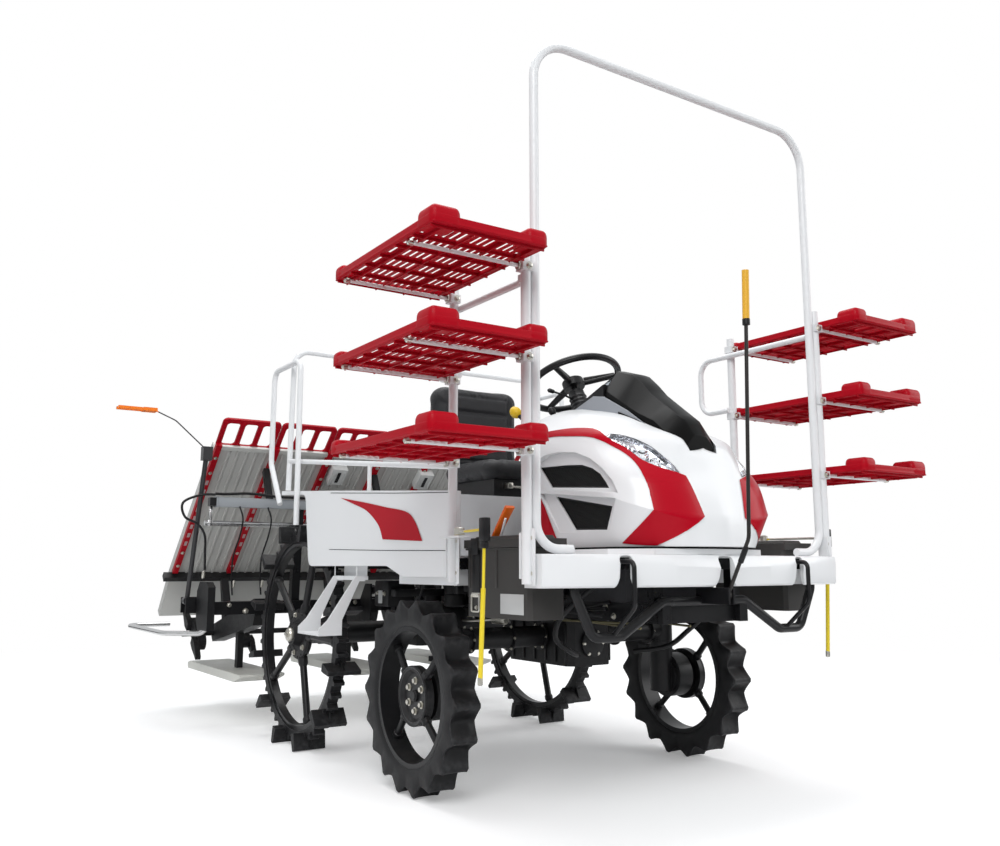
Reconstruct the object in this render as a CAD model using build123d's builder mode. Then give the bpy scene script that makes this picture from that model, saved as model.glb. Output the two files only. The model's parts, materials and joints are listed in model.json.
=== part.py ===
"""Riding rice transplanter, six rows, with seedling racks: every piece at its real size, in mm.

The machine faces -Y, its left side is +X and up is +Z. The origin lies on the ground
under the middle of the whole machine. Distances called "behind" are measured from the
front axle along +Y, so a piece ahead of that axle has a negative one.
"""
import math
import os

from build123d import *

os.makedirs("parts", exist_ok=True)

# Reach of the whole machine before and behind the front axle
front_reach = 978
rear_reach = 2562
front_axle_y = (front_reach - rear_reach) / 2
wheelbase = 1045
rear_axle_y = front_axle_y + wheelbase
fit_gap = 0.3
running_gap = 6

# Front wheels
front_radius = 325
front_track_half = 620
front_tyre_width = 100
front_lug_count = 18
front_lug_root = 34
front_lug_tip = 14
front_carcass_radius = 270
front_bead_radius = 232
front_rim_inner = 216
front_hub_radius = 100
front_hub_face = 646
front_spoke_diameter = 24

# Rear wheels
rear_radius = 480
rear_track_half = 630
rear_paddle_count = 12
rear_paddle_width = 140
rear_paddle_tip = 16
rear_carcass_radius = 428
rear_bead_radius = 398
rear_rim_inner = 380
rear_band_width = 46
rear_hub_radius = 96
rear_spoke_count = 5
rear_spoke_diameter = 30

# Final cases that steer
kingpin_x = 500
kingpin_radius = 46
knuckle_joint_z = 460
drum_radius = 86
drum_inner_x = 520
drum_outer_x = 604
axle_tube_diameter = 76
axle_tube_z = 500

# Chassis
rail_half_gap = 150
rail_width = 40
rail_bottom = 580
rail_top = 640
chassis_front = -720
chassis_back = 1060
member_top = 781.7
member_height = 36

# Floor, deck and body
floor_top = 790
deck_wall = 8
deck_bottom = 694
deck_half_width = 646
deck_nose = -828
deck_corner = -748
deck_strip_back = -665
deck_centre_half = 488
deck_rear_start = -262
floor_back = 640
well_half = 205
well_front = -620
well_back = -210
body_front_half = 650
body_rear_half = 704
body_wall = 6
body_bottom = 720
body_front_top = 1000
body_rear_top = 1090
body_back = 1140
body_heel = 585
seat_step_y = 140

# Racks and their trays
post_x = 662
post_diameter = 30
post_front = -700
post_back = -286
post_bottom = 705
front_post_top = 1700
rear_post_top = 1680
tier_heights = (1085, 1360, 1635)
tray_inner_x = 692
tray_outer_x = 1072
tray_front = -862
tray_back = -232
tray_height = 26
tray_floor = 7
rack_rod_diameter = 12

# Arch over the front
arch_tube = 28
arch_height = 2398
arch_bend = 130

# Hood
hood_wall = 5
hood_bottom = floor_top + fit_gap
hood_back = -180

# Steering wheel
wheel_centre_behind = -80
wheel_centre_z = 1455
wheel_rim_radius = 193
wheel_grip = 26
column_rake = 25

# Lift linkage
link_front_y = 1130
link_length = 360
link_low_z = 440
link_high_z = 640
pin_diameter = 20
hitch_x = 95
hitch_plate = 8
lift_foot = (930, 690)
lift_eye = (1218, 498)

# Planting unit
row_pitch = 300
row_count = 6
table_half = 880
table_slope = 42
table_top = (1465, 1446)
table_plate = 8
extension_length = 186
table_length = 1110
toe_slope = 50
toe_length = 280
table_travel = 130
rotor_axis = (2290, 400)
rotor_shaft = 28
claw_radius = 184
beam = (1610, 560)
beam_side = 60
cross_tube = (1575, 1060)
cross_tube_side = 40
beam_half = 871.7
guide_start = 150
case_half_width = 34
float_bottom = 205
float_top = 245
marker_x = 935
marker_pivot = (1742, 594)
marker_top = (1525, 1300)
marker_wire_y = marker_top[0] - 16


def rod(start, end, diameter):
    """Add a straight round bar to the piece."""
    run = Vector(*end) - Vector(*start)
    with BuildSketch(Plane(origin=start, z_dir=run)) as section:
        Circle(diameter / 2)
    extrude(section.sketch, amount=run.length)


def bent_tube(points, bends, diameter):
    """Add a round tube that follows the points, with one bend radius for each corner."""
    with BuildLine() as route:
        FilletPolyline(*points, radius=bends)
    with BuildSketch(Plane(origin=route.line @ 0, z_dir=route.line % 0)) as section:
        Circle(diameter / 2)
    sweep(section.sketch, path=route.line)


def block(x, y, z):
    """Add a block between two values along each axis."""
    with BuildSketch(Plane.XY.offset(z[0])) as section:
        with Locations(((x[0] + x[1]) / 2, (y[0] + y[1]) / 2)):
            Rectangle(x[1] - x[0], y[1] - y[0])
    extrude(section.sketch, amount=z[1] - z[0])


def slab(plane, outline, thickness, mode=Mode.ADD):
    """Add or cut a flat piece with the given outline, from the plane along its normal."""
    with BuildSketch(plane) as section:
        with BuildLine():
            Polyline(*outline, close=True)
        make_face()
    extrude(section.sketch, amount=thickness, mode=mode)


def side_plane(x):
    """A plane whose first axis is distance behind the front axle and whose second is height."""
    return Plane(origin=(x, front_axle_y, 0), x_dir=(0, 1, 0), z_dir=(1, 0, 0))


def wheel_section(x, y, z):
    """A plane through a wheel's axis: first axis along +X, second outward along its radius."""
    return Plane(origin=(x, y, z), x_dir=(1, 0, 0), z_dir=(0, -1, 0))


def finish(builder, name):
    """Name a piece and write it."""
    builder.part.label = name
    export_step(builder.part, f"parts/{name}.step")


sides = (("right", -1), ("left", 1))


# Front wheels stand on the tips of two lugs
front_step = math.pi / front_lug_count
front_tip_radius = math.sqrt(front_radius**2 - (front_lug_tip / 2) ** 2)
front_axle_z = front_tip_radius * math.cos(front_step) + front_lug_tip / 2 * math.sin(front_step)

for side_name, side in sides:
    hub_x = side * front_track_half
    section = wheel_section(hub_x, front_axle_y, front_axle_z)
    turning = Axis((hub_x, front_axle_y, front_axle_z), (1, 0, 0))
    half = front_tyre_width / 2
    with BuildPart() as front_tyre:
        with BuildSketch(section):
            with BuildLine():
                Polyline(
                    (-half * 0.76, front_bead_radius + fit_gap),
                    (-half * 0.9, front_bead_radius + 14),
                    (-half * 0.84, front_carcass_radius - 8),
                    (-half * 0.5, front_carcass_radius),
                    (half * 0.5, front_carcass_radius),
                    (half * 0.84, front_carcass_radius - 8),
                    (half * 0.9, front_bead_radius + 14),
                    (half * 0.76, front_bead_radius + fit_gap),
                    close=True,
                )
            make_face()
        revolve(axis=turning)
        lug_plane = Plane(
            origin=(hub_x, front_axle_y, front_axle_z), x_dir=(0, 1, 0), z_dir=(1, 0, 0)
        )
        with BuildSketch(lug_plane):
            with PolarLocations(0, front_lug_count, start_angle=math.degrees(front_step) - 90):
                Polygon(
                    (front_carcass_radius - 12, -front_lug_root / 2),
                    (front_tip_radius, -front_lug_tip / 2),
                    (front_tip_radius, front_lug_tip / 2),
                    (front_carcass_radius - 12, front_lug_root / 2),
                    align=None,
                )
        extrude(amount=half, both=True)
    finish(front_tyre, f"front_tyre_{side_name}")

    with BuildPart() as front_rim:
        with BuildSketch(section):
            with Locations((0, (front_rim_inner + front_bead_radius) / 2)):
                Rectangle(front_tyre_width * 0.76, front_bead_radius - front_rim_inner)
        revolve(axis=turning)
        face_x = side * (front_hub_face - front_track_half)
        inner_x = side * (drum_outer_x + fit_gap - front_track_half)
        with BuildSketch(section):
            with BuildLine():
                Polyline(
                    (inner_x, 0),
                    (inner_x, 30),
                    (face_x - side * 22, 34),
                    (face_x - side * 22, 70),
                    (face_x - side * 30, front_hub_radius),
                    (face_x, front_hub_radius),
                    (face_x, front_hub_radius - 14),
                    (face_x - side * 14, front_hub_radius - 26),
                    (face_x - side * 14, 18),
                    (face_x - side * 2, 15),
                    (face_x - side * 2, 0),
                    close=True,
                )
            make_face()
        revolve(axis=turning)
        for turn in (45, 135, 225, 315):
            along_y = math.cos(math.radians(turn))
            along_z = math.sin(math.radians(turn))
            near = front_hub_radius - 8
            far = front_rim_inner + 4
            rod(
                (
                    side * (front_hub_face - 15),
                    front_axle_y + near * along_y,
                    front_axle_z + near * along_z,
                ),
                (hub_x, front_axle_y + far * along_y, front_axle_z + far * along_z),
                front_spoke_diameter,
            )
    finish(front_rim, f"front_rim_{side_name}")

    with BuildPart() as final_case:
        with BuildSketch(Plane.XY.offset(front_axle_z - 60)):
            with Locations((side * kingpin_x, front_axle_y)):
                Circle(kingpin_radius)
        extrude(amount=knuckle_joint_z - fit_gap - (front_axle_z - 60))
        drum_plane = Plane(
            origin=(side * (kingpin_x + 10), front_axle_y, front_axle_z), z_dir=(side, 0, 0)
        )
        with BuildSketch(drum_plane):
            Circle(drum_radius * 0.8)
        extrude(amount=drum_inner_x - kingpin_x - 10)
        with BuildSketch(drum_plane.offset(drum_inner_x - kingpin_x - 10)):
            Circle(drum_radius)
        extrude(amount=drum_outer_x - drum_inner_x - 12)
        with BuildSketch(drum_plane.offset(drum_outer_x - kingpin_x - 22)):
            Circle(drum_radius * 0.45)
        extrude(amount=12)
        block(
            sorted((side * (kingpin_x - 16), side * (kingpin_x + 16))),
            (front_axle_y + 30, front_axle_y + 120),
            (knuckle_joint_z - 40, knuckle_joint_z - 22),
        )
    finish(final_case, f"final_case_{side_name}")

# Transmission case under the engine, with the two arms of the front axle
with BuildPart() as front_axle:
    block((-100, 100), (front_axle_y - 170, front_axle_y + 230), (400, 560))
    chamfer(front_axle.edges().filter_by(Axis.Z), 24)
    block(
        (-rail_half_gap - rail_width, rail_half_gap + rail_width),
        (front_axle_y - 120, front_axle_y + 190),
        (556, rail_bottom - fit_gap),
    )
    for side in (-1, 1):
        rod(
            (side * 60, front_axle_y, axle_tube_z),
            (side * (kingpin_x - 10), front_axle_y, axle_tube_z),
            axle_tube_diameter,
        )
        with BuildSketch(Plane.XY.offset(knuckle_joint_z)):
            with Locations((side * kingpin_x, front_axle_y)):
                Circle(kingpin_radius)
        extrude(amount=84)
        with BuildSketch(Plane.XY.offset(knuckle_joint_z + 84)):
            with Locations((side * kingpin_x, front_axle_y)):
                Circle(kingpin_radius * 0.6)
        extrude(amount=10)
finish(front_axle, "front_axle_case")

# Rear wheels stand on the tips of two paddles
rear_step = math.pi / rear_paddle_count
rear_tip_radius = math.sqrt(rear_radius**2 - (rear_paddle_tip / 2) ** 2)
rear_axle_z = rear_tip_radius * math.cos(rear_step) + rear_paddle_tip / 2 * math.sin(rear_step)

for side_name, side in sides:
    hub_x = side * rear_track_half
    section = wheel_section(hub_x, rear_axle_y, rear_axle_z)
    turning = Axis((hub_x, rear_axle_y, rear_axle_z), (1, 0, 0))
    wheel_plane = Plane(
        origin=(hub_x, rear_axle_y, rear_axle_z), x_dir=(0, 1, 0), z_dir=(1, 0, 0)
    )
    with BuildPart() as rear_tyre:
        with BuildSketch(section):
            with Locations((0, (rear_bead_radius + fit_gap + rear_carcass_radius) / 2)):
                Rectangle(rear_band_width, rear_carcass_radius - rear_bead_radius - fit_gap)
        revolve(axis=turning)
        paddle_start = math.degrees(rear_step) - 90
        with BuildSketch(wheel_plane):
            with PolarLocations(0, rear_paddle_count, start_angle=paddle_start):
                Polygon(
                    (rear_bead_radius + 12, -20),
                    (rear_carcass_radius + 8, -16),
                    (rear_tip_radius, -rear_paddle_tip / 2),
                    (rear_tip_radius, rear_paddle_tip / 2),
                    (rear_carcass_radius + 8, 12),
                    (rear_bead_radius + 12, 12),
                    align=None,
                )
        extrude(amount=rear_paddle_width / 2, both=True)
        small_step = 360 / rear_paddle_count / 4
        with BuildSketch(wheel_plane):
            for third in (1, 2, 3):
                with PolarLocations(
                    0, rear_paddle_count, start_angle=paddle_start + third * small_step
                ):
                    Polygon(
                        (rear_carcass_radius - 6, -14),
                        (rear_carcass_radius + 20, -6),
                        (rear_carcass_radius + 20, 6),
                        (rear_carcass_radius - 6, 14),
                        align=None,
                    )
        extrude(amount=rear_band_width / 2, both=True)
    finish(rear_tyre, f"rear_tyre_{side_name}")

    with BuildPart() as rear_rim:
        with BuildSketch(section):
            with Locations((0, (rear_rim_inner + rear_bead_radius) / 2)):
                Rectangle(rear_band_width - 10, rear_bead_radius - rear_rim_inner)
        revolve(axis=turning)
        with BuildSketch(wheel_plane.offset(-14)):
            Circle(rear_hub_radius)
        extrude(amount=28)
        with BuildSketch(
            Plane(origin=(side * 548, rear_axle_y, rear_axle_z), z_dir=(side, 0, 0))
        ):
            Circle(42)
        extrude(amount=rear_track_half - 548 + 46)
        for spoke in range(rear_spoke_count):
            turn = math.radians(38 + 360 / rear_spoke_count * spoke)
            rod(
                (
                    hub_x,
                    rear_axle_y + (rear_hub_radius - 8) * math.cos(turn),
                    rear_axle_z + (rear_hub_radius - 8) * math.sin(turn),
                ),
                (
                    hub_x,
                    rear_axle_y + (rear_rim_inner + 5) * math.cos(turn),
                    rear_axle_z + (rear_rim_inner + 5) * math.sin(turn),
                ),
                rear_spoke_diameter,
            )
    finish(rear_rim, f"rear_rim_{side_name}")

with BuildPart() as rear_axle:
    block(
        (-90, 90), (rear_axle_y - 70, rear_axle_y + 44), (rear_axle_z - 70, rear_axle_z + 56)
    )
    chamfer(rear_axle.edges().filter_by(Axis.Z), 16)
    rod((-548 + fit_gap, rear_axle_y, rear_axle_z), (548 - fit_gap, rear_axle_y, rear_axle_z), 92)
    rod(
        (0, front_axle_y + 230 + fit_gap, rear_axle_z),
        (0, rear_axle_y - 60, rear_axle_z),
        54,
    )
    for side in (-1, 1):
        across = sorted((side * rail_half_gap, side * (rail_half_gap + rail_width)))
        block(
            across, (rear_axle_y - 90, rear_axle_y - 44), (rear_axle_z - 20, rail_bottom - fit_gap)
        )
        block(across, (rear_axle_y - 90, rear_axle_y), (rear_axle_z - 30, rear_axle_z + 20))
finish(rear_axle, "rear_axle_case")

# Chassis rails, cross members and the hitch for the lift links
member_behinds = (-695, -100, 200, 520)
cross_behinds = (chassis_front + 20, lift_foot[0] - 30)
with BuildPart() as chassis:
    for side in (-1, 1):
        across = sorted((side * rail_half_gap, side * (rail_half_gap + rail_width)))
        block(
            across,
            (front_axle_y + chassis_front, front_axle_y + chassis_back),
            (rail_bottom, rail_top),
        )
        for behind in member_behinds + (post_back,):
            block(
                across,
                (front_axle_y + behind - 15, front_axle_y + behind + 15),
                (rail_top, member_top - member_height),
            )
        block(
            across,
            (front_axle_y + chassis_back - 40, front_axle_y + chassis_back),
            (rail_bottom - 50, rail_bottom),
        )
        slab(
            side_plane(side * hitch_x - hitch_plate / 2),
            (
                (chassis_back - 36, rail_bottom - 46),
                (link_front_y - 34, rail_bottom - 60),
                (link_front_y - 24, link_low_z - 28),
                (link_front_y + 26, link_low_z - 28),
                (link_front_y + 26, link_high_z + 28),
                (link_front_y - 24, link_high_z + 28),
                (chassis_back - 36, rail_bottom - 10),
            ),
            hitch_plate,
        )
        rod(
            (side * (hitch_x - 2), front_axle_y + link_front_y, link_low_z),
            (side * (hitch_x + 34), front_axle_y + link_front_y, link_low_z),
            pin_diameter,
        )
        rod(
            (side * (hitch_x + 2), front_axle_y + link_front_y, link_high_z),
            (side * (hitch_x - 34), front_axle_y + link_front_y, link_high_z),
            pin_diameter,
        )
        slab(
            side_plane(side * 20 - 4),
            (
                (lift_foot[0] - 48, rail_top - 10),
                (lift_foot[0] - 12, rail_top - 10),
                (lift_foot[0] + 16, lift_foot[1] - 8),
                (lift_foot[0] + 10, lift_foot[1] + 16),
                (lift_foot[0] - 16, lift_foot[1] + 12),
            ),
            8,
        )
    block(
        (-rail_half_gap - rail_width, rail_half_gap + rail_width),
        (front_axle_y + chassis_back - 40, front_axle_y + chassis_back),
        (rail_bottom - 50, rail_bottom - 24),
    )
    for behind in member_behinds:
        block(
            (-600, 600),
            (front_axle_y + behind - 18, front_axle_y + behind + 18),
            (member_top - member_height, member_top),
        )
    block(
        (-post_x + 16, post_x - 16),
        (front_axle_y + post_back - 15, front_axle_y + post_back + 15),
        (member_top - member_height, member_top),
    )
    for behind in cross_behinds:
        block(
            (-rail_half_gap - rail_width, rail_half_gap + rail_width),
            (front_axle_y + behind - 20, front_axle_y + behind + 20),
            (rail_bottom, rail_top),
        )
    rod(
        (-20, front_axle_y + lift_foot[0], lift_foot[1]),
        (20, front_axle_y + lift_foot[0], lift_foot[1]),
        12,
    )
finish(chassis, "chassis_frame")

# Engine, one plain block on the rails under the hood
with BuildPart() as engine:
    block(
        (-rail_half_gap - rail_width, rail_half_gap + rail_width),
        (front_axle_y - 600, front_axle_y - 308),
        (rail_top + fit_gap, 880),
    )
    chamfer(engine.edges().filter_by(Axis.Z), 20)
finish(engine, "engine_block")

# Black tube bumper below the deck, with the two tow hooks and the lugs of the centre pole
bumper_y = front_axle_y - 735
with BuildPart() as bumper:
    bent_tube(
        tuple(
            (x, bumper_y, z)
            for x, z in (
                (-520, member_top),
                (-520, 680),
                (-455, 550),
                (-350, 550),
                (-180, 648),
                (180, 648),
                (350, 550),
                (455, 550),
                (520, 680),
                (520, member_top),
            )
        ),
        (40, 40, 40, 40, 40, 40, 40, 40),
        30,
    )
    for side in (-1, 1):
        block(
            sorted((side * (rail_half_gap + 2), side * (rail_half_gap + 38))),
            (bumper_y - 10, front_axle_y + chassis_front - fit_gap),
            (rail_bottom, 652),
        )
        bent_tube(
            (
                (side * 382, bumper_y, 550),
                (side * 382, bumper_y - 103, 640),
                (side * 382, bumper_y - 103, 770),
                (side * 382, front_axle_y + deck_nose + 45 - fit_gap, 770),
            ),
            (30, 20),
            14,
        )
    block((-24, -17), (front_axle_y - 862, bumper_y + 10), (640, 690))
    block((-3, 4), (front_axle_y - 862, bumper_y + 10), (640, 690))
    rod((-20, front_axle_y - 846, 668), (0, front_axle_y - 846, 668), 10)
finish(bumper, "front_bumper")


def deck_outline(inset):
    """Plan of the floor: a full front strip, a waist beside the boxes and a wide rear."""
    half = deck_half_width - inset
    nose = front_axle_y + deck_nose + inset
    corner = front_axle_y + deck_corner + inset
    strip = front_axle_y + deck_strip_back - inset
    rear = front_axle_y + deck_rear_start + inset
    back = front_axle_y + seat_step_y - inset
    waist = deck_centre_half - inset
    with BuildLine() as edge:
        Polyline(
            (half, corner),
            (half, strip),
            (waist, strip),
            (waist, rear),
            (half - 18, rear),
            (half - 18, back),
            (-half + 18, back),
            (-half + 18, rear),
            (-waist, rear),
            (-waist, strip),
            (-half, strip),
            (-half, corner),
        )
        ThreePointArc((-half, corner), (0, nose), (half, corner))
    make_face(edge.edges())


with BuildPart() as deck:
    with BuildSketch(Plane.XY.offset(deck_bottom)):
        deck_outline(0)
    extrude(amount=floor_top - deck_bottom)
    with BuildSketch(Plane.XY.offset(deck_bottom)):
        deck_outline(deck_wall)
    extrude(amount=floor_top - deck_wall - deck_bottom, mode=Mode.SUBTRACT)
    with BuildSketch(Plane.XY.offset(deck_bottom)):
        with Locations((0, front_axle_y + (well_front + well_back) / 2)):
            Rectangle(2 * well_half, well_back - well_front)
        for side in (-1, 1):
            with Locations((side * 382, front_axle_y + deck_nose)):
                Rectangle(44, 90)
        with Locations((0, front_axle_y + deck_nose)):
            Rectangle(64, 60)
    extrude(amount=floor_top - deck_bottom, mode=Mode.SUBTRACT)
    with BuildSketch(Plane.XY.offset(deck_bottom)):
        with Locations((0, front_axle_y + post_back)):
            Rectangle(2 * post_x, 32)
    extrude(amount=member_top + fit_gap - deck_bottom, mode=Mode.SUBTRACT)
finish(deck, "floor_deck")


# White rear body: fender sides, a sloping top and the step below the seat
with BuildPart() as rear_body:
    body_start = front_axle_y + deck_rear_start
    with BuildSketch(Plane.XY.offset(body_bottom)) as plan:
        with BuildLine():
            Polyline(
                (-body_front_half, body_start),
                (body_front_half, body_start),
                (body_rear_half, front_axle_y + floor_back),
                (body_rear_half, front_axle_y + body_back),
                (-body_rear_half, front_axle_y + body_back),
                (-body_rear_half, front_axle_y + floor_back),
                close=True,
            )
        make_face()
    extrude(amount=body_rear_top + 30 - body_bottom)
    slab(
        side_plane(-body_rear_half - 10),
        (
            (deck_rear_start - 10, body_front_top),
            (body_back + 10, body_rear_top),
            (body_back + 10, body_rear_top + 60),
            (deck_rear_start - 10, body_rear_top + 60),
        ),
        2 * body_rear_half + 20,
        mode=Mode.SUBTRACT,
    )
    slab(
        side_plane(-body_rear_half - 10),
        (
            (body_heel, body_bottom - 10),
            (body_heel, body_bottom + 42),
            (body_back, body_rear_top - 4),
            (body_back + 10, body_rear_top - 4),
            (body_back + 10, body_bottom - 10),
        ),
        2 * body_rear_half + 20,
        mode=Mode.SUBTRACT,
    )
    slab(
        side_plane(-body_front_half + 34),
        (
            (deck_rear_start - 10, body_bottom - 10),
            (deck_rear_start - 10, body_rear_top + 20),
            (seat_step_y, body_rear_top + 20),
            (seat_step_y, body_bottom - 10),
        ),
        2 * body_front_half - 68,
        mode=Mode.SUBTRACT,
    )
    slab(
        side_plane(-body_front_half + 20),
        (
            (deck_rear_start - 10, body_bottom - 10),
            (deck_rear_start - 10, floor_top + fit_gap),
            (seat_step_y + fit_gap, floor_top + fit_gap),
            (seat_step_y + fit_gap, body_bottom + 62),
            (body_heel - 14, body_bottom + 62),
            (body_heel - 14, body_bottom - 10),
        ),
        2 * body_front_half - 40,
        mode=Mode.SUBTRACT,
    )
    slab(
        side_plane(-body_front_half + 20),
        (
            (seat_step_y + 8, body_bottom + 58),
            (seat_step_y + 8, body_front_top + 12),
            (body_back - 12, body_rear_top - 12),
            (body_heel + 4, body_bottom + 58),
        ),
        2 * body_front_half - 40,
        mode=Mode.SUBTRACT,
    )
finish(rear_body, "rear_body")

# Seat: base, cushion and back
seat_bracket = ((540, 1080), (612, 1080), (636, 1177.3), (596, 1161.3), (591, 1101), (540, 1101))
with BuildPart() as seat_base:
    slab(
        side_plane(-170),
        (
            (220, 1031 + fit_gap),
            (560, 1053 + fit_gap),
            (560, 1102),
            (220, 1102),
        ),
        340,
    )
    for bracket_x in (-120, 90):
        slab(side_plane(bracket_x), seat_bracket, 30)
finish(seat_base, "seat_base")

with BuildPart() as seat_cushion:
    slab(
        side_plane(-230),
        (
            (165, 1120),
            (185, 1102 + fit_gap),
            (590, 1102 + fit_gap),
            (590, 1150),
            (380, 1165),
            (185, 1182),
            (165, 1165),
        ),
        460,
    )
    fillet(seat_cushion.edges().filter_by(Axis.Z), 8)
finish(seat_cushion, "seat_cushion")

with BuildPart() as seat_back:
    slab(
        side_plane(-230),
        (
            (592, 1160),
            (642, 1180),
            (712, 1540),
            (690, 1562),
            (655, 1555),
            (600, 1300),
        ),
        460,
    )
finish(seat_back, "seat_back")

# Racks: a front and a rear post on each side, with two rods under each tray
for side_name, side in sides:
    with BuildPart() as rack:
        for behind, top in ((post_front, front_post_top), (post_back, rear_post_top)):
            rod(
                (side * post_x, front_axle_y + behind, post_bottom),
                (side * post_x, front_axle_y + behind, top),
                post_diameter,
            )
            block(
                sorted(
                    (
                        side * (deck_half_width + fit_gap),
                        side * (deck_half_width + fit_gap + 6),
                    )
                ),
                (front_axle_y + behind - 20, front_axle_y + behind + 20),
                (post_bottom, floor_top + 70),
            )
            for tier in tier_heights:
                rod(
                    (side * post_x, front_axle_y + behind, tier),
                    (side * (tray_outer_x - 20), front_axle_y + behind, tier),
                    rack_rod_diameter,
                )
                block(
                    sorted((side * (post_x - 15), side * (post_x + 22))),
                    (front_axle_y + behind - 19, front_axle_y + behind + 19),
                    (tier - 14, tier + 14),
                )
        bent_tube(
            (
                (side * (post_x - 22), front_axle_y + post_front + 20, tier_heights[2] - 30),
                (side * (post_x - 22), front_axle_y + post_back + 150, tier_heights[2] - 30),
                (side * (post_x - 22), front_axle_y + post_back + 150, tier_heights[1] + 22),
                (side * (post_x - 22), front_axle_y + post_back, tier_heights[1] + 22),
            ),
            (60, 60),
            22,
        )
        block(
            sorted((side * (post_x - 14), side * (post_x + 6))),
            (front_axle_y + post_front + 8, front_axle_y + post_front + 32),
            (tier_heights[2] - 42, tier_heights[2] - 18),
        )
        block(
            sorted((side * post_x, side * (post_x + 46))),
            (front_axle_y + post_back - 116, front_axle_y + post_back + 6),
            (844, 850),
        )
        rod(
            (side * (post_x + 34), front_axle_y + post_back - 100, 848),
            (side * (post_x + 34), front_axle_y + post_back - 100, 876),
            10,
        )
    finish(rack, f"rack_frame_{side_name}")

    with BuildPart() as trays:
        for tier in tier_heights:
            seat_z = tier + rack_rod_diameter / 2 + fit_gap
            across = sorted((side * tray_inner_x, side * tray_outer_x))
            block(
                across,
                (front_axle_y + tray_front, front_axle_y + tray_back),
                (seat_z, seat_z + tray_height),
            )
            with BuildSketch(Plane.XY.offset(seat_z + tray_floor)):
                with Locations(
                    (
                        side * (tray_inner_x + tray_outer_x) / 2,
                        front_axle_y + (tray_front + tray_back) / 2,
                    )
                ):
                    Rectangle(
                        tray_outer_x - tray_inner_x - 20,
                        tray_back - tray_front - 20,
                    )
            extrude(amount=tray_height, mode=Mode.SUBTRACT)
            with BuildSketch(Plane.XY.offset(seat_z)):
                with Locations(
                    (
                        side * (tray_inner_x + tray_outer_x) / 2,
                        front_axle_y + (tray_front + tray_back) / 2,
                    )
                ):
                    with GridLocations(118, 82, 3, 7):
                        Rectangle(92, 40)
            extrude(amount=tray_floor, mode=Mode.SUBTRACT)
            for corner_x, width in ((tray_outer_x - 45, 90), (tray_inner_x + 35, 70)):
                block(
                    sorted((side * (corner_x - width / 2), side * (corner_x + width / 2))),
                    (front_axle_y + tray_front, front_axle_y + tray_front + 90),
                    (seat_z + 2, seat_z + 52),
                )
            for corner_x, width in ((tray_outer_x - 30, 60),):
                block(
                    sorted((side * (corner_x - width / 2), side * (corner_x + width / 2))),
                    (front_axle_y + tray_back - 60, front_axle_y + tray_back),
                    (seat_z + 2, seat_z + 44),
                )
    finish(trays, f"rack_trays_{side_name}")

# Arch: one tube that stands beside the front posts, its feet turned in on the deck
arch_x = post_x - post_diameter / 2 - arch_tube / 2 - 4 - fit_gap
arch_y = front_axle_y + post_front
with BuildPart() as arch:
    bent_tube(
        (
            (-500, arch_y, floor_top + arch_tube / 2 + fit_gap),
            (-arch_x, arch_y, floor_top + arch_tube / 2 + fit_gap),
            (-arch_x, arch_y, arch_height - arch_tube / 2),
            (arch_x, arch_y, arch_height - arch_tube / 2),
            (arch_x, arch_y, floor_top + arch_tube / 2 + fit_gap),
            (500, arch_y, floor_top + arch_tube / 2 + fit_gap),
        ),
        (80, arch_bend, arch_bend, 80),
        arch_tube,
    )
finish(arch, "overhead_arch")


def body_top(behind):
    """Height of the rear body's sloping top."""
    share = (behind - deck_rear_start + 10) / (body_back + 10 - deck_rear_start + 10)
    return body_front_top + share * (body_rear_top - body_front_top)


# Rear rails: a bar behind the seat, a loop on each side and a low rail along each side
with BuildPart() as rear_rails:
    bent_tube(
        (
            (-body_rear_half + 20, front_axle_y + 1115, body_top(1115) + 2),
            (-body_rear_half + 20, front_axle_y + 1090, 1727),
            (body_rear_half - 20, front_axle_y + 1090, 1727),
            (body_rear_half - 20, front_axle_y + 1115, body_top(1115) + 2),
        ),
        (70, 70),
        24,
    )
    for side in (-1, 1):
        loop_x = side * (body_rear_half + 12 + fit_gap)
        bent_tube(
            (
                (loop_x, front_axle_y + 925, 930),
                (loop_x, front_axle_y + 930, 1650),
                (loop_x, front_axle_y + 1250, 1650),
                (loop_x, front_axle_y + 1256, 1220),
                (loop_x, front_axle_y + 1125, 1030),
            ),
            (50, 50, 70),
            24,
        )
        rod(
            (side * post_x, front_axle_y + post_back + 20.6, 1078),
            (side * (body_rear_half - 20), front_axle_y + 1100, 1222),
            20,
        )
finish(rear_rails, "rear_rails")

# Tool box on the right and battery box on the left, hung on the waist of the floor
for side_name, side, box_label in (("right", -1, "tool_box"), ("left", 1, "battery_box")):
    with BuildPart() as side_box:
        block(
            sorted((side * (deck_centre_half + fit_gap), side * 622)),
            (front_axle_y - 655, front_axle_y - 312),
            (600, 812),
        )
        chamfer(side_box.edges().filter_by(Axis.Z), 12)
        block(
            sorted((side * (deck_centre_half + fit_gap), side * 630)),
            (front_axle_y - 661, front_axle_y - 306),
            (812, 838),
        )
        with BuildSketch(Plane.XY.offset(838)):
            with Locations((side * 560, front_axle_y - 484)):
                Rectangle(100, 300)
        extrude(amount=10, taper=30)
    finish(side_box, box_label)

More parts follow.
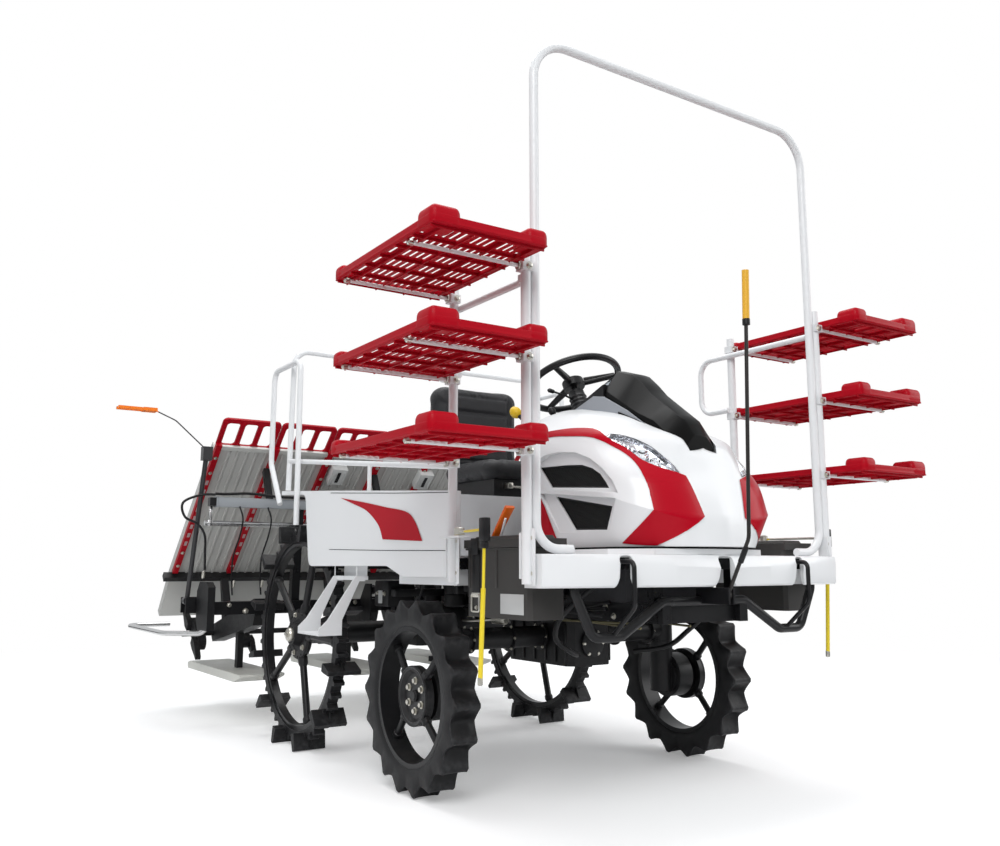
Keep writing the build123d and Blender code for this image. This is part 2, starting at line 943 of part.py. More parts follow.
# Steps: two arms that slope outward from the body side to a tread
for side_name, side in sides:
    with BuildPart() as steps:
        for behind in (376, 576):
            arm_plane = Plane(
                origin=(0, front_axle_y + behind, 0), x_dir=(1, 0, 0), z_dir=(0, -1, 0)
            )
            slab(
                arm_plane,
                (
                    (side * 652, 700),
                    (side * 652, body_bottom - 1),
                    (side * 692, body_bottom - 1),
                    (side * 800, 560),
                    (side * 832, 530),
                    (side * 832, 510),
                    (side * 742, 510),
                    (side * 742, 560),
                    (side * 676, 700),
                ),
                6,
            )
        block(
            sorted((side * 742, side * 832)),
            (front_axle_y + 370, front_axle_y + 576),
            (504, 512),
        )
        block(
            sorted((side * 640, side * 680)),
            (front_axle_y + 370, front_axle_y + 580),
            (704, body_bottom - fit_gap),
        )
    finish(steps, f"step_{side_name}")

# Centre pole that folds forward at the bumper
pole_pivot = (-846, 668)
with BuildPart() as pole:
    with BuildSketch(side_plane(-16)):
        with Locations(pole_pivot):
            Circle(13)
    extrude(amount=12)
    bent_tube(
        (
            (-10, front_axle_y + pole_pivot[0], pole_pivot[1]),
            (-10, front_axle_y - 938, 840),
            (-10, front_axle_y - 962, 1520),
        ),
        (60,),
        12,
    )
    rod((-10, front_axle_y - 962, 1515), (-10, front_axle_y - 967, 1670), 22)
    with BuildSketch(side_plane(-30)):
        with Locations(pole_pivot):
            Circle(5 + fit_gap)
    extrude(amount=40, mode=Mode.SUBTRACT)
finish(pole, "centre_pole")

# Side markers: an arm from the rear post and a stick that hangs from it
for side_name, side in sides:
    swivel = (side * (post_x + 34), front_axle_y + post_back - 100)
    with BuildPart() as side_marker:
        with BuildSketch(Plane.XY.offset(852)):
            with Locations(swivel):
                Circle(16)
                Circle(5.6, mode=Mode.SUBTRACT)
        extrude(amount=20)
        rod((swivel[0] + side * 6, swivel[1] - 12, 860), (side * 760, front_axle_y - 631, 860), 8)
        rod((side * 760, front_axle_y - 631, 880), (side * 760, front_axle_y - 625, 690), 9)
        rod((side * 760, front_axle_y - 625, 694), (side * 760, front_axle_y - 610, 432), 14)
    finish(side_marker, f"side_marker_{side_name}")

# Hood: a lofted shell through level sections of lines and arcs
hood_levels = (
    # height, nose, shoulder half width, shoulder behind, side half width
    (hood_bottom, -846, 212, -742, 280),
    (930, -840, 222, -735, 292),
    (1060, -782, 234, -680, 290),
    (1170, -716, 240, -590, 272),
    (1240, -610, 190, -500, 225),
    (1272, -520, 120, -430, 170),
)


def hood_form(inset, drop):
    """The hood's outer form, or its inner one when it is inset by the wall."""
    for height, nose, shoulder, shoulder_behind, half in hood_levels:
        level = height - drop
        width = half - inset
        bend = shoulder - inset * 0.8
        with BuildSketch(Plane.XY.offset(level)) as section:
            with BuildLine() as edge:
                Line((-width, front_axle_y + hood_back), (width, front_axle_y + hood_back))
                ThreePointArc(
                    (width, front_axle_y + hood_back),
                    (
                        width + (8 if half > 250 else 0),
                        front_axle_y + (hood_back + shoulder_behind) / 2,
                    ),
                    (bend, front_axle_y + shoulder_behind + inset * 0.6),
                )
                ThreePointArc(
                    (bend, front_axle_y + shoulder_behind + inset * 0.6),
                    (0, front_axle_y + nose + inset),
                    (-bend, front_axle_y + shoulder_behind + inset * 0.6),
                )
                ThreePointArc(
                    (-bend, front_axle_y + shoulder_behind + inset * 0.6),
                    (
                        -width - (8 if half > 250 else 0),
                        front_axle_y + (hood_back + shoulder_behind) / 2,
                    ),
                    (-width, front_axle_y + hood_back),
                )
            make_face(edge.edges())
        yield section.sketch


def visor_sections(grow):
    """Upright sections of the black visor, from its low front to its high back."""
    for behind, half, low, high in (
        (-716, 92, 1120, 1176),
        (-600, 118, 1190, 1300),
        (-470, 126, 1225, 1408),
        (-385, 112, 1235, 1450),
    ):
        plane = Plane(origin=(0, front_axle_y + behind, 0), x_dir=(1, 0, 0), z_dir=(0, -1, 0))
        with BuildSketch(plane) as section:
            with BuildLine() as edge:
                Polyline(
                    (half + grow, low + 30),
                    (half + grow, low),
                    (-half - grow, low),
                    (-half - grow, low + 30),
                )
                ThreePointArc(
                    (-half - grow, low + 30), (0, high + grow), (half + grow, low + 30)
                )
            make_face(edge.edges())
        yield section.sketch


with BuildPart() as visor:
    loft(list(visor_sections(0)))
finish(visor, "hood_visor")

lamp_outline = ((112, 1020), (150, 1100), (262, 1192), (288, 1168), (238, 1090), (160, 1030))
upper_grille = ((-250, 1085), (-262, 1010), (-330, 1000), (-600, 1000), (-560, 1060), (-470, 1090))
lower_grille = ((-330, 975), (-345, 960), (-440, 882), (-600, 882), (-622, 960), (-600, 975))
front_face = Plane(origin=(0, front_axle_y, 0), x_dir=(1, 0, 0), z_dir=(0, -1, 0))

with BuildPart() as hood_shell:
    loft(list(hood_form(0, 0)))
    loft(list(hood_form(hood_wall, hood_wall)), mode=Mode.SUBTRACT)
    with BuildSketch(Plane.XY.offset(hood_bottom - 20)):
        with Locations((0, front_axle_y - 500)):
            Rectangle(800, 900)
    extrude(amount=20, mode=Mode.SUBTRACT)

with BuildPart() as lamp_prisms:
    for side in (-1, 1):
        slab(front_face.offset(480), tuple((side * x, z) for x, z in lamp_outline), 420)

with BuildPart() as grille_prisms:
    for outline in (upper_grille, lower_grille):
        slab(side_plane(-400), outline, 180)
        slab(side_plane(220), outline, 180)

with BuildPart() as hood:
    add(hood_shell.part)
    add(lamp_prisms.part, mode=Mode.SUBTRACT)
    add(grille_prisms.part, mode=Mode.SUBTRACT)
    loft(list(visor_sections(fit_gap)), mode=Mode.SUBTRACT)
finish(hood, "hood")

with BuildPart() as headlamps:
    add(hood_shell.part)
    add(lamp_prisms.part, mode=Mode.INTERSECT)
finish(headlamps, "headlamps")

with BuildPart() as grilles:
    add(hood_shell.part)
    add(grille_prisms.part, mode=Mode.INTERSECT)
finish(grilles, "side_grilles")

# Instrument cowl behind the visor and the panel that closes the hood's back
with BuildPart() as cowl:
    slab(
        side_plane(-105),
        (
            (-384, 1272 + fit_gap),
            (-384, 1405),
            (-300, 1372),
            (-150, 1318),
            (-120, 1290),
            (-120, 1250),
            (hood_back + fit_gap, 1240),
            (hood_back + fit_gap, 1272 + fit_gap),
        ),
        210,
    )
    slab(
        side_plane(-160),
        (
            (hood_back + fit_gap, floor_top + fit_gap),
            (hood_back + fit_gap, 1250),
            (-150, 1262),
            (-140, 1000),
            (-140, floor_top + fit_gap),
        ),
        320,
    )
    slab(
        side_plane(-270),
        (
            (hood_back + fit_gap, floor_top + fit_gap),
            (hood_back + fit_gap, 1160),
            (hood_back + 8, 1160),
            (hood_back + 8, floor_top + fit_gap),
        ),
        540,
    )
finish(cowl, "dash_panel")

# Steering wheel on its raked column
rake = math.radians(column_rake)
wheel_plane = Plane(
    origin=(0, front_axle_y + wheel_centre_behind, wheel_centre_z),
    x_dir=(1, 0, 0),
    z_dir=(0, math.sin(rake), math.cos(rake)),
)
with BuildPart() as column:
    with BuildSketch(wheel_plane.offset(-190)):
        Circle(30)
    extrude(amount=150)
    with BuildSketch(wheel_plane.offset(-40)):
        Circle(12)
    extrude(amount=20)
    add(cowl.part, mode=Mode.SUBTRACT)
finish(column, "steering_column")

with BuildPart() as steering_wheel:
    with BuildSketch(Plane(origin=wheel_plane.origin, x_dir=wheel_plane.z_dir, z_dir=(1, 0, 0))):
        with Locations((0, wheel_rim_radius - wheel_grip / 2)):
            Circle(wheel_grip / 2)
    revolve(axis=Axis(wheel_plane.origin, wheel_plane.z_dir))
    with BuildSketch(wheel_plane.offset(-20 + fit_gap)):
        Circle(42)
    extrude(amount=28)
    for turn in (90, 210, 330):
        tip = wheel_plane.from_local_coords(
            (
                (wheel_rim_radius - wheel_grip) * math.cos(math.radians(turn)),
                (wheel_rim_radius - wheel_grip) * math.sin(math.radians(turn)),
                0,
            )
        )
        root = wheel_plane.from_local_coords(
            (30 * math.cos(math.radians(turn)), 30 * math.sin(math.radians(turn)), -6)
        )
        rod(tuple(root), tuple(tip + (tip - root).normalized() * 8), 20)
finish(steering_wheel, "steering_wheel")

# Lift links between the chassis and the planting unit
link_rear_y = link_front_y + link_length
with BuildPart() as lower_link:
    for side in (-1, 1):
        arm_plane = side_plane(side * (hitch_x + 16) - 9)
        with BuildSketch(arm_plane):
            with Locations((link_front_y, link_low_z), (link_rear_y, link_low_z)):
                Circle(24)
            with Locations(((link_front_y + link_rear_y) / 2, link_low_z)):
                Rectangle(link_length, 34)
            with Locations((link_front_y, link_low_z), (link_rear_y, link_low_z)):
                Circle(pin_diameter / 2 + fit_gap, mode=Mode.SUBTRACT)
        extrude(amount=18)
        block(
            sorted((side * 15, side * 25)),
            (front_axle_y + lift_eye[0] - 22, front_axle_y + lift_eye[0] + 22),
            (link_low_z - 10, lift_eye[1] + 16),
        )
    rod(
        (-hitch_x - 10, front_axle_y + lift_eye[0], link_low_z),
        (hitch_x + 10, front_axle_y + lift_eye[0], link_low_z),
        30,
    )
    rod(
        (-20, front_axle_y + lift_eye[0], lift_eye[1]),
        (20, front_axle_y + lift_eye[0], lift_eye[1]),
        12,
    )
finish(lower_link, "lower_link")

with BuildPart() as upper_link:
    for side in (-1, 1):
        arm_plane = side_plane(side * (hitch_x - 16) - 9)
        with BuildSketch(arm_plane):
            with Locations((link_front_y, link_high_z), (link_rear_y, link_high_z)):
                Circle(24)
            with Locations(((link_front_y + link_rear_y) / 2, link_high_z)):
                Rectangle(link_length, 30)
            with Locations((link_front_y, link_high_z), (link_rear_y, link_high_z)):
                Circle(pin_diameter / 2 + fit_gap, mode=Mode.SUBTRACT)
        extrude(amount=18)
    rod(
        (-hitch_x + 14, front_axle_y + link_rear_y - 90, link_high_z),
        (hitch_x - 14, front_axle_y + link_rear_y - 90, link_high_z),
        26,
    )
finish(upper_link, "upper_link")

# Lift cylinder, its barrel on the chassis and its rod's eye on the lower link
lift_run = Vector(0, lift_eye[0] - lift_foot[0], lift_eye[1] - lift_foot[1])
lift_span = lift_run.length
lift_dir = lift_run.normalized()
lift_origin = Vector(0, front_axle_y + lift_foot[0], lift_foot[1])


def lift_plane(distance):
    """A plane across the lift cylinder, at a distance from its foot."""
    return Plane(origin=lift_origin + lift_dir * distance, x_dir=(1, 0, 0), z_dir=lift_dir)


with BuildPart() as lift_barrel:
    with BuildSketch(side_plane(-12)):
        with Locations(lift_foot):
            Circle(18)
    extrude(amount=24)
    with BuildSketch(lift_plane(8)):
        Circle(14)
    extrude(amount=40)
    with BuildSketch(lift_plane(40)):
        Circle(24)
    extrude(amount=190)
    with BuildSketch(lift_plane(60)):
        Circle(13)
    extrude(amount=200, mode=Mode.SUBTRACT)
    with BuildSketch(side_plane(-14)):
        with Locations(lift_foot):
            Circle(6 + fit_gap)
    extrude(amount=28, mode=Mode.SUBTRACT)
finish(lift_barrel, "lift_barrel")

with BuildPart() as lift_rod:
    with BuildSketch(lift_plane(125)):
        Circle(13 - fit_gap)
    extrude(amount=lift_span - 24 - 125)
    with BuildSketch(side_plane(-11)):
        with Locations(lift_eye):
            Circle(27)
    extrude(amount=22)
    with BuildSketch(side_plane(-14)):
        with Locations(lift_eye):
            Circle(17)
    extrude(amount=28, mode=Mode.SUBTRACT)
finish(lift_rod, "lift_rod")

# Planting unit: hitch, beam, three planting cases, supports and slide rail
slope = math.radians(table_slope)
table_plane = Plane(
    origin=(0, front_axle_y + table_top[0], table_top[1]),
    x_dir=(1, 0, 0),
    z_dir=(0, math.sin(slope), math.cos(slope)),
)
slide_distance = table_length - 20
case_places = (-600, 0, 600)


def on_table(distance, height):
    """Distance behind the front axle and height of a point below or above the table's slope."""
    return (
        table_top[0] + distance * math.cos(slope) + height * math.sin(slope),
        table_top[1] - distance * math.sin(slope) + height * math.cos(slope),
    )


with BuildPart() as frame:
    block(
        (-beam_half, beam_half),
        (front_axle_y + beam[0] - beam_side / 2, front_axle_y + beam[0] + beam_side / 2),
        (beam[1] - beam_side / 2, beam[1] + beam_side / 2),
    )
    for side in (-1, 1):
        slab(
            side_plane(side * hitch_x - hitch_plate / 2),
            (
                (link_rear_y - 26, link_low_z - 28),
                (link_rear_y + 50, link_low_z - 28),
                (beam[0] - 20, beam[1] - 24),
                (beam[0] - 20, beam[1] + 24),
                (link_rear_y + 40, link_high_z + 30),
                (link_rear_y - 26, link_high_z + 30),
            ),
            hitch_plate,
        )
        rod(
            (side * (hitch_x - 2), front_axle_y + link_rear_y, link_low_z),
            (side * (hitch_x + 34), front_axle_y + link_rear_y, link_low_z),
            pin_diameter,
        )
        rod(
            (side * (hitch_x + 2), front_axle_y + link_rear_y, link_high_z),
            (side * (hitch_x - 34), front_axle_y + link_rear_y, link_high_z),
            pin_diameter,
        )
        slab(
            side_plane(side * 450 - 20),
            (
                (beam[0] - 22, beam[1]),
                (beam[0] + 22, beam[1]),
                (cross_tube[0] + 18, cross_tube[1]),
                (cross_tube[0] - 18, cross_tube[1]),
            ),
            40,
        )
    block(
        (-900, 900),
        (
            front_axle_y + cross_tube[0] - cross_tube_side / 2,
            front_axle_y + cross_tube[0] + cross_tube_side / 2,
        ),
        (cross_tube[1] - cross_tube_side / 2, cross_tube[1] + cross_tube_side / 2),
    )
    for x in case_places:
        slab(
            side_plane(x - 15),
            (
                (cross_tube[0] - 10, cross_tube[1]),
                (cross_tube[0] + 10, cross_tube[1]),
                on_table(300, -running_gap - 24),
                on_table(270, -running_gap - 24),
            ),
            30,
        )
    for side in (-1, 1):
        block(
            sorted((side * 836, side * 868)),
            (front_axle_y + beam[0] - 30, front_axle_y + marker_pivot[0] + 60),
            (beam[1] - 30, beam[1] + 30),
        )
        for behind in (marker_pivot[0] - 46, marker_pivot[0] + 34):
            block(
                sorted((side * 860, side * (marker_x + 16))),
                (front_axle_y + behind, front_axle_y + behind + 12),
                (beam[1] - 24, marker_pivot[1] + 16),
            )
        rod(
            (side * marker_x, front_axle_y + marker_pivot[0] - 40, marker_pivot[1]),
            (side * marker_x, front_axle_y + marker_pivot[0] + 40, marker_pivot[1]),
            12,
        )
finish(frame, "planting_frame")

# Three planting cases behind the beam, the slide rail that they carry and the float posts
with BuildPart() as cases:
    for x in case_places:
        slab(
            side_plane(x - case_half_width),
            (
                (beam[0] + beam_side / 2 + fit_gap, beam[1] + 40),
                (beam[0] + 50, beam[1] + 40),
                (rotor_axis[0] + 10, rotor_axis[1] + 46),
                (rotor_axis[0] + 48, rotor_axis[1]),
                (rotor_axis[0] + 10, rotor_axis[1] - 46),
                (beam[0] + 50, beam[1] - 90),
                (beam[0] + beam_side / 2 + fit_gap, beam[1] - 40),
            ),
            2 * case_half_width,
        )
        slab(
            side_plane(x - 20),
            (
                (rotor_axis[0] - 160, rotor_axis[1] + 40),
                (rotor_axis[0] - 100, rotor_axis[1] + 40),
                on_table(slide_distance + 10, -38),
                on_table(slide_distance - 12, -38),
            ),
            40,
        )
        block(
            (x - 15, x + 15),
            (front_axle_y + 1930, front_axle_y + 1970),
            (float_top + fit_gap, 440),
        )
    with BuildSketch(side_plane(-900)):
        with Locations(rotor_axis):
            Circle(rotor_shaft / 2 + fit_gap)
    extrude(amount=1800, mode=Mode.SUBTRACT)
    with BuildSketch(table_plane.offset(-40)):
        with Locations((0, slide_distance)):
            Rectangle(1840, 30)
    extrude(amount=40 - fit_gap)
finish(cases, "planting_cases")

# Guard pipes round the outer rotors
with BuildPart() as guard_pipes:
    for side in (-1, 1):
        bent_tube(
            (
                (side * 852, front_axle_y + beam[0] + 60, beam[1] - beam_side / 2 - fit_gap),
                (side * 852, front_axle_y + beam[0] + 60, 440),
                (side * 1020, front_axle_y + beam[0] + 200, 440),
                (side * 1020, front_axle_y + rear_reach - 12, 440),
                (side * 800, front_axle_y + rear_reach - 12, 440),
            ),
            (50, 80, 60),
            24,
        )
finish(guard_pipes, "guard_pipes")

# Six planting rotors on one cross shaft
rotor_rows = [row_pitch * (row - (row_count - 1) / 2) for row in range(row_count)]
with BuildPart() as rotors:
    rod(
        (-800, front_axle_y + rotor_axis[0], rotor_axis[1]),
        (800, front_axle_y + rotor_axis[0], rotor_axis[1]),
        rotor_shaft,
    )
    for row_x in rotor_rows:
        hub_x = row_x - 52 if row_x % 600 == 150 else row_x + 10
        with BuildSketch(side_plane(hub_x)):
            with Locations(rotor_axis):
                SlotCenterToCenter(140, 84, rotation=35)
        extrude(amount=42)
        claw_x = row_x - 14
        for turn in (35, 215):
            with BuildSketch(side_plane(claw_x)):
                with Locations(Location((rotor_axis[0], rotor_axis[1], 0), (0, 0, turn))):
                    Polygon(
                        (52, -20),
                        (100, -26),
                        (claw_radius - 6, 8),
                        (claw_radius, 24),
                        (150, 22),
                        (96, 26),
                        (52, 20),
                        align=None,
                    )
            extrude(amount=28)
finish(rotors, "planting_rotors")

# Seedling table with its lane walls, and the steeper toe at its lower end
with BuildPart() as table:
    with BuildSketch(table_plane):
        with Locations((0, (extension_length + table_length) / 2)):
            Rectangle(2 * table_half, table_length - extension_length)
    extrude(amount=table_plate)
    toe_angle = math.radians(toe_slope)
    toe_start = on_table(table_length, 0)
    toe_plane = Plane(
        origin=(0, front_axle_y + toe_start[0], toe_start[1]),
        x_dir=(1, 0, 0),
        z_dir=(0, math.sin(toe_angle), math.cos(toe_angle)),
    )
    with BuildSketch(toe_plane):
        with Locations((0, (toe_length - table_plate) / 2)):
            Rectangle(2 * table_half, toe_length + table_plate)
    extrude(amount=table_plate)
    for lane in range(row_count + 1):
        lane_x = -table_half + 4 + lane * (2 * table_half - 8) / row_count
        with BuildSketch(table_plane.offset(table_plate - 1)):
            with Locations((lane_x, (extension_length + table_length) / 2)):
                Rectangle(8, table_length - extension_length)
        extrude(amount=36)
        with BuildSketch(toe_plane.offset(table_plate - 1)):
            with Locations((lane_x, toe_length / 2)):
                Rectangle(8, toe_length)
        extrude(amount=36)
finish(table, "seedling_table")

with BuildPart() as table_frames:
    for lane in range(row_count):
        lane_x = -table_half + (lane + 0.5) * 2 * table_half / row_count
        with BuildSketch(table_plane):
            with Locations((lane_x, extension_length / 2 - fit_gap)):
                RectangleRounded(2 * table_half / row_count - 6, extension_length, 24)
                with GridLocations(88, 0, 3, 1):
                    RectangleRounded(64, extension_length - 50, 16, mode=Mode.SUBTRACT)
        extrude(amount=12)
    for lane in range(row_count + 1):
        lane_x = -table_half + 14 + lane * (2 * table_half - 28) / row_count
        with BuildSketch(table_plane.offset(-24)):
            with Locations((lane_x, (guide_start + slide_distance - 30) / 2)):
                Rectangle(28, slide_distance - 30 - guide_start)
        extrude(amount=24 - fit_gap)
finish(table_frames, "table_frames")

# Floats
with BuildPart() as floats:
    for x, half, start, end in ((-600, 110, 1590, 2480), (0, 108, 1520, 2500), (600, 110, 1590, 2480)):
        slab(
            side_plane(x - half),
            (
                (start, float_top),
                (start, float_top - 12),
                (start + 90, float_bottom),
                (end - 10, float_bottom),
                (end, float_bottom + 12),
                (end, float_top - 10),
                (end - 40, float_top),
            ),
            2 * half,
        )
finish(floats, "floats")

# Black covers at the ends of the beam
with BuildPart() as covers:
    for side in (-1, 1):
        slab(
            side_plane(min(side * 872, side * 906)),
            (
                (1500, 462),
                (1500, 660),
                (1540, 684),
                (1640, 684),
                (1680, 640),
                (1680, 510),
                (1650, 462),
            ),
            34,
        )
finish(covers, "planter_covers")

# Line markers, folded up beside the table
for side_name, side in sides:
    with BuildPart() as marker:
        arm_run = (marker_top[0] - marker_pivot[0], marker_top[1] - marker_pivot[1])
        boss_plane = Plane(
            origin=(side * marker_x, front_axle_y + marker_pivot[0] - 18, marker_pivot[1]),
            x_dir=(1, 0, 0),
            z_dir=(0, 1, 0),
        )
        with BuildSketch(boss_plane):
            Circle(20)
            Circle(6 + fit_gap, mode=Mode.SUBTRACT)
        extrude(amount=36)
        rod(
            (side * marker_x, front_axle_y + marker_pivot[0] - 6, marker_pivot[1] + 16),
            (side * marker_x, front_axle_y + marker_top[0], marker_top[1]),
            22,
        )
        block(
            sorted((side * (marker_x - 22), side * (marker_x + 22))),
            (front_axle_y + marker_top[0] - 20, front_axle_y + marker_top[0] + 24),
            (marker_top[1] - 50, marker_top[1] + 14),
        )
        bent_tube(
            (
                (side * (marker_x + 10), front_axle_y + marker_wire_y, marker_top[1]),
                (side * 1090, front_axle_y + marker_wire_y, 1425),
                (side * 1190, front_axle_y + marker_wire_y, 1466),
            ),
            (60,),
            6,
        )
        block(
            sorted((side * 1176, side * 1236)),
            (front_axle_y + marker_top[0] - 28, front_axle_y + marker_top[0] + 28),
            (1458, 1474),
        )
        for prong in (-20, 20):
            block(
                sorted((side * 1230, side * 1345)),
                (
                    front_axle_y + marker_top[0] + prong - 8,
                    front_axle_y + marker_top[0] + prong + 8,
                ),
                (1460, 1472),
            )
    finish(marker, f"line_marker_{side_name}")
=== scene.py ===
"""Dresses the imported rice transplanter: finishes, pads and trim, with a floor, lights and a camera.

Metres, +Z up. The machine faces -Y and its left side is +X.
"""

import json
import logging
import math
from dataclasses import dataclass
from enum import Enum
from typing import Sequence

import bmesh
import bpy
import numpy as np
from mathutils import Euler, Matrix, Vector
from mathutils.bvhtree import BVHTree

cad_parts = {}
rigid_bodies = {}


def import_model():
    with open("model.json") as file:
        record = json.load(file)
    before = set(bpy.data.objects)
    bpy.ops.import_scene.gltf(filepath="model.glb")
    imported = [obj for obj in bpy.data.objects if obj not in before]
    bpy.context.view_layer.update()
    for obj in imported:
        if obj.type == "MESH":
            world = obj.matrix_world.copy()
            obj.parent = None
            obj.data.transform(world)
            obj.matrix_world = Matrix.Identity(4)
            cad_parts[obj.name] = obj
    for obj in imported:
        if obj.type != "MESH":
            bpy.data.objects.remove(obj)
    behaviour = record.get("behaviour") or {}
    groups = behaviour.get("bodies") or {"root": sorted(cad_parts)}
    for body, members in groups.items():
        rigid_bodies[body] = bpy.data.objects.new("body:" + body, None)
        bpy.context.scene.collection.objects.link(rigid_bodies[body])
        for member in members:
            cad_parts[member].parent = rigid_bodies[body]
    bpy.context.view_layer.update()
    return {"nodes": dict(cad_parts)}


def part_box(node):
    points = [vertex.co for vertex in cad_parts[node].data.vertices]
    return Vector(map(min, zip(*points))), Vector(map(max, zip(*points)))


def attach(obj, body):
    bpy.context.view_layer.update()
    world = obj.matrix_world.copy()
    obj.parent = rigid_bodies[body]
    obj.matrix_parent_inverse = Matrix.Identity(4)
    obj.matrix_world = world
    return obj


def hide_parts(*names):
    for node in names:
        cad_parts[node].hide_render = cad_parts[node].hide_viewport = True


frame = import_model()

Array = np.ndarray
Point = tuple[float, float, float]
Color = tuple[float, float, float]

LOG = logging.getLogger("transplanter")
WORLD_AXES = tuple(np.eye(3))
AXLE_Y = sum(corner.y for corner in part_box("front_tyre_left")) / 2


class Side(Enum):
    """The machine's two sides, with the sign of x on each."""

    RIGHT = -1
    LEFT = 1


# Surfaces


def unit(vector: Sequence[float] | Array) -> Array:
    """Scales a vector to length one."""
    values = np.asarray(vector, float)
    return values / np.linalg.norm(values)


def axes_for(direction: Sequence[float] | Array) -> tuple[Array, Array, Array]:
    """Finds two axes square to a direction.

    Args:
        direction: the third axis, of any length.

    Returns:
        Three unit axes, the last along the direction: cross products with the world axis
        that lies furthest from it.
    """
    third = unit(direction)
    helper = np.eye(3)[np.argmin(np.abs(third))]
    first = unit(np.cross(helper, third))
    return first, np.cross(third, first), third


def smooth_path(points: Sequence[Sequence[float]] | Array, per_span: int = 8) -> Array:
    """Runs a smooth line through points, or a smooth surface through rings of points.

    Args:
        points: the points or rings that it passes, in order.
        per_span: steps between one and the next.

    Returns:
        Points of a Catmull-Rom curve: each span is the cubic whose end slopes are half the
        step between the two neighbours.
    """
    knots = np.asarray(points, float)
    padded = np.concatenate((2 * knots[:1] - knots[1:2], knots, 2 * knots[-1:] - knots[-2:-1]))
    t = np.linspace(0, 1, per_span, endpoint=False).reshape(-1, *(1,) * (knots.ndim - 1))
    spans = [
        0.5 * (2 * b + (c - a) * t + (2 * a - 5 * b + 4 * c - d) * t**2
               + (3 * b - a - 3 * c + d) * t**3)
        for a, b, c, d in zip(padded, padded[1:], padded[2:], padded[3:])
    ]
    return np.concatenate((*spans, knots[-1:]))


def along(path: Array, section: Array) -> Array:
    """Carries a flat section along a path.

    Args:
        path: points of the path, one row each.
        section: the section's points for each path point, (path, section, 2), or one section
            for all, (section, 2).

    Returns:
        A grid (path, section, 3): at each path point the section's two numbers are laid along
        two axes square to the path's slope. The first axis is the cross product of the slope
        and one fixed direction, the one that the path runs along least.
    """
    slope = np.gradient(path, axis=0)
    slope /= np.linalg.norm(slope, axis=1, keepdims=True)
    fixed = np.eye(3)[np.argmin(np.abs(slope).max(axis=0))]
    first = np.cross(slope, fixed)
    first /= np.linalg.norm(first, axis=1, keepdims=True)
    second = np.cross(slope, first)
    if section.ndim == 2:
        section = np.broadcast_to(section, (len(path), *section.shape))
    return (
        path[:, None, :]
        + section[:, :, :1] * first[:, None, :]
        + section[:, :, 1:] * second[:, None, :]
    )


def circle(sides: int) -> Array:
    """Unit circle: cosine and sine of equal steps of angle."""
    angle = np.linspace(0, 2 * math.pi, sides, endpoint=False)
    return np.stack((np.cos(angle), np.sin(angle)), axis=1)


def rounded_rectangle(width: float, height: float, radius: float, steps: int = 4) -> Array:
    """Outline of a rectangle with round corners.

    Args:
        width: size along the first axis.
        height: size along the second axis.
        radius: the corners' radius.
        steps: points per corner, less one.

    Returns:
        Points (n, 2): quarter circles set at the four inner corners, in order.
    """
    angle = np.linspace(0, math.pi / 2, steps + 1)[None, :] + np.arange(4)[:, None] * math.pi / 2
    sign = np.array(((1, 1), (-1, 1), (-1, -1), (1, -1)), float)
    inner = sign * np.array((width / 2 - radius, height / 2 - radius))
    corner = np.stack((np.cos(angle), np.sin(angle)), axis=2) * radius
    return (inner[:, None, :] + corner).reshape(-1, 2)


def pulled_in(outline: Array, inset: float) -> Array:
    """Moves each point of a counter-clockwise outline inwards, square to its two neighbours.

    Args:
        outline: points (n, 2).
        inset: how far they move.

    Returns:
        The moved points.
    """
    step = np.roll(outline, -1, axis=0) - np.roll(outline, 1, axis=0)
    step /= np.linalg.norm(step, axis=1, keepdims=True)
    return outline + inset * np.stack((-step[:, 1], step[:, 0]), axis=1)


def stack(
    outline: Array,
    levels: Sequence[tuple[float, float]],
    origin: Sequence[float] | Array,
    axes: tuple[Array, Array, Array],
) -> Array:
    """Piles copies of an outline into the side of a solid.

    Args:
        outline: points (n, 2), counter-clockwise.
        levels: (inset, height) of each copy.
        origin: where height is zero and the outline's own origin lies.
        axes: the outline's two axes and the axis of height.

    Returns:
        A grid (levels, n, 3): origin plus the pulled-in outline along the first two axes plus
        height along the third.
    """
    u, v, w = axes
    flat = np.stack([pulled_in(outline, inset) for inset, _ in levels])
    height = np.array([level[1] for level in levels])[:, None, None]
    return np.asarray(origin) + flat[:, :, :1] * u + flat[:, :, 1:] * v + height * w


def turned(
    profile: Sequence[tuple[float, float]],
    origin: Sequence[float] | Array,
    axis: Sequence[float] | Array,
    sides: int = 24,
) -> Array:
    """Turns a profile round an axis.

    Args:
        profile: (radius, distance along the axis) of each ring.
        origin: where the distance is zero.
        axis: direction of the axis.
        sides: points per ring.

    Returns:
        A grid (rings, sides, 3): radius times the unit circle plus distance times the axis.
    """
    u, v, w = axes_for(axis)
    values = np.asarray(profile, float)
    ring = circle(sides)
    round_part = ring[None, :, :1] * u + ring[None, :, 1:] * v
    return np.asarray(origin) + values[:, :1, None] * round_part + values[:, 1:, None] * w


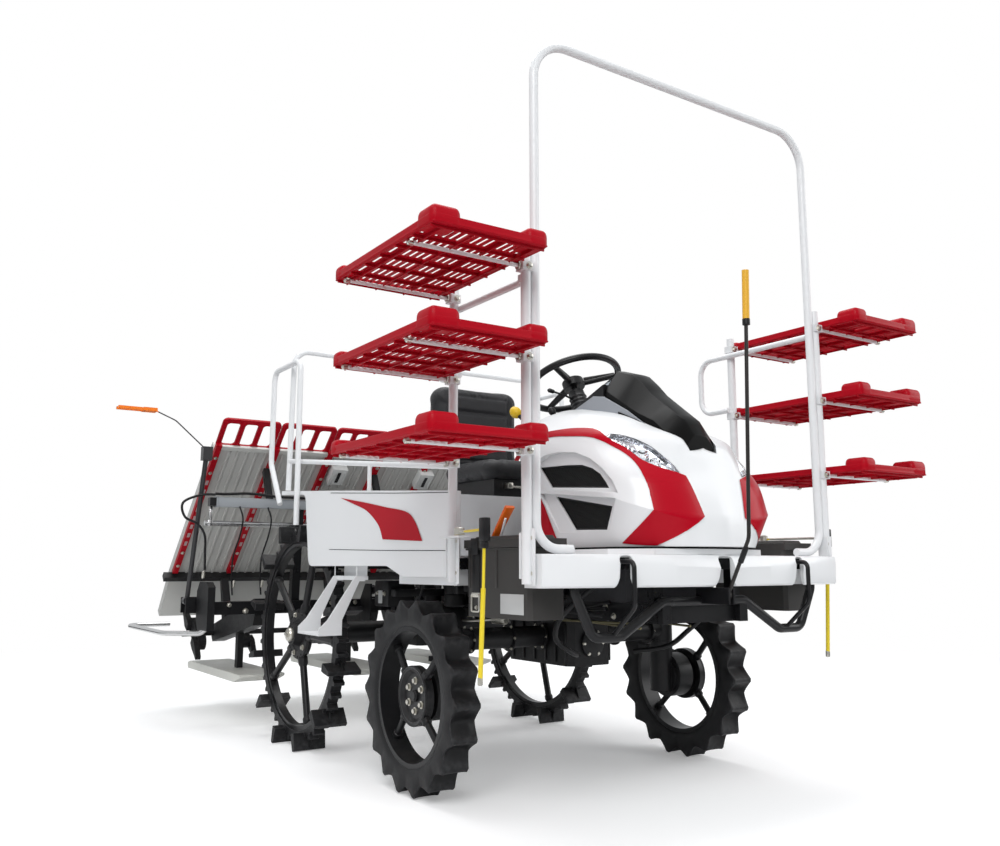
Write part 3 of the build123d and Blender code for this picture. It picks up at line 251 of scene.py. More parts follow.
class Shell:
    """Collects surfaces into the mesh of one piece."""

    def __init__(self) -> None:
        """Starts with no surface."""
        self.points: list[Array] = []
        self.faces: list[tuple[int, ...]] = []
        self.marks: list[int] = []
        self.count = 0

    def grid(self, surface: Array, loop: bool = False, mark: int = 0) -> None:
        """Adds the quads between neighbouring points of a grid.

        Args:
            surface: points (rows, columns, 3).
            loop: whether the last column joins the first.
            mark: index of the material that the quads take.
        """
        rows, columns = surface.shape[:2]
        index = np.arange(rows * columns).reshape(rows, columns) + self.count
        if loop:
            index = np.hstack((index, index[:, :1]))
        quads = np.stack((index[:-1, :-1], index[:-1, 1:], index[1:, 1:], index[1:, :-1]), -1)
        self.points.append(surface.reshape(-1, 3))
        self.faces.extend(map(tuple, quads.reshape(-1, 4).tolist()))
        self.marks.extend([mark] * ((rows - 1) * (index.shape[1] - 1)))
        self.count += rows * columns

    def closed(self, surface: Array, mark: int = 0) -> None:
        """Adds a looped grid and a flat face over each of its two end rings.

        Args:
            surface: points (rings, points of a ring, 3).
            mark: index of the material.
        """
        start = self.count
        self.grid(surface, loop=True, mark=mark)
        columns = surface.shape[1]
        last = self.count - columns
        self.faces.append(tuple(range(start, start + columns)))
        self.faces.append(tuple(range(last, last + columns)))
        self.marks.extend((mark, mark))

    def tube(self, path: Array, radius: float | Array, sides: int = 10, mark: int = 0) -> None:
        """Adds a closed tube: a circle of the radius at each point, carried along the path."""
        size = np.broadcast_to(np.asarray(radius, float), (len(path),))
        self.closed(along(path, circle(sides)[None] * size[:, None, None]), mark)

    def bolts(
        self,
        places: Sequence[Sequence[float]] | Array,
        axis: Sequence[float] | Array,
        across: float,
        height: float,
        mark: int = 0,
    ) -> None:
        """Adds hexagon bolts with a washer each.

        Args:
            places: the middles of the washers' undersides.
            axis: the way the heads stand.
            across: width of the heads over their corners.
            height: height of the heads, washer included.
            mark: index of the material.
        """
        washer = ((across * 0.72, 0), (across * 0.72, height * 0.18), (0.001, height * 0.18))
        head = ((0.5 * across, height * 0.18), (0.5 * across, height * 0.9), (0.4 * across, height))
        for place in np.asarray(places, float).reshape(-1, 3):
            self.closed(turned(washer, place, axis, 14), mark)
            self.closed(turned(head, place, axis, 6), mark)

    def take(self, other: "Shell") -> None:
        """Adds another shell's surfaces.

        Args:
            other: the shell that they are copied from.
        """
        self.points.extend(other.points)
        self.faces.extend(tuple(self.count + i for i in face) for face in other.faces)
        self.marks.extend(other.marks)
        self.count += other.count

    def mirrored(self) -> "Shell":
        """Mirrors the surfaces to the machine's other side.

        Returns:
            A copy with x and the faces' order turned over.
        """
        twin = Shell()
        twin.points = [part * np.array((-1.0, 1.0, 1.0)) for part in self.points]
        twin.faces = [face[::-1] for face in self.faces]
        twin.marks = list(self.marks)
        twin.count = self.count
        return twin

    def paired(self) -> "Shell":
        """Joins the surfaces and their mirror image.

        Returns:
            A new shell with both.
        """
        both = Shell()
        both.take(self)
        both.take(self.mirrored())
        return both

    def mesh(self, name: str, sharp: float = 35.0, outward: bool = True) -> bpy.types.Mesh:
        """Builds the mesh, with doubles merged, faces turned outwards and sharp edges kept.

        Args:
            name: the mesh's name.
            sharp: angle in degrees above which an edge stays sharp.
            outward: whether faces are turned outwards; an open film keeps its own side.

        Returns:
            The new mesh.
        """
        mesh = bpy.data.meshes.new(name)
        mesh.from_pydata(np.vstack(self.points), [], self.faces)
        mesh.polygons.foreach_set("material_index", self.marks)
        work = bmesh.new()
        work.from_mesh(mesh)
        bmesh.ops.remove_doubles(work, verts=work.verts, dist=1e-5)
        bmesh.ops.dissolve_degenerate(work, edges=work.edges, dist=1e-6)
        if outward:
            bmesh.ops.recalc_face_normals(work, faces=work.faces)
        work.to_mesh(mesh)
        work.free()
        mesh.polygons.foreach_set("use_smooth", [True] * len(mesh.polygons))
        mesh.set_sharp_from_angle(angle=math.radians(sharp))
        return mesh


# Node helper and the effects that finishes share


class Graph:
    """Adds nodes to one tree and links them."""

    def __init__(self, tree: bpy.types.NodeTree) -> None:
        """Keeps the tree that nodes are added to."""
        self.tree = tree

    def put(self, socket: bpy.types.NodeSocket, value: object) -> None:
        """Links a socket to an output, or sets its constant."""
        if isinstance(value, bpy.types.NodeSocket):
            self.tree.links.new(value, socket)
        elif isinstance(value, tuple) and socket.type == "RGBA":
            socket.default_value = (*value[:3], 1.0)
        else:
            socket.default_value = value

    def node(
        self, kind: str, settings: dict[str, object] | None = None, **inputs: object
    ) -> bpy.types.Node:
        """Adds a node.

        Args:
            kind: the node's type.
            settings: the node's own properties.
            **inputs: sockets by name, with _ for a space.

        Returns:
            The node.
        """
        made = self.tree.nodes.new(kind)
        for key, value in (settings or {}).items():
            setattr(made, key, value)
        for key, value in inputs.items():
            self.put(made.inputs[key.replace("_", " ")], value)
        return made

    def math(self, operation: str, *values: object, clamp: bool = False) -> bpy.types.NodeSocket:
        """Adds a Math node.

        Args:
            operation: what it does.
            *values: sockets or constants of its inputs.
            clamp: whether the result is held between 0 and 1.

        Returns:
            Its output.
        """
        made = self.tree.nodes.new("ShaderNodeMath")
        made.operation = operation
        made.use_clamp = clamp
        for socket, value in zip(made.inputs, values):
            self.put(socket, value)
        return made.outputs[0]

    def blend(self, share: object, first: object, second: object) -> bpy.types.NodeSocket:
        """Mixes two colours by a share from 0 to 1.

        Args:
            share: share of the second colour.
            first: colour at 0.
            second: colour at 1.

        Returns:
            The mixed colour.
        """
        made = self.tree.nodes.new("ShaderNodeMix")
        made.data_type = "RGBA"
        for index, value in ((0, share), (6, first), (7, second)):
            self.put(made.inputs[index], value)
        return made.outputs[2]

    def parts(self, vector: object) -> tuple[bpy.types.NodeSocket, ...]:
        """Splits a vector into x, y and z."""
        return tuple(self.node("ShaderNodeSeparateXYZ", Vector=vector).outputs)

    def ramp(
        self, value: object, low: float, high: float, bottom: float = 0.0, top: float = 1.0
    ) -> bpy.types.NodeSocket:
        """Maps low to bottom and high to top, smoothly, and holds the ends.

        Args:
            value: what is mapped.
            low: value that gives bottom.
            high: value that gives top.
            bottom: result at low.
            top: result at high.

        Returns:
            The result.
        """
        made = self.node(
            "ShaderNodeMapRange", {"interpolation_type": "SMOOTHSTEP"}, Value=value
        )
        for name, number in (
            ("From Min", low),
            ("From Max", high),
            ("To Min", bottom),
            ("To Max", top),
        ):
            self.put(made.inputs[name], number)
        return made.outputs[0]

    def effect(self, effect: "Effect", **inputs: object) -> bpy.types.Node:
        """Places a shared effect, building its group the first time.

        Args:
            effect: the effect.
            **inputs: its inputs by name, with _ for a space.

        Returns:
            The group's node.
        """
        made = self.tree.nodes.new("ShaderNodeGroup")
        made.node_tree = effect.tree()
        for key, value in inputs.items():
            self.put(made.inputs[key.replace("_", " ")], value)
        return made


class Effect(Enum):
    """Shader groups that more than one finish uses."""

    TONE = "tone_drift"
    GRAIN = "moulded_grain"
    CASTING = "casting_skin"
    HIDE = "hide_grain"
    MESH = "woven_mesh"
    RADIAL = "radial_band"
    DUST = "settled_dust"
    EDGES = "worn_edges"
    BRUSH = "brushed_lines"

    def tree(self) -> bpy.types.NodeTree:
        """Finds the effect's group, and builds it the first time.

        Returns:
            The group.
        """
        found = bpy.data.node_groups.get(self.value)
        if found is None:
            found = bpy.data.node_groups.new(self.value, "ShaderNodeTree")
            EFFECT_MAKERS[self](EffectMaker(found))
        return found


class EffectMaker:
    """Gives a new group its named sockets and its inner nodes."""

    def __init__(self, tree: bpy.types.NodeTree) -> None:
        """Starts a group with no sockets.

        Args:
            tree: the new group.
        """
        self.tree = tree
        self.graph = Graph(tree)
        self.into = tree.nodes.new("NodeGroupInput")
        self.out = tree.nodes.new("NodeGroupOutput")

    def take(self, **sockets: float | Color | str) -> tuple[bpy.types.NodeSocket, ...]:
        """Adds inputs: "vector" makes a vector, three numbers a colour, one a value.

        Args:
            **sockets: the inputs' start values by name, with _ for a space.

        Returns:
            The inputs as sockets inside the group, in order.
        """
        for name, start in sockets.items():
            kind = "NodeSocketFloat"
            if isinstance(start, str):
                kind = "NodeSocketVector"
            elif isinstance(start, tuple):
                kind = "NodeSocketColor"
            made = self.tree.interface.new_socket(
                name.replace("_", " "), in_out="INPUT", socket_type=kind
            )
            if isinstance(start, tuple):
                made.default_value = (*start, 1.0)
            elif not isinstance(start, str):
                made.default_value = start
        return tuple(self.into.outputs[: len(sockets)])

    def give(self, **sockets: bpy.types.NodeSocket) -> None:
        """Adds an output for each socket and links it.

        Args:
            **sockets: sockets inside the group, by the outputs' names.
        """
        kinds = {"RGBA": "NodeSocketColor", "VECTOR": "NodeSocketVector"}
        for name, source in sockets.items():
            self.tree.interface.new_socket(
                name, in_out="OUTPUT", socket_type=kinds.get(source.type, "NodeSocketFloat")
            )
            self.tree.links.new(source, self.out.inputs[name])

    def tone_drift(self) -> None:
        """Lets a colour and its roughness wander a little over the surface, by broad noise."""
        g = self.graph
        place, color, drift, scale, rough, spread = self.take(
            Vector="vector", Color=(0.5, 0.5, 0.5), Drift=0.05, Scale=5.0, Roughness=0.4, Spread=0.05
        )
        broad = g.node("ShaderNodeTexNoise", Vector=place, Scale=scale, Detail=3.0)
        fine = g.node("ShaderNodeTexNoise", Vector=place, Scale=g.math("MULTIPLY", scale, 9.0))
        swing = g.math("SUBTRACT", broad.outputs["Fac"], 0.5)
        value = g.math("MULTIPLY_ADD", swing, g.math("MULTIPLY", drift, 2.0), 1.0)
        shade = g.node("ShaderNodeHueSaturation", Value=value, Color=color)
        small = g.math("SUBTRACT", fine.outputs["Fac"], 0.5)
        both = g.math("ADD", swing, small)
        self.give(
            Color=shade.outputs[0],
            Roughness=g.math("MULTIPLY_ADD", both, spread, rough, clamp=True),
        )

    def moulded_grain(self) -> None:
        """Fine pits and bumps of a moulded or rolled skin: small noise over smaller cells."""
        g = self.graph
        place, scale = self.take(Vector="vector", Scale=600.0)
        noise = g.node("ShaderNodeTexNoise", Vector=place, Scale=scale, Detail=2.0)
        cells = g.node("ShaderNodeTexVoronoi", Vector=place, Scale=g.math("MULTIPLY", scale, 0.6))
        height = g.math("MULTIPLY_ADD", cells.outputs["Distance"], 0.6, noise.outputs["Fac"])
        self.give(Height=height, Mask=g.ramp(noise.outputs["Fac"], 0.42, 0.6))

    def casting_skin(self) -> None:
        """Sand-cast skin under paint: broad lumps with a rough finer noise on them."""
        g = self.graph
        place, scale = self.take(Vector="vector", Scale=60.0)
        lumps = g.node("ShaderNodeTexNoise", Vector=place, Scale=scale, Detail=5.0, Roughness=0.7)
        pits = g.node("ShaderNodeTexVoronoi", Vector=place, Scale=g.math("MULTIPLY", scale, 5.0))
        height = g.math("MULTIPLY_ADD", pits.outputs["Distance"], 0.25, lumps.outputs["Fac"])
        self.give(Height=height, Mask=g.ramp(lumps.outputs["Fac"], 0.5, 0.68))

    def hide_grain(self) -> None:
        """Leather-cloth grain: cells with soft creases between them, bent by a slower noise."""
        g = self.graph
        place, scale = self.take(Vector="vector", Scale=420.0)
        bend = g.node("ShaderNodeTexNoise", Vector=place, Scale=g.math("MULTIPLY", scale, 0.2))
        pushed = g.node(
            "ShaderNodeVectorMath", {"operation": "MULTIPLY_ADD"}
        )
        g.put(pushed.inputs[0], bend.outputs["Color"])
        g.put(pushed.inputs[1], (0.004, 0.004, 0.004))
        g.put(pushed.inputs[2], place)
        cells = g.node(
            "ShaderNodeTexVoronoi",
            {"feature": "DISTANCE_TO_EDGE"},
            Vector=pushed.outputs[0],
            Scale=scale,
        )
        crease = g.ramp(cells.outputs["Distance"], 0.0, 0.16)
        self.give(Height=crease, Mask=g.math("SUBTRACT", 1.0, crease))

    def woven_mesh(self) -> None:
        """Square wire mesh: two rows of ridges, each a sine of one coordinate, the higher shown."""
        g = self.graph
        place, pitch = self.take(Vector="vector", Pitch=0.003)
        _, y, z = g.parts(place)
        turn = g.math("DIVIDE", 2 * math.pi, pitch)
        across = g.math("SINE", g.math("MULTIPLY", g.math("ADD", y, z), turn))
        down = g.math("SINE", g.math("MULTIPLY", g.math("SUBTRACT", z, y), turn))
        height = g.math("MAXIMUM", across, down)
        self.give(Height=height, Mask=g.ramp(height, 0.1, 0.7))

    def radial_band(self) -> None:
        """Mask that rises from an inner to an outer distance from an axis along x."""
        g = self.graph
        place, y0, z0, inner, outer = self.take(
            Vector="vector", Axis_y=0.0, Axis_z=0.3, Inner=0.2, Outer=0.3
        )
        _, y, z = g.parts(place)
        dy = g.math("SUBTRACT", y, y0)
        dz = g.math("SUBTRACT", z, z0)
        square = g.math("ADD", g.math("MULTIPLY", dy, dy), g.math("MULTIPLY", dz, dz))
        self.give(Mask=g.ramp(g.math("SQRT", square), inner, outer))

    def settled_dust(self) -> None:
        """Dust on faces that look up, patchy by noise."""
        g = self.graph
        place, amount = self.take(Vector="vector", Amount=0.2)
        normal = g.node("ShaderNodeNewGeometry").outputs["Normal"]
        _, _, up = g.parts(normal)
        noise = g.node("ShaderNodeTexNoise", Vector=place, Scale=14.0, Detail=6.0, Roughness=0.7)
        patch = g.ramp(noise.outputs["Fac"], 0.35, 0.7)
        mask = g.math("MULTIPLY", g.ramp(up, 0.15, 0.95), g.math("MULTIPLY", patch, amount))
        self.give(Mask=mask)

    def worn_edges(self) -> None:
        """Normal softened over edges by a radius, and a mask where it leaves the true one."""
        g = self.graph
        (radius,) = self.take(Radius=0.003)
        soft = g.node("ShaderNodeBevel", {"samples": 4}, Radius=radius)
        true = g.node("ShaderNodeNewGeometry").outputs["Normal"]
        likeness = g.node("ShaderNodeVectorMath", {"operation": "DOT_PRODUCT"})
        g.put(likeness.inputs[0], soft.outputs[0])
        g.put(likeness.inputs[1], true)
        self.give(
            Normal=soft.outputs[0],
            Mask=g.ramp(likeness.outputs["Value"], 0.97, 0.86),
        )

    def brushed_lines(self) -> None:
        """Drawn-metal lines: noise stretched a hundredfold along x."""
        g = self.graph
        place, scale = self.take(Vector="vector", Scale=900.0)
        long = g.node("ShaderNodeMapping", Vector=place)
        g.put(long.inputs["Scale"], (0.01, 1.0, 1.0))
        noise = g.node("ShaderNodeTexNoise", Vector=long.outputs[0], Scale=scale, Detail=2.0)
        self.give(Height=noise.outputs["Fac"], Mask=g.ramp(noise.outputs["Fac"], 0.4, 0.6))


EFFECT_MAKERS = {
    Effect.TONE: EffectMaker.tone_drift,
    Effect.GRAIN: EffectMaker.moulded_grain,
    Effect.CASTING: EffectMaker.casting_skin,
    Effect.HIDE: EffectMaker.hide_grain,
    Effect.MESH: EffectMaker.woven_mesh,
    Effect.RADIAL: EffectMaker.radial_band,
    Effect.DUST: EffectMaker.settled_dust,
    Effect.EDGES: EffectMaker.worn_edges,
    Effect.BRUSH: EffectMaker.brushed_lines,
}


# Finishes


DUST_COLOR = (0.45, 0.41, 0.35)


@dataclass
class Look:
    """The varying sockets of one material while it is being made.

    Attributes:
        graph: adds the material's nodes.
        place: position on the object, in metres.
        color: base colour.
        roughness: roughness.
        height: relief of the surface.
    """

    graph: Graph
    place: bpy.types.NodeSocket
    color: object
    roughness: object
    height: object | None = None


@dataclass(frozen=True)
class Finish:
    """A painted or moulded surface.

    Attributes:
        name: the material's name.
        color: linear base colour.
        roughness: mean roughness.
        metallic: 1 for bare metal.
        coat: weight of a clear coat.
        shine: level of the mirror reflection under the coat.
        drift: how far the colour wanders.
        spread: how far the roughness wanders.
        scale: size of that wandering, in cycles per metre.
        relief: the effect that gives the small relief.
        relief_scale: cycles per metre of the relief.
        depth: height of the relief in metres.
        edge: radius that edges are softened to; 0 leaves them.
        wear: colour of rubbed edges.
        rub: how much of an edge is rubbed.
        dust: amount of dust on faces that look up.
    """

    name: str
    color: Color
    roughness: float = 0.4
    metallic: float = 0.0
    coat: float = 0.0
    shine: float = 0.4
    drift: float = 0.04
    spread: float = 0.08
    scale: float = 5.0
    relief: Effect = Effect.GRAIN
    relief_scale: float = 500.0
    depth: float = 0.00004
    edge: float = 0.0
    wear: Color = (0.5, 0.5, 0.5)
    rub: float = 0.0
    dust: float = 0.0

    def paint(self, look: Look) -> None:
        """Adds this finish's own pattern to the look; a plain finish has none."""

    def soften(self, look: Look) -> bpy.types.NodeSocket | None:
        """Rounds the edges in the shading, and mixes in the colour of rubbed edges.

        Args:
            look: the look that takes the colour.

        Returns:
            The softened normal, or None where the finish leaves its edges.
        """
        if not self.edge:
            return None
        edges = look.graph.effect(Effect.EDGES, Radius=self.edge)
        if self.rub:
            share = look.graph.math("MULTIPLY", edges.outputs["Mask"], self.rub)
            look.color = look.graph.blend(share, look.color, self.wear)
        return edges.outputs["Normal"]

    def material(self) -> bpy.types.Material:
        """Finds the finish's material, and builds it the first time.

        Returns:
            The material.
        """
        found = bpy.data.materials.get(self.name)
        if found is not None:
            return found
        made = bpy.data.materials.new(self.name)
        made.use_nodes = True
        made.diffuse_color = (*self.color, 1.0)
        tree = made.node_tree
        tree.nodes.clear()
        graph = Graph(tree)
        place = graph.node("ShaderNodeTexCoord").outputs["Object"]
        tone = graph.effect(
            Effect.TONE,
            Vector=place,
            Color=self.color,
            Drift=self.drift,
            Scale=self.scale,
            Roughness=self.roughness,
            Spread=self.spread,
        )
        relief = graph.effect(self.relief, Vector=place)
        key = "Pitch" if self.relief is Effect.MESH else "Scale"
        graph.put(relief.inputs[key], self.relief_scale)
        look = Look(graph, place, tone.outputs["Color"], tone.outputs["Roughness"])
        look.height = relief.outputs["Height"]
        self.paint(look)
        if self.dust:
            mask = graph.effect(Effect.DUST, Vector=place, Amount=self.dust).outputs["Mask"]
            look.color = graph.blend(mask, look.color, DUST_COLOR)
            look.roughness = graph.math("ADD", look.roughness, mask, clamp=True)
        normal = self.soften(look)
        bump = graph.node("ShaderNodeBump", Strength=1.0, Distance=self.depth, Height=look.height)
        if normal is not None:
            graph.put(bump.inputs["Normal"], normal)
        shader = graph.node(
            "ShaderNodeBsdfPrincipled",
            Base_Color=look.color,
            Roughness=look.roughness,
            Metallic=self.metallic,
            Coat_Weight=self.coat,
            Coat_Roughness=0.06,
            Specular_IOR_Level=self.shine,
            Normal=bump.outputs[0],
        )
        self.shade(look, shader)
        out = graph.node("ShaderNodeOutputMaterial")
        tree.links.new(shader.outputs[0], out.inputs["Surface"])
        return made

    def shade(self, look: Look, shader: bpy.types.Node) -> None:
        """Sets this finish's own constants on the shader; a plain finish has none."""


@dataclass(frozen=True)
class TipFinish(Finish):
    """A finish whose far end along one axis has a second colour.

    Attributes:
        axis: 0, 1 or 2 for x, y or z; x is taken on both sides alike.
        start: where the second colour begins, in metres.
        upward: whether the second colour lies above start.
        tip: the second colour.
    """

    axis: int = 2
    start: float = 1.0
    upward: bool = True
    tip: Color = (0.8, 0.5, 0.05)

    def paint(self, look: Look) -> None:
        """Mixes in the second colour past the start.

        Args:
            look: the look that takes it.
        """
        g = look.graph
        value = look.graph.parts(look.place)[self.axis]
        if self.axis == 0:
            value = g.math("ABSOLUTE", value)
        mask = g.ramp(value, self.start - 0.0004, self.start + 0.0004)
        if not self.upward:
            mask = g.math("SUBTRACT", 1.0, mask)
        look.color = g.blend(mask, look.color, self.tip)


@dataclass(frozen=True)
class RubberFinish(Finish):
    """Tyre rubber whose lugs pale towards their tips.

    Attributes:
        axis_y: y of the wheel's axis.
        axis_z: z of the wheel's axis.
        inner: radius where the paling starts.
        outer: radius where it is full.
        pale: colour at the tips.
    """

    axis_y: float = 0.0
    axis_z: float = 0.3
    inner: float = 0.27
    outer: float = 0.32
    pale: Color = (0.030, 0.030, 0.032)

    def paint(self, look: Look) -> None:
        """Mixes the tips' colour in by distance from the axis, broken up by noise.

        Args:
            look: the look that takes it.
        """
        g = look.graph
        band = g.effect(
            Effect.RADIAL,
            Vector=look.place,
            Axis_y=self.axis_y,
            Axis_z=self.axis_z,
            Inner=self.inner,
            Outer=self.outer,
        )
        noise = g.node("ShaderNodeTexNoise", Vector=look.place, Scale=55.0, Detail=4.0)
        share = g.math("MULTIPLY", band.outputs["Mask"], g.ramp(noise.outputs["Fac"], 0.3, 0.75))
        look.color = g.blend(share, look.color, self.pale)


@dataclass(frozen=True)
class GlassFinish(Finish):
    """Clear or tinted plastic that light passes through.

    Attributes:
        ior: index of refraction.
    """

    ior: float = 1.35

    def shade(self, look: Look, shader: bpy.types.Node) -> None:
        """Lets light through."""
        shader.inputs["Transmission Weight"].default_value = 1.0
        shader.inputs["IOR"].default_value = self.ior


WHITE_PAINT = Finish(
    "white_paint", (0.80, 0.81, 0.82), 0.3, coat=0.25, drift=0.01, spread=0.012, edge=0.005,
    depth=0.000008,
)
WHITE_TUBE = Finish(
    "white_tube_paint", (0.78, 0.79, 0.80), 0.32, coat=0.15, drift=0.015, spread=0.03,
    depth=0.00002, edge=0.002,
)
WHITE_STEP = Finish(
    "white_step_paint", (0.76, 0.77, 0.78), 0.34, coat=0.1, drift=0.02, spread=0.03, edge=0.002
)
TRAY_RED = Finish(
    "tray_red_plastic", (0.42, 0.001, 0.010), 0.42, coat=0.03, shine=0.12, drift=0.08, edge=0.003,
    wear=(0.50, 0.01, 0.03), rub=0.2,
)
FRAME_RED = Finish(
    "frame_red_plastic", (0.36, 0.001, 0.009), 0.42, shine=0.12, drift=0.06, edge=0.0025
)
STRIPE_RED = Finish(
    "stripe_red_film", (0.43, 0.001, 0.012), 0.32, coat=0.05, shine=0.12, drift=0.03, spread=0.02,
    depth=0.000004,
)
RIM_BLACK = Finish(
    "rim_black_paint", (0.010, 0.010, 0.011), 0.3, shine=0.3, drift=0.15, dust=0.03, edge=0.002
)
CASTING = Finish(
    "black_painted_casting", (0.010, 0.010, 0.011), 0.42, shine=0.3, relief=Effect.CASTING,
    relief_scale=120.0, depth=0.0004, drift=0.2, spread=0.2, edge=0.003, dust=0.03,
)
CHASSIS = Finish(
    "black_chassis_paint", (0.008, 0.008, 0.009), 0.32, shine=0.3, drift=0.2, spread=0.2,
    edge=0.002, dust=0.03,
)
ENGINE = Finish(
    "engine_casting", (0.030, 0.030, 0.033), 0.5, shine=0.3, relief=Effect.CASTING,
    relief_scale=90.0, depth=0.0006, drift=0.3, spread=0.2,
)
BOX_PLASTIC = Finish(
    "grey_black_plastic", (0.042, 0.040, 0.038), 0.5, shine=0.3, drift=0.1, relief_scale=900.0,
    depth=0.0001, edge=0.003, wear=(0.10, 0.10, 0.10), rub=0.4, dust=0.03,
)
COVER_PLASTIC = Finish(
    "black_cover_plastic", (0.007, 0.007, 0.008), 0.4, shine=0.3, drift=0.15,
    relief_scale=900.0, depth=0.00008, edge=0.003, dust=0.02,
)
VISOR = Finish(
    "gloss_black_plastic", (0.002, 0.002, 0.002), 0.3, coat=0.03, shine=0.1, spread=0.02,
    edge=0.004, depth=0.000003,
)
VINYL = Finish(
    "black_seat_vinyl", (0.010, 0.010, 0.012), 0.42, shine=0.35, relief=Effect.HIDE,
    relief_scale=380.0, depth=0.0003, drift=0.12, spread=0.15,
)
WHEEL_GRIP = Finish(
    "black_grip", (0.007, 0.007, 0.008), 0.36, shine=0.35, relief_scale=1200.0, depth=0.00006,
    drift=0.1,
)
LENS = GlassFinish("clear_lens", (0.98, 0.99, 1.0), 0.02, depth=0.000002, ior=1.12)
SMOKED = GlassFinish("clear_dash_cover", (0.80, 0.82, 0.84), 0.06, depth=0.000004, ior=1.3)
REFLECTOR = Finish("lamp_reflector", (0.90, 0.91, 0.93), 0.1, metallic=1.0, depth=0.00001)
GRILLE = Finish(
    "black_wire_grille", (0.010, 0.011, 0.011), 0.45, shine=0.3, relief=Effect.MESH,
    relief_scale=0.006, depth=0.0006, drift=0.1,
)
BRIGHT = Finish(
    "bright_steel", (0.62, 0.62, 0.62), 0.24, metallic=1.0, relief=Effect.BRUSH, depth=0.00002,
    drift=0.05,
)
ZINC = Finish(
    "zinc_plated", (0.62, 0.60, 0.54), 0.3, metallic=1.0, drift=0.15, spread=0.2, depth=0.00003
)
PASSIVATED = Finish(
    "dull_yellow_zinc", (0.30, 0.27, 0.16), 0.4, metallic=1.0, drift=0.2, spread=0.2
)
CHROME = Finish("polished_rod", (0.75, 0.75, 0.76), 0.1, metallic=1.0, depth=0.000005)
ALUMINIUM = Finish(
    "table_sheet", (0.52, 0.52, 0.50), 0.45, metallic=0.1, relief=Effect.BRUSH, drift=0.06,
    depth=0.00004, edge=0.002,
)
FLOAT_PLASTIC = Finish("float_plastic", (0.66, 0.66, 0.61), 0.4, drift=0.05, dust=0.1, edge=0.004)
YELLOW = Finish("yellow_plastic", (0.80, 0.52, 0.02), 0.34, drift=0.05, edge=0.002)
ORANGE = Finish("orange_plastic", (0.90, 0.16, 0.01), 0.36, drift=0.06, edge=0.002)
HOSE = Finish("hose_rubber", (0.007, 0.007, 0.008), 0.45, shine=0.3, drift=0.2, depth=0.00006)
PLATE = Finish("plain_plate", (0.50, 0.51, 0.51), 0.35, drift=0.04)
MOTOR_WHITE = Finish("motor_case", (0.62, 0.63, 0.62), 0.4, drift=0.05, edge=0.002)
STRAP = Finish("strap_rubber", (0.006, 0.006, 0.007), 0.5, shine=0.3, drift=0.15)
MAT = Finish("floor_mat_rubber", (0.012, 0.012, 0.013), 0.6, shine=0.3, drift=0.2, depth=0.0001)
# Pale films in the rail slots: painted light, standing for the bright background seen through the
# slots.
RAIL_SLOT_PAINTED_LIGHT = Finish("rail_slot_pale", (0.40, 0.30, 0.30), 0.4, drift=0.1)
RAIL_GREY = Finish("light_grey_rail", (0.30, 0.32, 0.34), 0.36, drift=0.06, edge=0.002)
SHADOW_GAP = Finish("panel_gap", (0.006, 0.006, 0.007), 0.8, shine=0.2, drift=0.1)
LAMP_BOWL = Finish("lamp_bowl", (0.66, 0.67, 0.70), 0.16, metallic=0.85, drift=0.05, depth=0.00001)
BULB = Finish("lamp_bulb", (0.85, 0.88, 0.92), 0.08, coat=0.6, drift=0.02, depth=0.00001)
SCREEN_GREY = Finish("silver_fin", (0.30, 0.32, 0.35), 0.24, coat=0.3, drift=0.03, edge=0.001)
SCREEN_BLUE = GlassFinish("tinted_screen", (0.50, 0.55, 0.60), 0.06, depth=0.000004, ior=1.3)


def piece(
    name: str,
    form: Shell | bpy.types.Mesh,
    finishes: Finish | Sequence[Finish],
    body: str,
    sharp: float = 35.0,
    outward: bool = True,
) -> bpy.types.Object:
    """Makes a piece of the object from collected surfaces or a mesh.

    Args:
        name: the piece's name.
        form: its surfaces, or its ready mesh.
        finishes: its finishes, in the order of the shell's marks.
        body: the CAD body that it rides on.
        sharp: angle in degrees above which an edge stays sharp.
        outward: whether the surfaces' faces are turned outwards.

    Returns:
        The new object, in the scene and riding.
    """
    mesh = form.mesh(name, sharp, outward) if isinstance(form, Shell) else form
    made = bpy.data.objects.new(name, mesh)
    bpy.context.scene.collection.objects.link(made)
    for finish in (finishes,) if isinstance(finishes, Finish) else finishes:
        made.data.materials.append(finish.material())
    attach(made, body)
    LOG.info("%s: %d faces on %s", name, len(made.data.polygons), body)
    return made


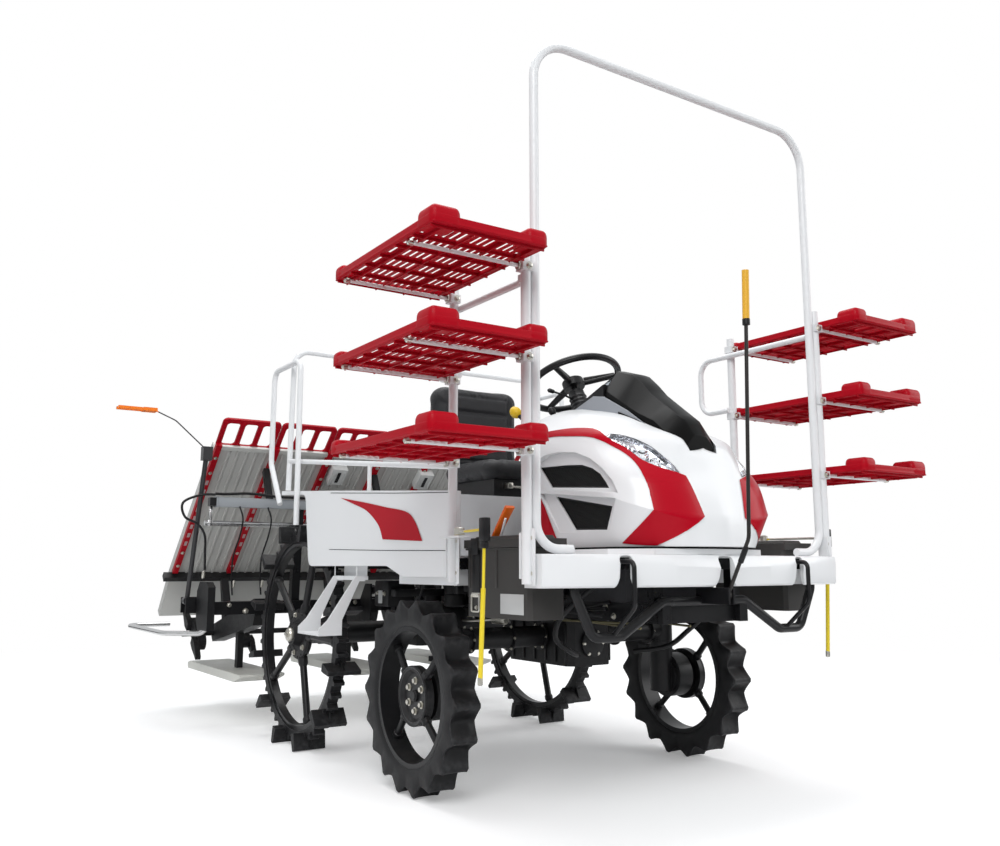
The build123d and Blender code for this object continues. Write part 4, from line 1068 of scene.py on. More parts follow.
@dataclass(frozen=True)
class NodeFinishes:
    """Gives every carried-over CAD node its finish.

    Attributes:
        front_pale: radii between which a front tyre's lugs pale.
        rear_pale: radii between which a rear tyre's paddles do.
    """

    front_pale: tuple[float, float] = (0.285, 0.32)
    rear_pale: tuple[float, float] = (0.41, 0.47)

    def wheel(self, name: str, inner: float, outer: float) -> RubberFinish:
        """Makes a rubber with pale tips round the axis of one CAD tyre.

        Args:
            name: the tyre's node.
            inner: radius where the tips start to pale.
            outer: radius where they are palest.

        Returns:
            The finish.
        """
        low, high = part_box(name)
        middle = (low + high) / 2
        return RubberFinish(
            f"{name}_rubber", (0.008, 0.008, 0.009), 0.5, shine=0.3, relief_scale=700.0,
            depth=0.0002, drift=0.25, spread=0.15, edge=0.004, wear=(0.085, 0.085, 0.09), rub=0.7,
            dust=0.03, axis_y=middle.y, axis_z=middle.z, inner=inner, outer=outer,
        )

    def table(self) -> dict[str, Finish]:
        """Lists the finish of each node.

        Returns:
            The finishes by the nodes' names.
        """
        finishes = {
            "front_axle_case": CASTING,
            "rear_axle_case": CASTING,
            "chassis_frame": CHASSIS,
            "front_bumper": CHASSIS,
            "engine_block": ENGINE,
            "floor_deck": WHITE_PAINT,
            "rear_body": WHITE_PAINT,
            "hood": WHITE_PAINT,
            "seat_base": COVER_PLASTIC,
            "seat_cushion": VINYL,
            "seat_back": VINYL,
            "overhead_arch": WHITE_TUBE,
            "rear_rails": WHITE_TUBE,
            "tool_box": BOX_PLASTIC,
            "battery_box": BOX_PLASTIC,
            "dash_panel": COVER_PLASTIC,
            "hood_visor": VISOR,
            "headlamps": LENS,
            "side_grilles": GRILLE,
            "steering_column": WHEEL_GRIP,
            "steering_wheel": WHEEL_GRIP,
            "lower_link": CHASSIS,
            "upper_link": CHASSIS,
            "lift_barrel": CHASSIS,
            "lift_rod": CHROME,
            "planting_frame": CHASSIS,
            "planting_cases": CASTING,
            "guard_pipes": BRIGHT,
            "planting_rotors": CASTING,
            "seedling_table": ALUMINIUM,
            "table_frames": FRAME_RED,
            "floats": FLOAT_PLASTIC,
            "planter_covers": COVER_PLASTIC,
            "centre_pole": TipFinish(
                "pole_black_and_yellow", (0.012, 0.010, 0.009), 0.4, start=1.512,
                tip=(0.78, 0.42, 0.03),
            ),
        }
        for side in Side:
            name = side.name.lower()
            finishes |= {
                f"front_tyre_{name}": self.wheel(f"front_tyre_{name}", *self.front_pale),
                f"rear_tyre_{name}": self.wheel(f"rear_tyre_{name}", *self.rear_pale),
                f"front_rim_{name}": RIM_BLACK,
                f"rear_rim_{name}": RIM_BLACK,
                f"final_case_{name}": CASTING,
                f"rack_frame_{name}": WHITE_TUBE,
                f"rack_trays_{name}": TRAY_RED,
                f"step_{name}": WHITE_STEP,
                f"side_marker_{name}": TipFinish(
                    f"side_marker_{name}_paint", (0.80, 0.62, 0.03), 0.34, start=0.885,
                    tip=(0.02, 0.02, 0.02),
                ),
                f"line_marker_{name}": TipFinish(
                    f"line_marker_{name}_paint", (0.03, 0.03, 0.032), 0.35, axis=0, start=1.17,
                    tip=(0.90, 0.20, 0.01),
                ),
            }
        return finishes

    def apply(self) -> None:
        """Assigns the finishes to the material slots of the CAD nodes."""
        for name, finish in self.table().items():
            node = frame["nodes"][name]
            for slot in node.material_slots:
                slot.material = finish.material()
            LOG.info("%s: %s", name, finish.name)


# Trim


def spread(points: Sequence[Sequence[float]] | Array, count: int) -> Array:
    """Spaces points evenly along the line through the given ones, by share of its length.

    Args:
        points: the given points (n, 3).
        count: how many points the result has.

    Returns:
        Points (count, 3).
    """
    knots = np.asarray(points, float)
    step = np.linalg.norm(np.diff(knots, axis=0), axis=1)
    share = np.concatenate(((0.0,), np.cumsum(step))) / step.sum()
    t = np.linspace(0, 1, count)
    return np.stack([np.interp(t, share, knots[:, axis]) for axis in range(3)], axis=1)


def between(first: Array, second: Array, rows: int) -> Array:
    """Fills the space between two lines of as many points with straight cross lines.

    Args:
        first: points (n, 3) of one edge.
        second: points (n, 3) of the other.
        rows: how many lines the result has.

    Returns:
        A grid (rows, n, 3): each row is a fixed share of the way from first to second.
    """
    share = np.linspace(0, 1, rows)[:, None, None]
    return first[None] * (1 - share) + second[None] * share


def real(points: Sequence[float] | Sequence[Sequence[float]] | Array) -> Array:
    """Turns millimetres counted from the front axle into metres in the row frame.

    Args:
        points: one point, or an array whose last axis is x, y and z.

    Returns:
        The same in metres, y counted from the row frame's origin.
    """
    values = np.asarray(points, float) / 1000
    values[..., 1] += AXLE_Y
    return values


def bevelled(
    shell: Shell,
    size: Array,
    bevel: float,
    foot: Sequence[float] | Array,
    axes: tuple[Array, Array, Array] = WORLD_AXES,
    mark: int = 0,
) -> None:
    """Adds a block with bevelled edges, all in metres.

    Args:
        shell: where it goes.
        size: its three sizes along the axes.
        bevel: width of the bevels, made less where the block is thin.
        foot: middle of its first face on the third axis.
        axes: its three unit axes.
        mark: index of the material.
    """
    edge = min(bevel, *(0.3 * size))
    outline = rounded_rectangle(size[0], size[1], edge, 2)
    levels = ((edge * 0.7, 0.0), (0.0, edge), (0.0, size[2] - edge), (edge * 0.7, size[2]))
    shell.closed(stack(outline, levels, foot, axes), mark)


def bar(
    shell: Shell, low: Sequence[float], high: Sequence[float], bevel: float = 0.0015
) -> None:
    """Adds a bevelled block between two corners.

    Args:
        shell: where it goes.
        low: its lowest corner, in millimetres from the front axle.
        high: its highest corner.
        bevel: width of the bevels in metres.
    """
    a, b = real((low, high))
    bevelled(shell, b - a, bevel, ((a[0] + b[0]) / 2, (a[1] + b[1]) / 2, a[2]))


def side_bar(
    shell: Shell, sign: int, near: Sequence[float], far: Sequence[float], bevel: float
) -> None:
    """Adds a bevelled block on one side of the machine.

    Args:
        shell: where it goes.
        sign: the side's sign of x.
        near: its lowest corner on the left side, in millimetres from the front axle.
        far: its highest corner there.
        bevel: width of the bevels in metres.
    """
    low, high = sorted((sign * near[0], sign * far[0]))
    bar(shell, (low, *near[1:]), (high, *far[1:]), bevel)


def wheel_ring(angle: Array) -> Array:
    """Unit circle round the x axis, as points (n, 3): zero, cosine and sine of each angle."""
    return np.stack((0 * angle, np.cos(angle), np.sin(angle)), axis=1)


def arc_through(first: Array, middle: Array, last: Array, count: int) -> Array:
    """Spaces points evenly on the circle through three points of a plane.

    Args:
        first: where the arc starts.
        middle: a point on it.
        last: where it ends.
        count: how many points, both ends included.

    Returns:
        Points (count, 2): the circle's middle is where the two chords' bisectors meet, and the
        angle runs from first to last past middle.
    """
    a, b, c = (np.asarray(p, float) for p in (first, middle, last))
    lines = 2 * np.stack((b - a, c - a))
    centre = np.linalg.solve(lines, np.array((b @ b - a @ a, c @ c - a @ a)))
    angles = [math.atan2(*(p - centre)[::-1]) for p in (a, b, c)]
    sweep = (angles[2] - angles[0]) % (2 * math.pi)
    if (angles[1] - angles[0]) % (2 * math.pi) > sweep:
        sweep -= 2 * math.pi
    turn = angles[0] + np.linspace(0, sweep, count)
    return centre + np.linalg.norm(a - centre) * np.stack((np.cos(turn), np.sin(turn)), axis=1)


def softened(points: Sequence[tuple[float, float]], radii: Sequence[float], steps: int = 5) -> Array:
    """Rounds the inner corners of an open line in a plane.

    Args:
        points: the line's corners.
        radii: radius at each inner corner.
        steps: points on each arc.

    Returns:
        The line with a quadratic curve at each corner that starts and ends where an arc of the
        radius would touch the two runs.
    """
    knots = np.asarray(points, float)
    out = [knots[:1]]
    share = np.linspace(0, 1, steps)[:, None]
    for before, corner, after, radius in zip(knots, knots[1:], knots[2:], radii):
        into, away = unit(before - corner), unit(after - corner)
        reach = radius / math.tan(math.acos(np.clip(into @ away, -1, 1)) / 2)
        start, end = corner + into * reach, corner + away * reach
        out.append((1 - share) ** 2 * start + 2 * share * (1 - share) * corner + share**2 * end)
    return np.vstack((*out, knots[-1:]))


def slab(
    outline: Sequence[tuple[float, float]] | Array, low: float, high: float, axis: int = 0
) -> Shell:
    """Makes a slab whose two faces are square to one axis, in millimetres from the front axle.

    Args:
        outline: its corners' places along the two other axes, in the order x, y, z.
        low: where one of its faces lies on the axis.
        high: where the other lies.
        axis: 0 for an outline in the side view, 1 in the front view, 2 in plan.

    Returns:
        The closed slab.
    """
    flat = np.asarray(outline, float)
    shell = Shell()
    shell.closed(real(np.stack([np.insert(flat, axis, level, axis=1) for level in (low, high)])))
    return shell


def counter_clockwise(outline: Sequence[tuple[float, float]] | Array) -> Array:
    """Turns an outline's order over where its area, by the sum of cross products, is negative.

    Args:
        outline: points (n, 2).

    Returns:
        The points in counter-clockwise order.
    """
    flat = np.asarray(outline, float)
    area = np.sum(flat[:, 0] * np.roll(flat[:, 1], -1) - flat[:, 1] * np.roll(flat[:, 0], -1))
    return flat[::-1] if area < 0 else flat


def carved(name: str, base: Shell, cuts: Sequence[Shell]) -> bpy.types.Mesh:
    """Takes solids away from a solid.

    Args:
        name: the new mesh's name.
        base: the solid that is cut.
        cuts: the solids that cut it, one after another.

    Returns:
        The new mesh.
    """
    scene = bpy.context.scene.collection.objects
    work = bpy.data.objects.new(f"{name}_work", base.mesh(f"{name}_work"))
    scene.link(work)
    tools = []
    for index, cut in enumerate(cuts):
        tool = bpy.data.objects.new(f"{name}_cut_{index}", cut.mesh(f"{name}_cut_{index}"))
        scene.link(tool)
        tools.append(tool)
        step = work.modifiers.new(f"cut_{index}", "BOOLEAN")
        step.operation = "DIFFERENCE"
        step.solver = "EXACT"
        step.object = tool
    bpy.context.view_layer.update()
    ready = work.evaluated_get(bpy.context.evaluated_depsgraph_get())
    mesh = bpy.data.meshes.new_from_object(ready)
    mesh.name = name
    for made in (work, *tools):
        data = made.data
        bpy.data.objects.remove(made)
        bpy.data.meshes.remove(data)
    mesh.polygons.foreach_set("use_smooth", [True] * len(mesh.polygons))
    mesh.set_sharp_from_angle(angle=math.radians(30))
    return mesh


def grown(outline: Sequence[tuple[float, float]], amount: float) -> Array:
    """Moves an outline's corners outwards by an amount, or inwards by a negative one.

    Args:
        outline: the corners (n, 2).
        amount: how far its edges move.

    Returns:
        The moved corners, counter-clockwise: each lies along the sum of its two edges' normals.
    """
    flat = counter_clockwise(outline)
    before, after = np.roll(flat, 1, axis=0), np.roll(flat, -1, axis=0)
    normals = []
    for start, end in ((before, flat), (flat, after)):
        step = (end - start) / np.linalg.norm(end - start, axis=1, keepdims=True)
        normals.append(np.stack((step[:, 1], -step[:, 0]), axis=1))
    both = normals[0] + normals[1]
    both /= np.maximum((both * normals[0]).sum(axis=1, keepdims=True), 0.35)
    return flat + amount * both


@dataclass(frozen=True)
class Bonnet:
    """White hood on its plinth, black visor, side grilles and instrument cowl.

    Attributes:
        levels: cuts through the hood, each (height at the nose, rise towards the back, keel,
            corner x, corner, bend x, bend, side x, side, back x), the plain names counted
            from the front axle.
        nose: where a cut's height is measured.
        back: the hood's back.
        visor: upright cuts of the visor, each (place, half width, low edge, shoulder, half
            the ridge, ridge height).
        seat: height of the cowl's foot.
        recess_x: distance of the recessed panels from the middle.
        floor_x: distance of the grilles' floors.
        upper_recess: outline of the upper recessed panel in the side view.
        lower_recess: outline of the lower one.
        upper_grille: outline of the upper grille.
        lower_grille: outline of the lower one.
    """

    levels: tuple[tuple[float, ...], ...] = (
        (815, 0, -854, 97, -842, 214, -764, 282, -640, 300),
        (906, 0.38, -849, 89, -836, 246, -794, 324, -672, 320),
        (1000, 0.30, -806, 112, -802, 252, -752, 314, -636, 312),
        (1085, 0.20, -764, 128, -760, 246, -672, 297, -560, 304),
        (1150, 0.13, -736, 100, -722, 226, -645, 278, -545, 290),
        (1194, 0.10, -632, 95, -620, 190, -560, 245, -460, 258),
        (1250, 0.06, -500, 90, -488, 165, -440, 205, -360, 215),
        (1318, 0, -300, 70, -292, 110, -270, 135, -235, 140),
    )
    nose: float = -835
    back: float = -180
    visor: tuple[tuple[float, ...], ...] = (
        (-742, 60, 1120, 1140, 30, 1172),
        (-705, 94, 1125, 1166, 38, 1229),
        (-632, 100, 1170, 1230, 38, 1283),
        (-557, 104, 1215, 1267, 38, 1339),
        (-515, 104, 1235, 1292, 38, 1381),
        (-468, 104, 1255, 1322, 40, 1420),
        (-385, 98, 1275, 1372, 40, 1446),
    )
    seat: float = 1240
    recess_x: float = 298
    floor_x: float = 286
    upper_recess: tuple[tuple[float, float], ...] = (
        (-262, 1020), (-258, 1049), (-260, 1107), (-326, 1131), (-397, 1134), (-481, 1125),
        (-559, 1097), (-621, 1061), (-669, 1019), (-692, 980),
    )
    lower_recess: tuple[tuple[float, float], ...] = (
        (-285, 1003), (-689, 962), (-621, 859), (-378, 868),
    )
    upper_grille: tuple[tuple[float, float], ...] = (
        (-268, 1095), (-419, 1090), (-499, 1084), (-551, 1069), (-592, 1047), (-620, 1018),
        (-634, 999), (-335, 1021),
    )
    lower_grille: tuple[tuple[float, float], ...] = (
        (-359, 989), (-649, 941), (-621, 869), (-462, 873),
    )

    def cut(self, row: tuple[float, ...]) -> Array:
        """Draws one cut of the hood.

        Args:
            row: one row of levels.

        Returns:
            Points (n, 3) in millimetres: a keel line, the cheek's arc, the side's arc and the
            back, and their mirror image. On the cut's own plane v runs back from the nose, so
            that y is nose + v cos(tilt) and z is height + v sin(tilt).
        """
        height, rise, keel, corner_x, corner, bend_x, bend, side_x, turn, back_x = row
        tilt = math.atan(rise)
        v = [(place - self.nose) / math.cos(tilt) for place in (keel, corner, bend, turn, self.back)]
        middle = ((side_x + back_x) / 2 + 3, (v[3] + v[4]) / 2)
        share = np.linspace(0, 1, 6)[:-1, None]
        keel_line = (1 - share) * (0.0, v[0]) + share * (corner_x, v[1])
        cheek = arc_through((corner_x, v[1]), (bend_x, v[2]), (side_x, v[3]), 25)[:-1]
        flank = arc_through((side_x, v[3]), middle, (back_x, v[4]), 17)[:-1]
        back = (1 - share) * (back_x, v[4]) + share * (0.0, v[4])
        half = np.vstack((keel_line, cheek, flank, back, ((0.0, v[4]),)))
        ring = np.vstack((half, half[-2:0:-1] * (-1, 1)))
        return np.c_[
            ring[:, 0], self.nose + ring[:, 1] * math.cos(tilt), height + ring[:, 1] * math.sin(tilt)
        ]

    def block(self) -> Shell:
        """Lofts the hood: straight from the first cut to the second, smooth through the rest.

        Returns:
            The closed block.
        """
        cuts = np.stack([self.cut(row) for row in self.levels])
        share = np.linspace(0, 1, 5)[:-1, None, None]
        foot = cuts[:1] * (1 - share) + cuts[1:2] * share
        shell = Shell()
        shell.closed(real(np.concatenate((foot, smooth_path(cuts[1:], 6)))))
        return shell

    def visor_form(self, grow: float) -> Shell:
        """Lofts the visor between its upright cuts, larger all round by an amount.

        Args:
            grow: the amount in millimetres; above 0 the form also reaches past both ends.

        Returns:
            The closed form.
        """
        rings = []
        for place, half, low, shoulder, ridge, high in self.visor:
            crown = arc_through((ridge, high + grow), (0, high + 4 + grow), (-ridge, high + grow), 7)
            flat = np.vstack((
                ((half + grow, low - grow), (half + grow, shoulder)), crown,
                ((-half - grow, shoulder), (-half - grow, low - grow)),
            ))
            rings.append(np.c_[flat[:, 0], np.full(len(flat), place), flat[:, 1]])
        grid = np.stack(rings)
        if grow:
            grid[0, :, 1] -= 12
            grid[-1, :, 1] += 12
        share = np.linspace(0, 1, 4)[:-1, None, None]
        rows = [a * (1 - share) + b * share for a, b in zip(grid, grid[1:])]
        shell = Shell()
        shell.closed(real(np.concatenate((*rows, grid[-1:]))))
        return shell

    def lamp_prism(self, side: Side, depth: float, above: float) -> Shell:
        """Makes the prism of a headlamp: from a depth below its plane to a height above it.

        Args:
            side: the lamp's side.
            depth: the depth in millimetres.
            above: the height.

        Returns:
            The closed prism.
        """
        lamp = Lamps()
        u, v, w = lamp.axes()
        flat = np.asarray(lamp.outline, float)
        ring = np.asarray(lamp.middle) + flat[:, :1] * u + flat[:, 1:] * v
        grid = np.stack((ring - depth * w, ring + above * w))
        grid[..., 0] *= -side.value
        shell = Shell()
        shell.closed(real(grid))
        return shell

    def grilles(self) -> None:
        """Makes the meshed panels, each framed by a thin black lip, and their wires."""
        shell = Shell()
        lips = Shell()
        for side in Side:
            g = side.value
            for outline in (self.upper_grille, self.lower_grille):
                x = sorted((g * (self.floor_x + 0.5), g * (self.floor_x + 4)))
                shell.take(slab(grown(outline, -1.0), *x))
                flat = grown(outline, -3.0)
                ring = np.c_[np.full(len(flat), g * (self.floor_x + 6)), flat]
                lips.tube(real(np.vstack((ring, ring[:2]))), 0.003, 8)
                inner = grown(outline, -4.0)
                low, high = inner.min(axis=0), inner.max(axis=0)
                for slope in (1, -1):
                    for start in np.arange(low[0] - 130, high[0] + 130, 11.0):
                        self.wire(shell, inner, (start, low[1]), slope, g)
        made = piece("hood_grilles", shell, GRILLE, "machine")
        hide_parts("side_grilles")
        piece("grille_lips", lips, COVER_PLASTIC, "machine")

    def wire(
        self, shell: Shell, outline: Array, start: tuple[float, float], slope: int, side: int
    ) -> None:
        """Adds one slanted wire where it lies in an outline.

        Args:
            shell: where it goes.
            outline: corners in the side view.
            start: a point of the wire's line.
            slope: 1 where it rises to the back, -1 where it falls.
            side: sign of x.
        """
        run = unit((1.0, 0.9 * slope))
        crossings = []
        for a, b in zip(outline, np.roll(outline, -1, axis=0)):
            matrix = np.stack((run, a - b), axis=1)
            if abs(np.linalg.det(matrix)) > 1e-9:
                t, s = np.linalg.solve(matrix, a - np.asarray(start))
                if 0 <= s <= 1:
                    crossings.append(t)
        crossings.sort()
        for low, high in zip(crossings[::2], crossings[1::2]):
            if high - low > 6:
                ends = [np.asarray(start) + run * t for t in (low, high)]
                x = side * (self.floor_x + 4.4 + 0.5 * slope)
                line = (ends[0], (ends[0] + ends[1]) / 2, ends[1])
                shell.tube(real([(x, *place) for place in line]), 0.0011, 5)

    def cowl(self) -> None:
        """Makes the instrument cowl and the panel that closes the hood's back."""
        shell = Shell()
        top = (
            (-384, self.seat + 0.3), (-384, 1392), (-315, 1366), (-222, 1328), (-120, 1296),
            (-120, 1250), (-140, self.seat + 0.3),
        )
        post = (
            (self.back + 0.3, 790.3), (self.back + 0.3, 1250), (-150, 1262), (-140, 1000),
            (-140, 790.3),
        )
        shell.take(slab(top, -105, 105))
        shell.take(slab(post, -160, 160))
        edge = ((296, 790.3), (316, 1150), (308, 1196), (286, 1235), (254, 1260), (211, 1289))
        ring = (*edge, *((-x, z) for x, z in reversed(edge)))
        shell.take(slab(ring, self.back + 0.3, self.back + 7.7, 1))
        made = piece("dash_cowl", shell, COVER_PLASTIC, "machine")
        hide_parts("dash_panel")

    def plinth(self) -> None:
        """Makes the white plinth between the deck and the hood, with its dark seam."""
        edge = (
            (-322, self.back - 2), (-322, -650), (-236, -768), (-110, -812), (0, -824),
            (110, -812), (236, -768), (322, -650), (322, self.back - 2),
        )
        shell = Shell()
        seam = Shell()
        for grow, low, high, target in ((0, 790.2, 809, shell), (-2.5, 809, 814.8, seam)):
            target.take(slab(grown(edge, grow), low, high, 2))
        half, start, end = Deck().well
        well = Shell()
        bar(well, (-half, start, 780), (half, end, 830), 0.001)
        mesh = carved("deck_plinth", shell, (well,))
        piece("deck_plinth", mesh, WHITE_PAINT, "machine")
        piece("hood_seam", carved("hood_seam", seam, (well,)), SHADOW_GAP, "machine")

    def build(self) -> None:
        """Cuts the hood from its block, and makes the visor, grilles, cowl and plinth."""
        block = self.block()
        cavity = slab(
            (
                (self.back + 10, 800), (self.back + 10, 1195), (-420, 1190), (-600, 1100),
                (-690, 1005), (-735, 900), (-700, 800),
            ),
            -235,
            235,
        )
        cuts = [cavity]
        for outline in (self.upper_recess, self.lower_recess):
            soft = grown(outline, 0.0)
            cuts.append(slab(soft, -self.recess_x - 60, -self.recess_x))
            cuts.append(slab(soft, self.recess_x, self.recess_x + 60))
        for outline in (self.upper_grille, self.lower_grille):
            cuts.append(slab(outline, -self.recess_x - 1, -self.floor_x))
            cuts.append(slab(outline, self.floor_x, self.recess_x + 1))
        cuts.extend(self.lamp_prism(side, 30, 80) for side in Side)
        cuts.append(self.visor_form(0.3))
        cowl = Shell()
        bar(cowl, (-105.3, -384.3, self.seat), (105.3, -100, self.seat + 120), 0.0001)
        cuts.append(cowl)
        made = piece(
            "hood_shell", carved("hood_shell", block, cuts), WHITE_PAINT, "machine"
        )
        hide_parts("hood")
        made = piece("visor_shell", self.visor_form(0), VISOR, "machine", 28.0)
        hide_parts("hood_visor")
        self.grilles()
        self.cowl()
        self.plinth()


@dataclass(frozen=True)
class Deck:
    """White floor deck: a faceted apron in front, rounded cut-outs for the hooks, hollow below.

    Attributes:
        top: height of the floor.
        bottom: height of the apron's lower edge.
        wall: thickness of the sheet.
        half: half the width of the front strip.
        front: the front edge in plan: its corner and its nose, from the front axle.
        plan: the rest of the right half of the edge.
        well: opening below the hood: half width, front and back.
        slots: cut-outs of the apron: middle, half width and back.
    """

    top: float = 790
    bottom: float = 694
    wall: float = 8
    half: float = 646
    front: tuple[float, float] = (-748, -828)
    plan: tuple[tuple[float, float], ...] = (
        (646, -665), (488, -665), (488, -262), (628, -262), (628, 140),
    )
    well: tuple[float, float, float] = (205, -620, -210)
    slots: tuple[tuple[float, float, float], ...] = ((-382, 22, -783), (0, 32, -798), (382, 22, -783))

    def ring(self, height: float, rise: float, out: float, bulge: float) -> Array:
        """Draws the deck's edge at one level.

        Args:
            height: height of the level at the apron's middle and of all that is not apron.
            rise: how much higher it lies at the apron's two ends.
            out: how far the apron stands out of its plan at the ends.
            bulge: how much further it stands out in the middle.

        Returns:
            Points (n, 3) in the row frame. With s the distance from the middle over half the
            width, the apron lies out + bulge (1 - s) in front of its arc in plan.
        """
        corner, nose = self.front
        arc = arc_through((self.half, corner), (0, nose), (-self.half, corner), 61)
        share = np.abs(arc[:, :1]) / self.half
        arc = arc + np.c_[np.zeros(len(arc)), -(out + bulge * (1 - share[:, 0]))]
        level = height + rise * share[:, 0]
        left = np.asarray(self.plan[::-1], float)
        right = left[::-1] * (-1, 1)
        flat = np.vstack((left, arc, right))
        z = np.concatenate((np.full(len(left), height), level, np.full(len(right), height)))
        return real(np.c_[flat, z])

    def slot(self, middle: float, half: float, back: float) -> Shell:
        """Makes the prism of one cut-out: round above, flared at the apron's lower edge.

        Args:
            middle: x of its middle.
            half: half its width.
            back: where it ends.

        Returns:
            The closed prism.
        """
        arch = rounded_rectangle(2 * half, 40, 14, 5)[:12] + (middle, self.top - 24)
        foot = ((middle - half, 722), (middle - half - 5, 707), (middle - half - 16, 690))
        other = [(2 * middle - x, z) for x, z in reversed(foot)]
        return slab(np.vstack((arch, foot, other)), -900, back, 1)

    def build(self) -> None:
        """Makes the deck."""
        drop = self.top - self.bottom
        levels = (
            (self.bottom, 0, -5, 0), (self.bottom + 5, 0, 0, 3), (self.top - 0.42 * drop, 20, 2, 14),
            (self.top - 4, 0, 0, 0), (self.top, 0, -4, 0),
        )
        deck = Shell()
        deck.closed(np.stack([self.ring(*level) for level in levels]))
        inner = self.ring(self.bottom - 2, 0, 0, 0)[:, :2] * 1000 - np.array((0, AXLE_Y * 1000))
        hollow = slab(grown(inner, -self.wall), self.bottom - 2, self.top - self.wall, 2)
        half, start, end = self.well
        well = Shell()
        bar(well, (-half, start, self.bottom - 5), (half, end, self.top + 5), 0.0001)
        passage = Shell()
        bar(passage, (-662, -302, self.bottom - 5), (662, -270, self.top - 8), 0.0001)
        cuts = [hollow, well, passage, *(self.slot(*slot) for slot in self.slots)]
        made = piece(
            "floor_deck_sheet", carved("floor_deck_sheet", deck, cuts), WHITE_PAINT, "machine",
        )
        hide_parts("floor_deck")


@dataclass(frozen=True)
class Flanks:
    """White body behind the floor: fender sides with a skirt, a sloping top and a seat step.

    Attributes:
        front: where the body starts.
        floor_back: where its sides stop widening.
        back: its back.
        front_half: half its width at the front.
        rear_half: half its width behind.
        inner_half: half the hollow's width.
        skirt: thickness of the side skirts.
        low: its lowest edge.
        sill: height of the skirts' lower edge.
        front_top: height at its front.
        rear_top: height at its back.
        heel: where the rear cut starts.
        seat_step: where the seat's step rises.
        floor: height of the floor.
    """

    front: float = -262
    floor_back: float = 640
    back: float = 1140
    front_half: float = 650
    rear_half: float = 703.7
    inner_half: float = 630
    skirt: float = 6
    low: float = 720
    sill: float = 757
    front_top: float = 1000
    rear_top: float = 1090
    heel: float = 585
    seat_step: float = 140
    floor: float = 790

    def plan(self) -> Shell:
        """Makes the body's outer form: its outline from above, raised to the top.

        Returns:
            The closed form.
        """
        outline = (
            (-self.front_half, self.front), (self.front_half, self.front),
            (self.rear_half, self.floor_back), (self.rear_half, self.back),
            (-self.rear_half, self.back), (-self.rear_half, self.floor_back),
        )
        return slab(outline, self.low, self.rear_top + 30, 2)

    def cuts(self) -> tuple[Shell, ...]:
        """Makes the solids that are cut from the outer form.

        Returns:
            What lies over the sloping top, between the skirts behind the heel, under the
            skirts, between the fenders, in the floor deck's room, and inside the seat's step.
        """
        wide = self.rear_half + 10
        over = (
            (self.front - 10, self.front_top), (self.back + 10, self.rear_top),
            (self.back + 10, self.rear_top + 60), (self.front - 10, self.rear_top + 60),
        )
        inner_heel = (
            (self.heel, self.low - 10), (self.heel, self.low + 42),
            (self.back, self.rear_top - 4), (self.back + 10, self.rear_top - 4),
            (self.back + 10, self.low - 10),
        )
        skirt_line = softened(
            (
                (10, self.low - 10), (40, self.low - 1), (150, self.sill), (806, self.sill),
                (862, 1056), (self.back + 20, self.rear_top - 18),
            ),
            (20, 60, 44, 40),
        )
        corners = ((self.back + 20, self.rear_top - 18), (self.back + 20, self.low - 14))
        under = np.vstack((skirt_line, corners, ((10, self.low - 14),)))
        cab = (
            (self.front - 10, self.low - 10), (self.front - 10, self.rear_top + 20),
            (self.seat_step, self.rear_top + 20), (self.seat_step, self.low - 10),
        )
        floor_room = (
            (self.front - 10, self.low - 12), (self.front - 10, self.floor + 0.3),
            (self.seat_step + 0.3, self.floor + 0.3), (self.seat_step + 0.3, self.low + 62),
            (self.heel - 14, self.low + 62), (self.heel - 14, self.low - 12),
        )
        hollow = (
            (self.seat_step + 8, self.low + 58), (self.seat_step + 8, self.front_top + 12),
            (self.back - 12, self.rear_top - 12), (self.heel + 4, self.low + 58),
        )
        return tuple(
            slab(outline, -half, half)
            for outline, half in (
                (over, wide), (inner_heel, self.rear_half - self.skirt), (under, wide + 1),
                (cab, self.front_half - 34), (floor_room, self.inner_half),
                (hollow, self.inner_half - 2),
            )
        )

    def hangers(self) -> None:
        """Makes the steps' hangers and the low uprights."""
        shell = Shell()
        for side in Side:
            g = side.value
            for x, low, high in ((642, 372, 578), (683, 374, 380), (683, 574, 580)):
                side_bar(shell, g, (x, low, 719.8), (x + 3, high, self.sill + 2), 0.0008)
            shell.tube(real([(g * 675, 305, z) for z in (1030, 1083, 1136)]), 0.008, 14)
        piece("step_hangers", shell, WHITE_TUBE, "machine")

    def build(self) -> None:
        """Cuts the body from its outer form and adds the hangers."""
        mesh = carved("body_shell", self.plan(), self.cuts())
        made = piece("body_shell", mesh, WHITE_PAINT, "machine")
        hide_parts("rear_body")
        self.hangers()


class Skin:
    """A surface that films and covers lie on."""

    def __init__(self, mesh: bpy.types.Mesh) -> None:
        """Puts a mesh's faces in a search tree.

        Args:
            mesh: the mesh, in the row frame.
        """
        points = [vertex.co for vertex in mesh.vertices]
        faces = [tuple(polygon.vertices) for polygon in mesh.polygons]
        self.tree = BVHTree.FromPolygons(points, faces)

    def lay(self, grid: Array, lift: float) -> Array:
        """Moves each point to the nearest place on the surface, then off it along its normal.

        Args:
            grid: points (rows, columns, 3).
            lift: how far off the surface they end, in metres.

        Returns:
            The moved grid, its columns turned over where needed so that its faces look out.
        """
        laid = np.empty_like(grid)
        outward = np.empty_like(grid)
        for index in np.ndindex(grid.shape[:2]):
            place, normal, _, _ = self.tree.find_nearest(Vector(grid[index]))
            laid[index] = place + normal * lift
            outward[index] = normal
        across = np.cross(laid[1:, :-1] - laid[:-1, :-1], laid[:-1, 1:] - laid[:-1, :-1])
        if (across * outward[:-1, :-1]).sum() > 0:
            laid = laid[:, ::-1]
        return laid


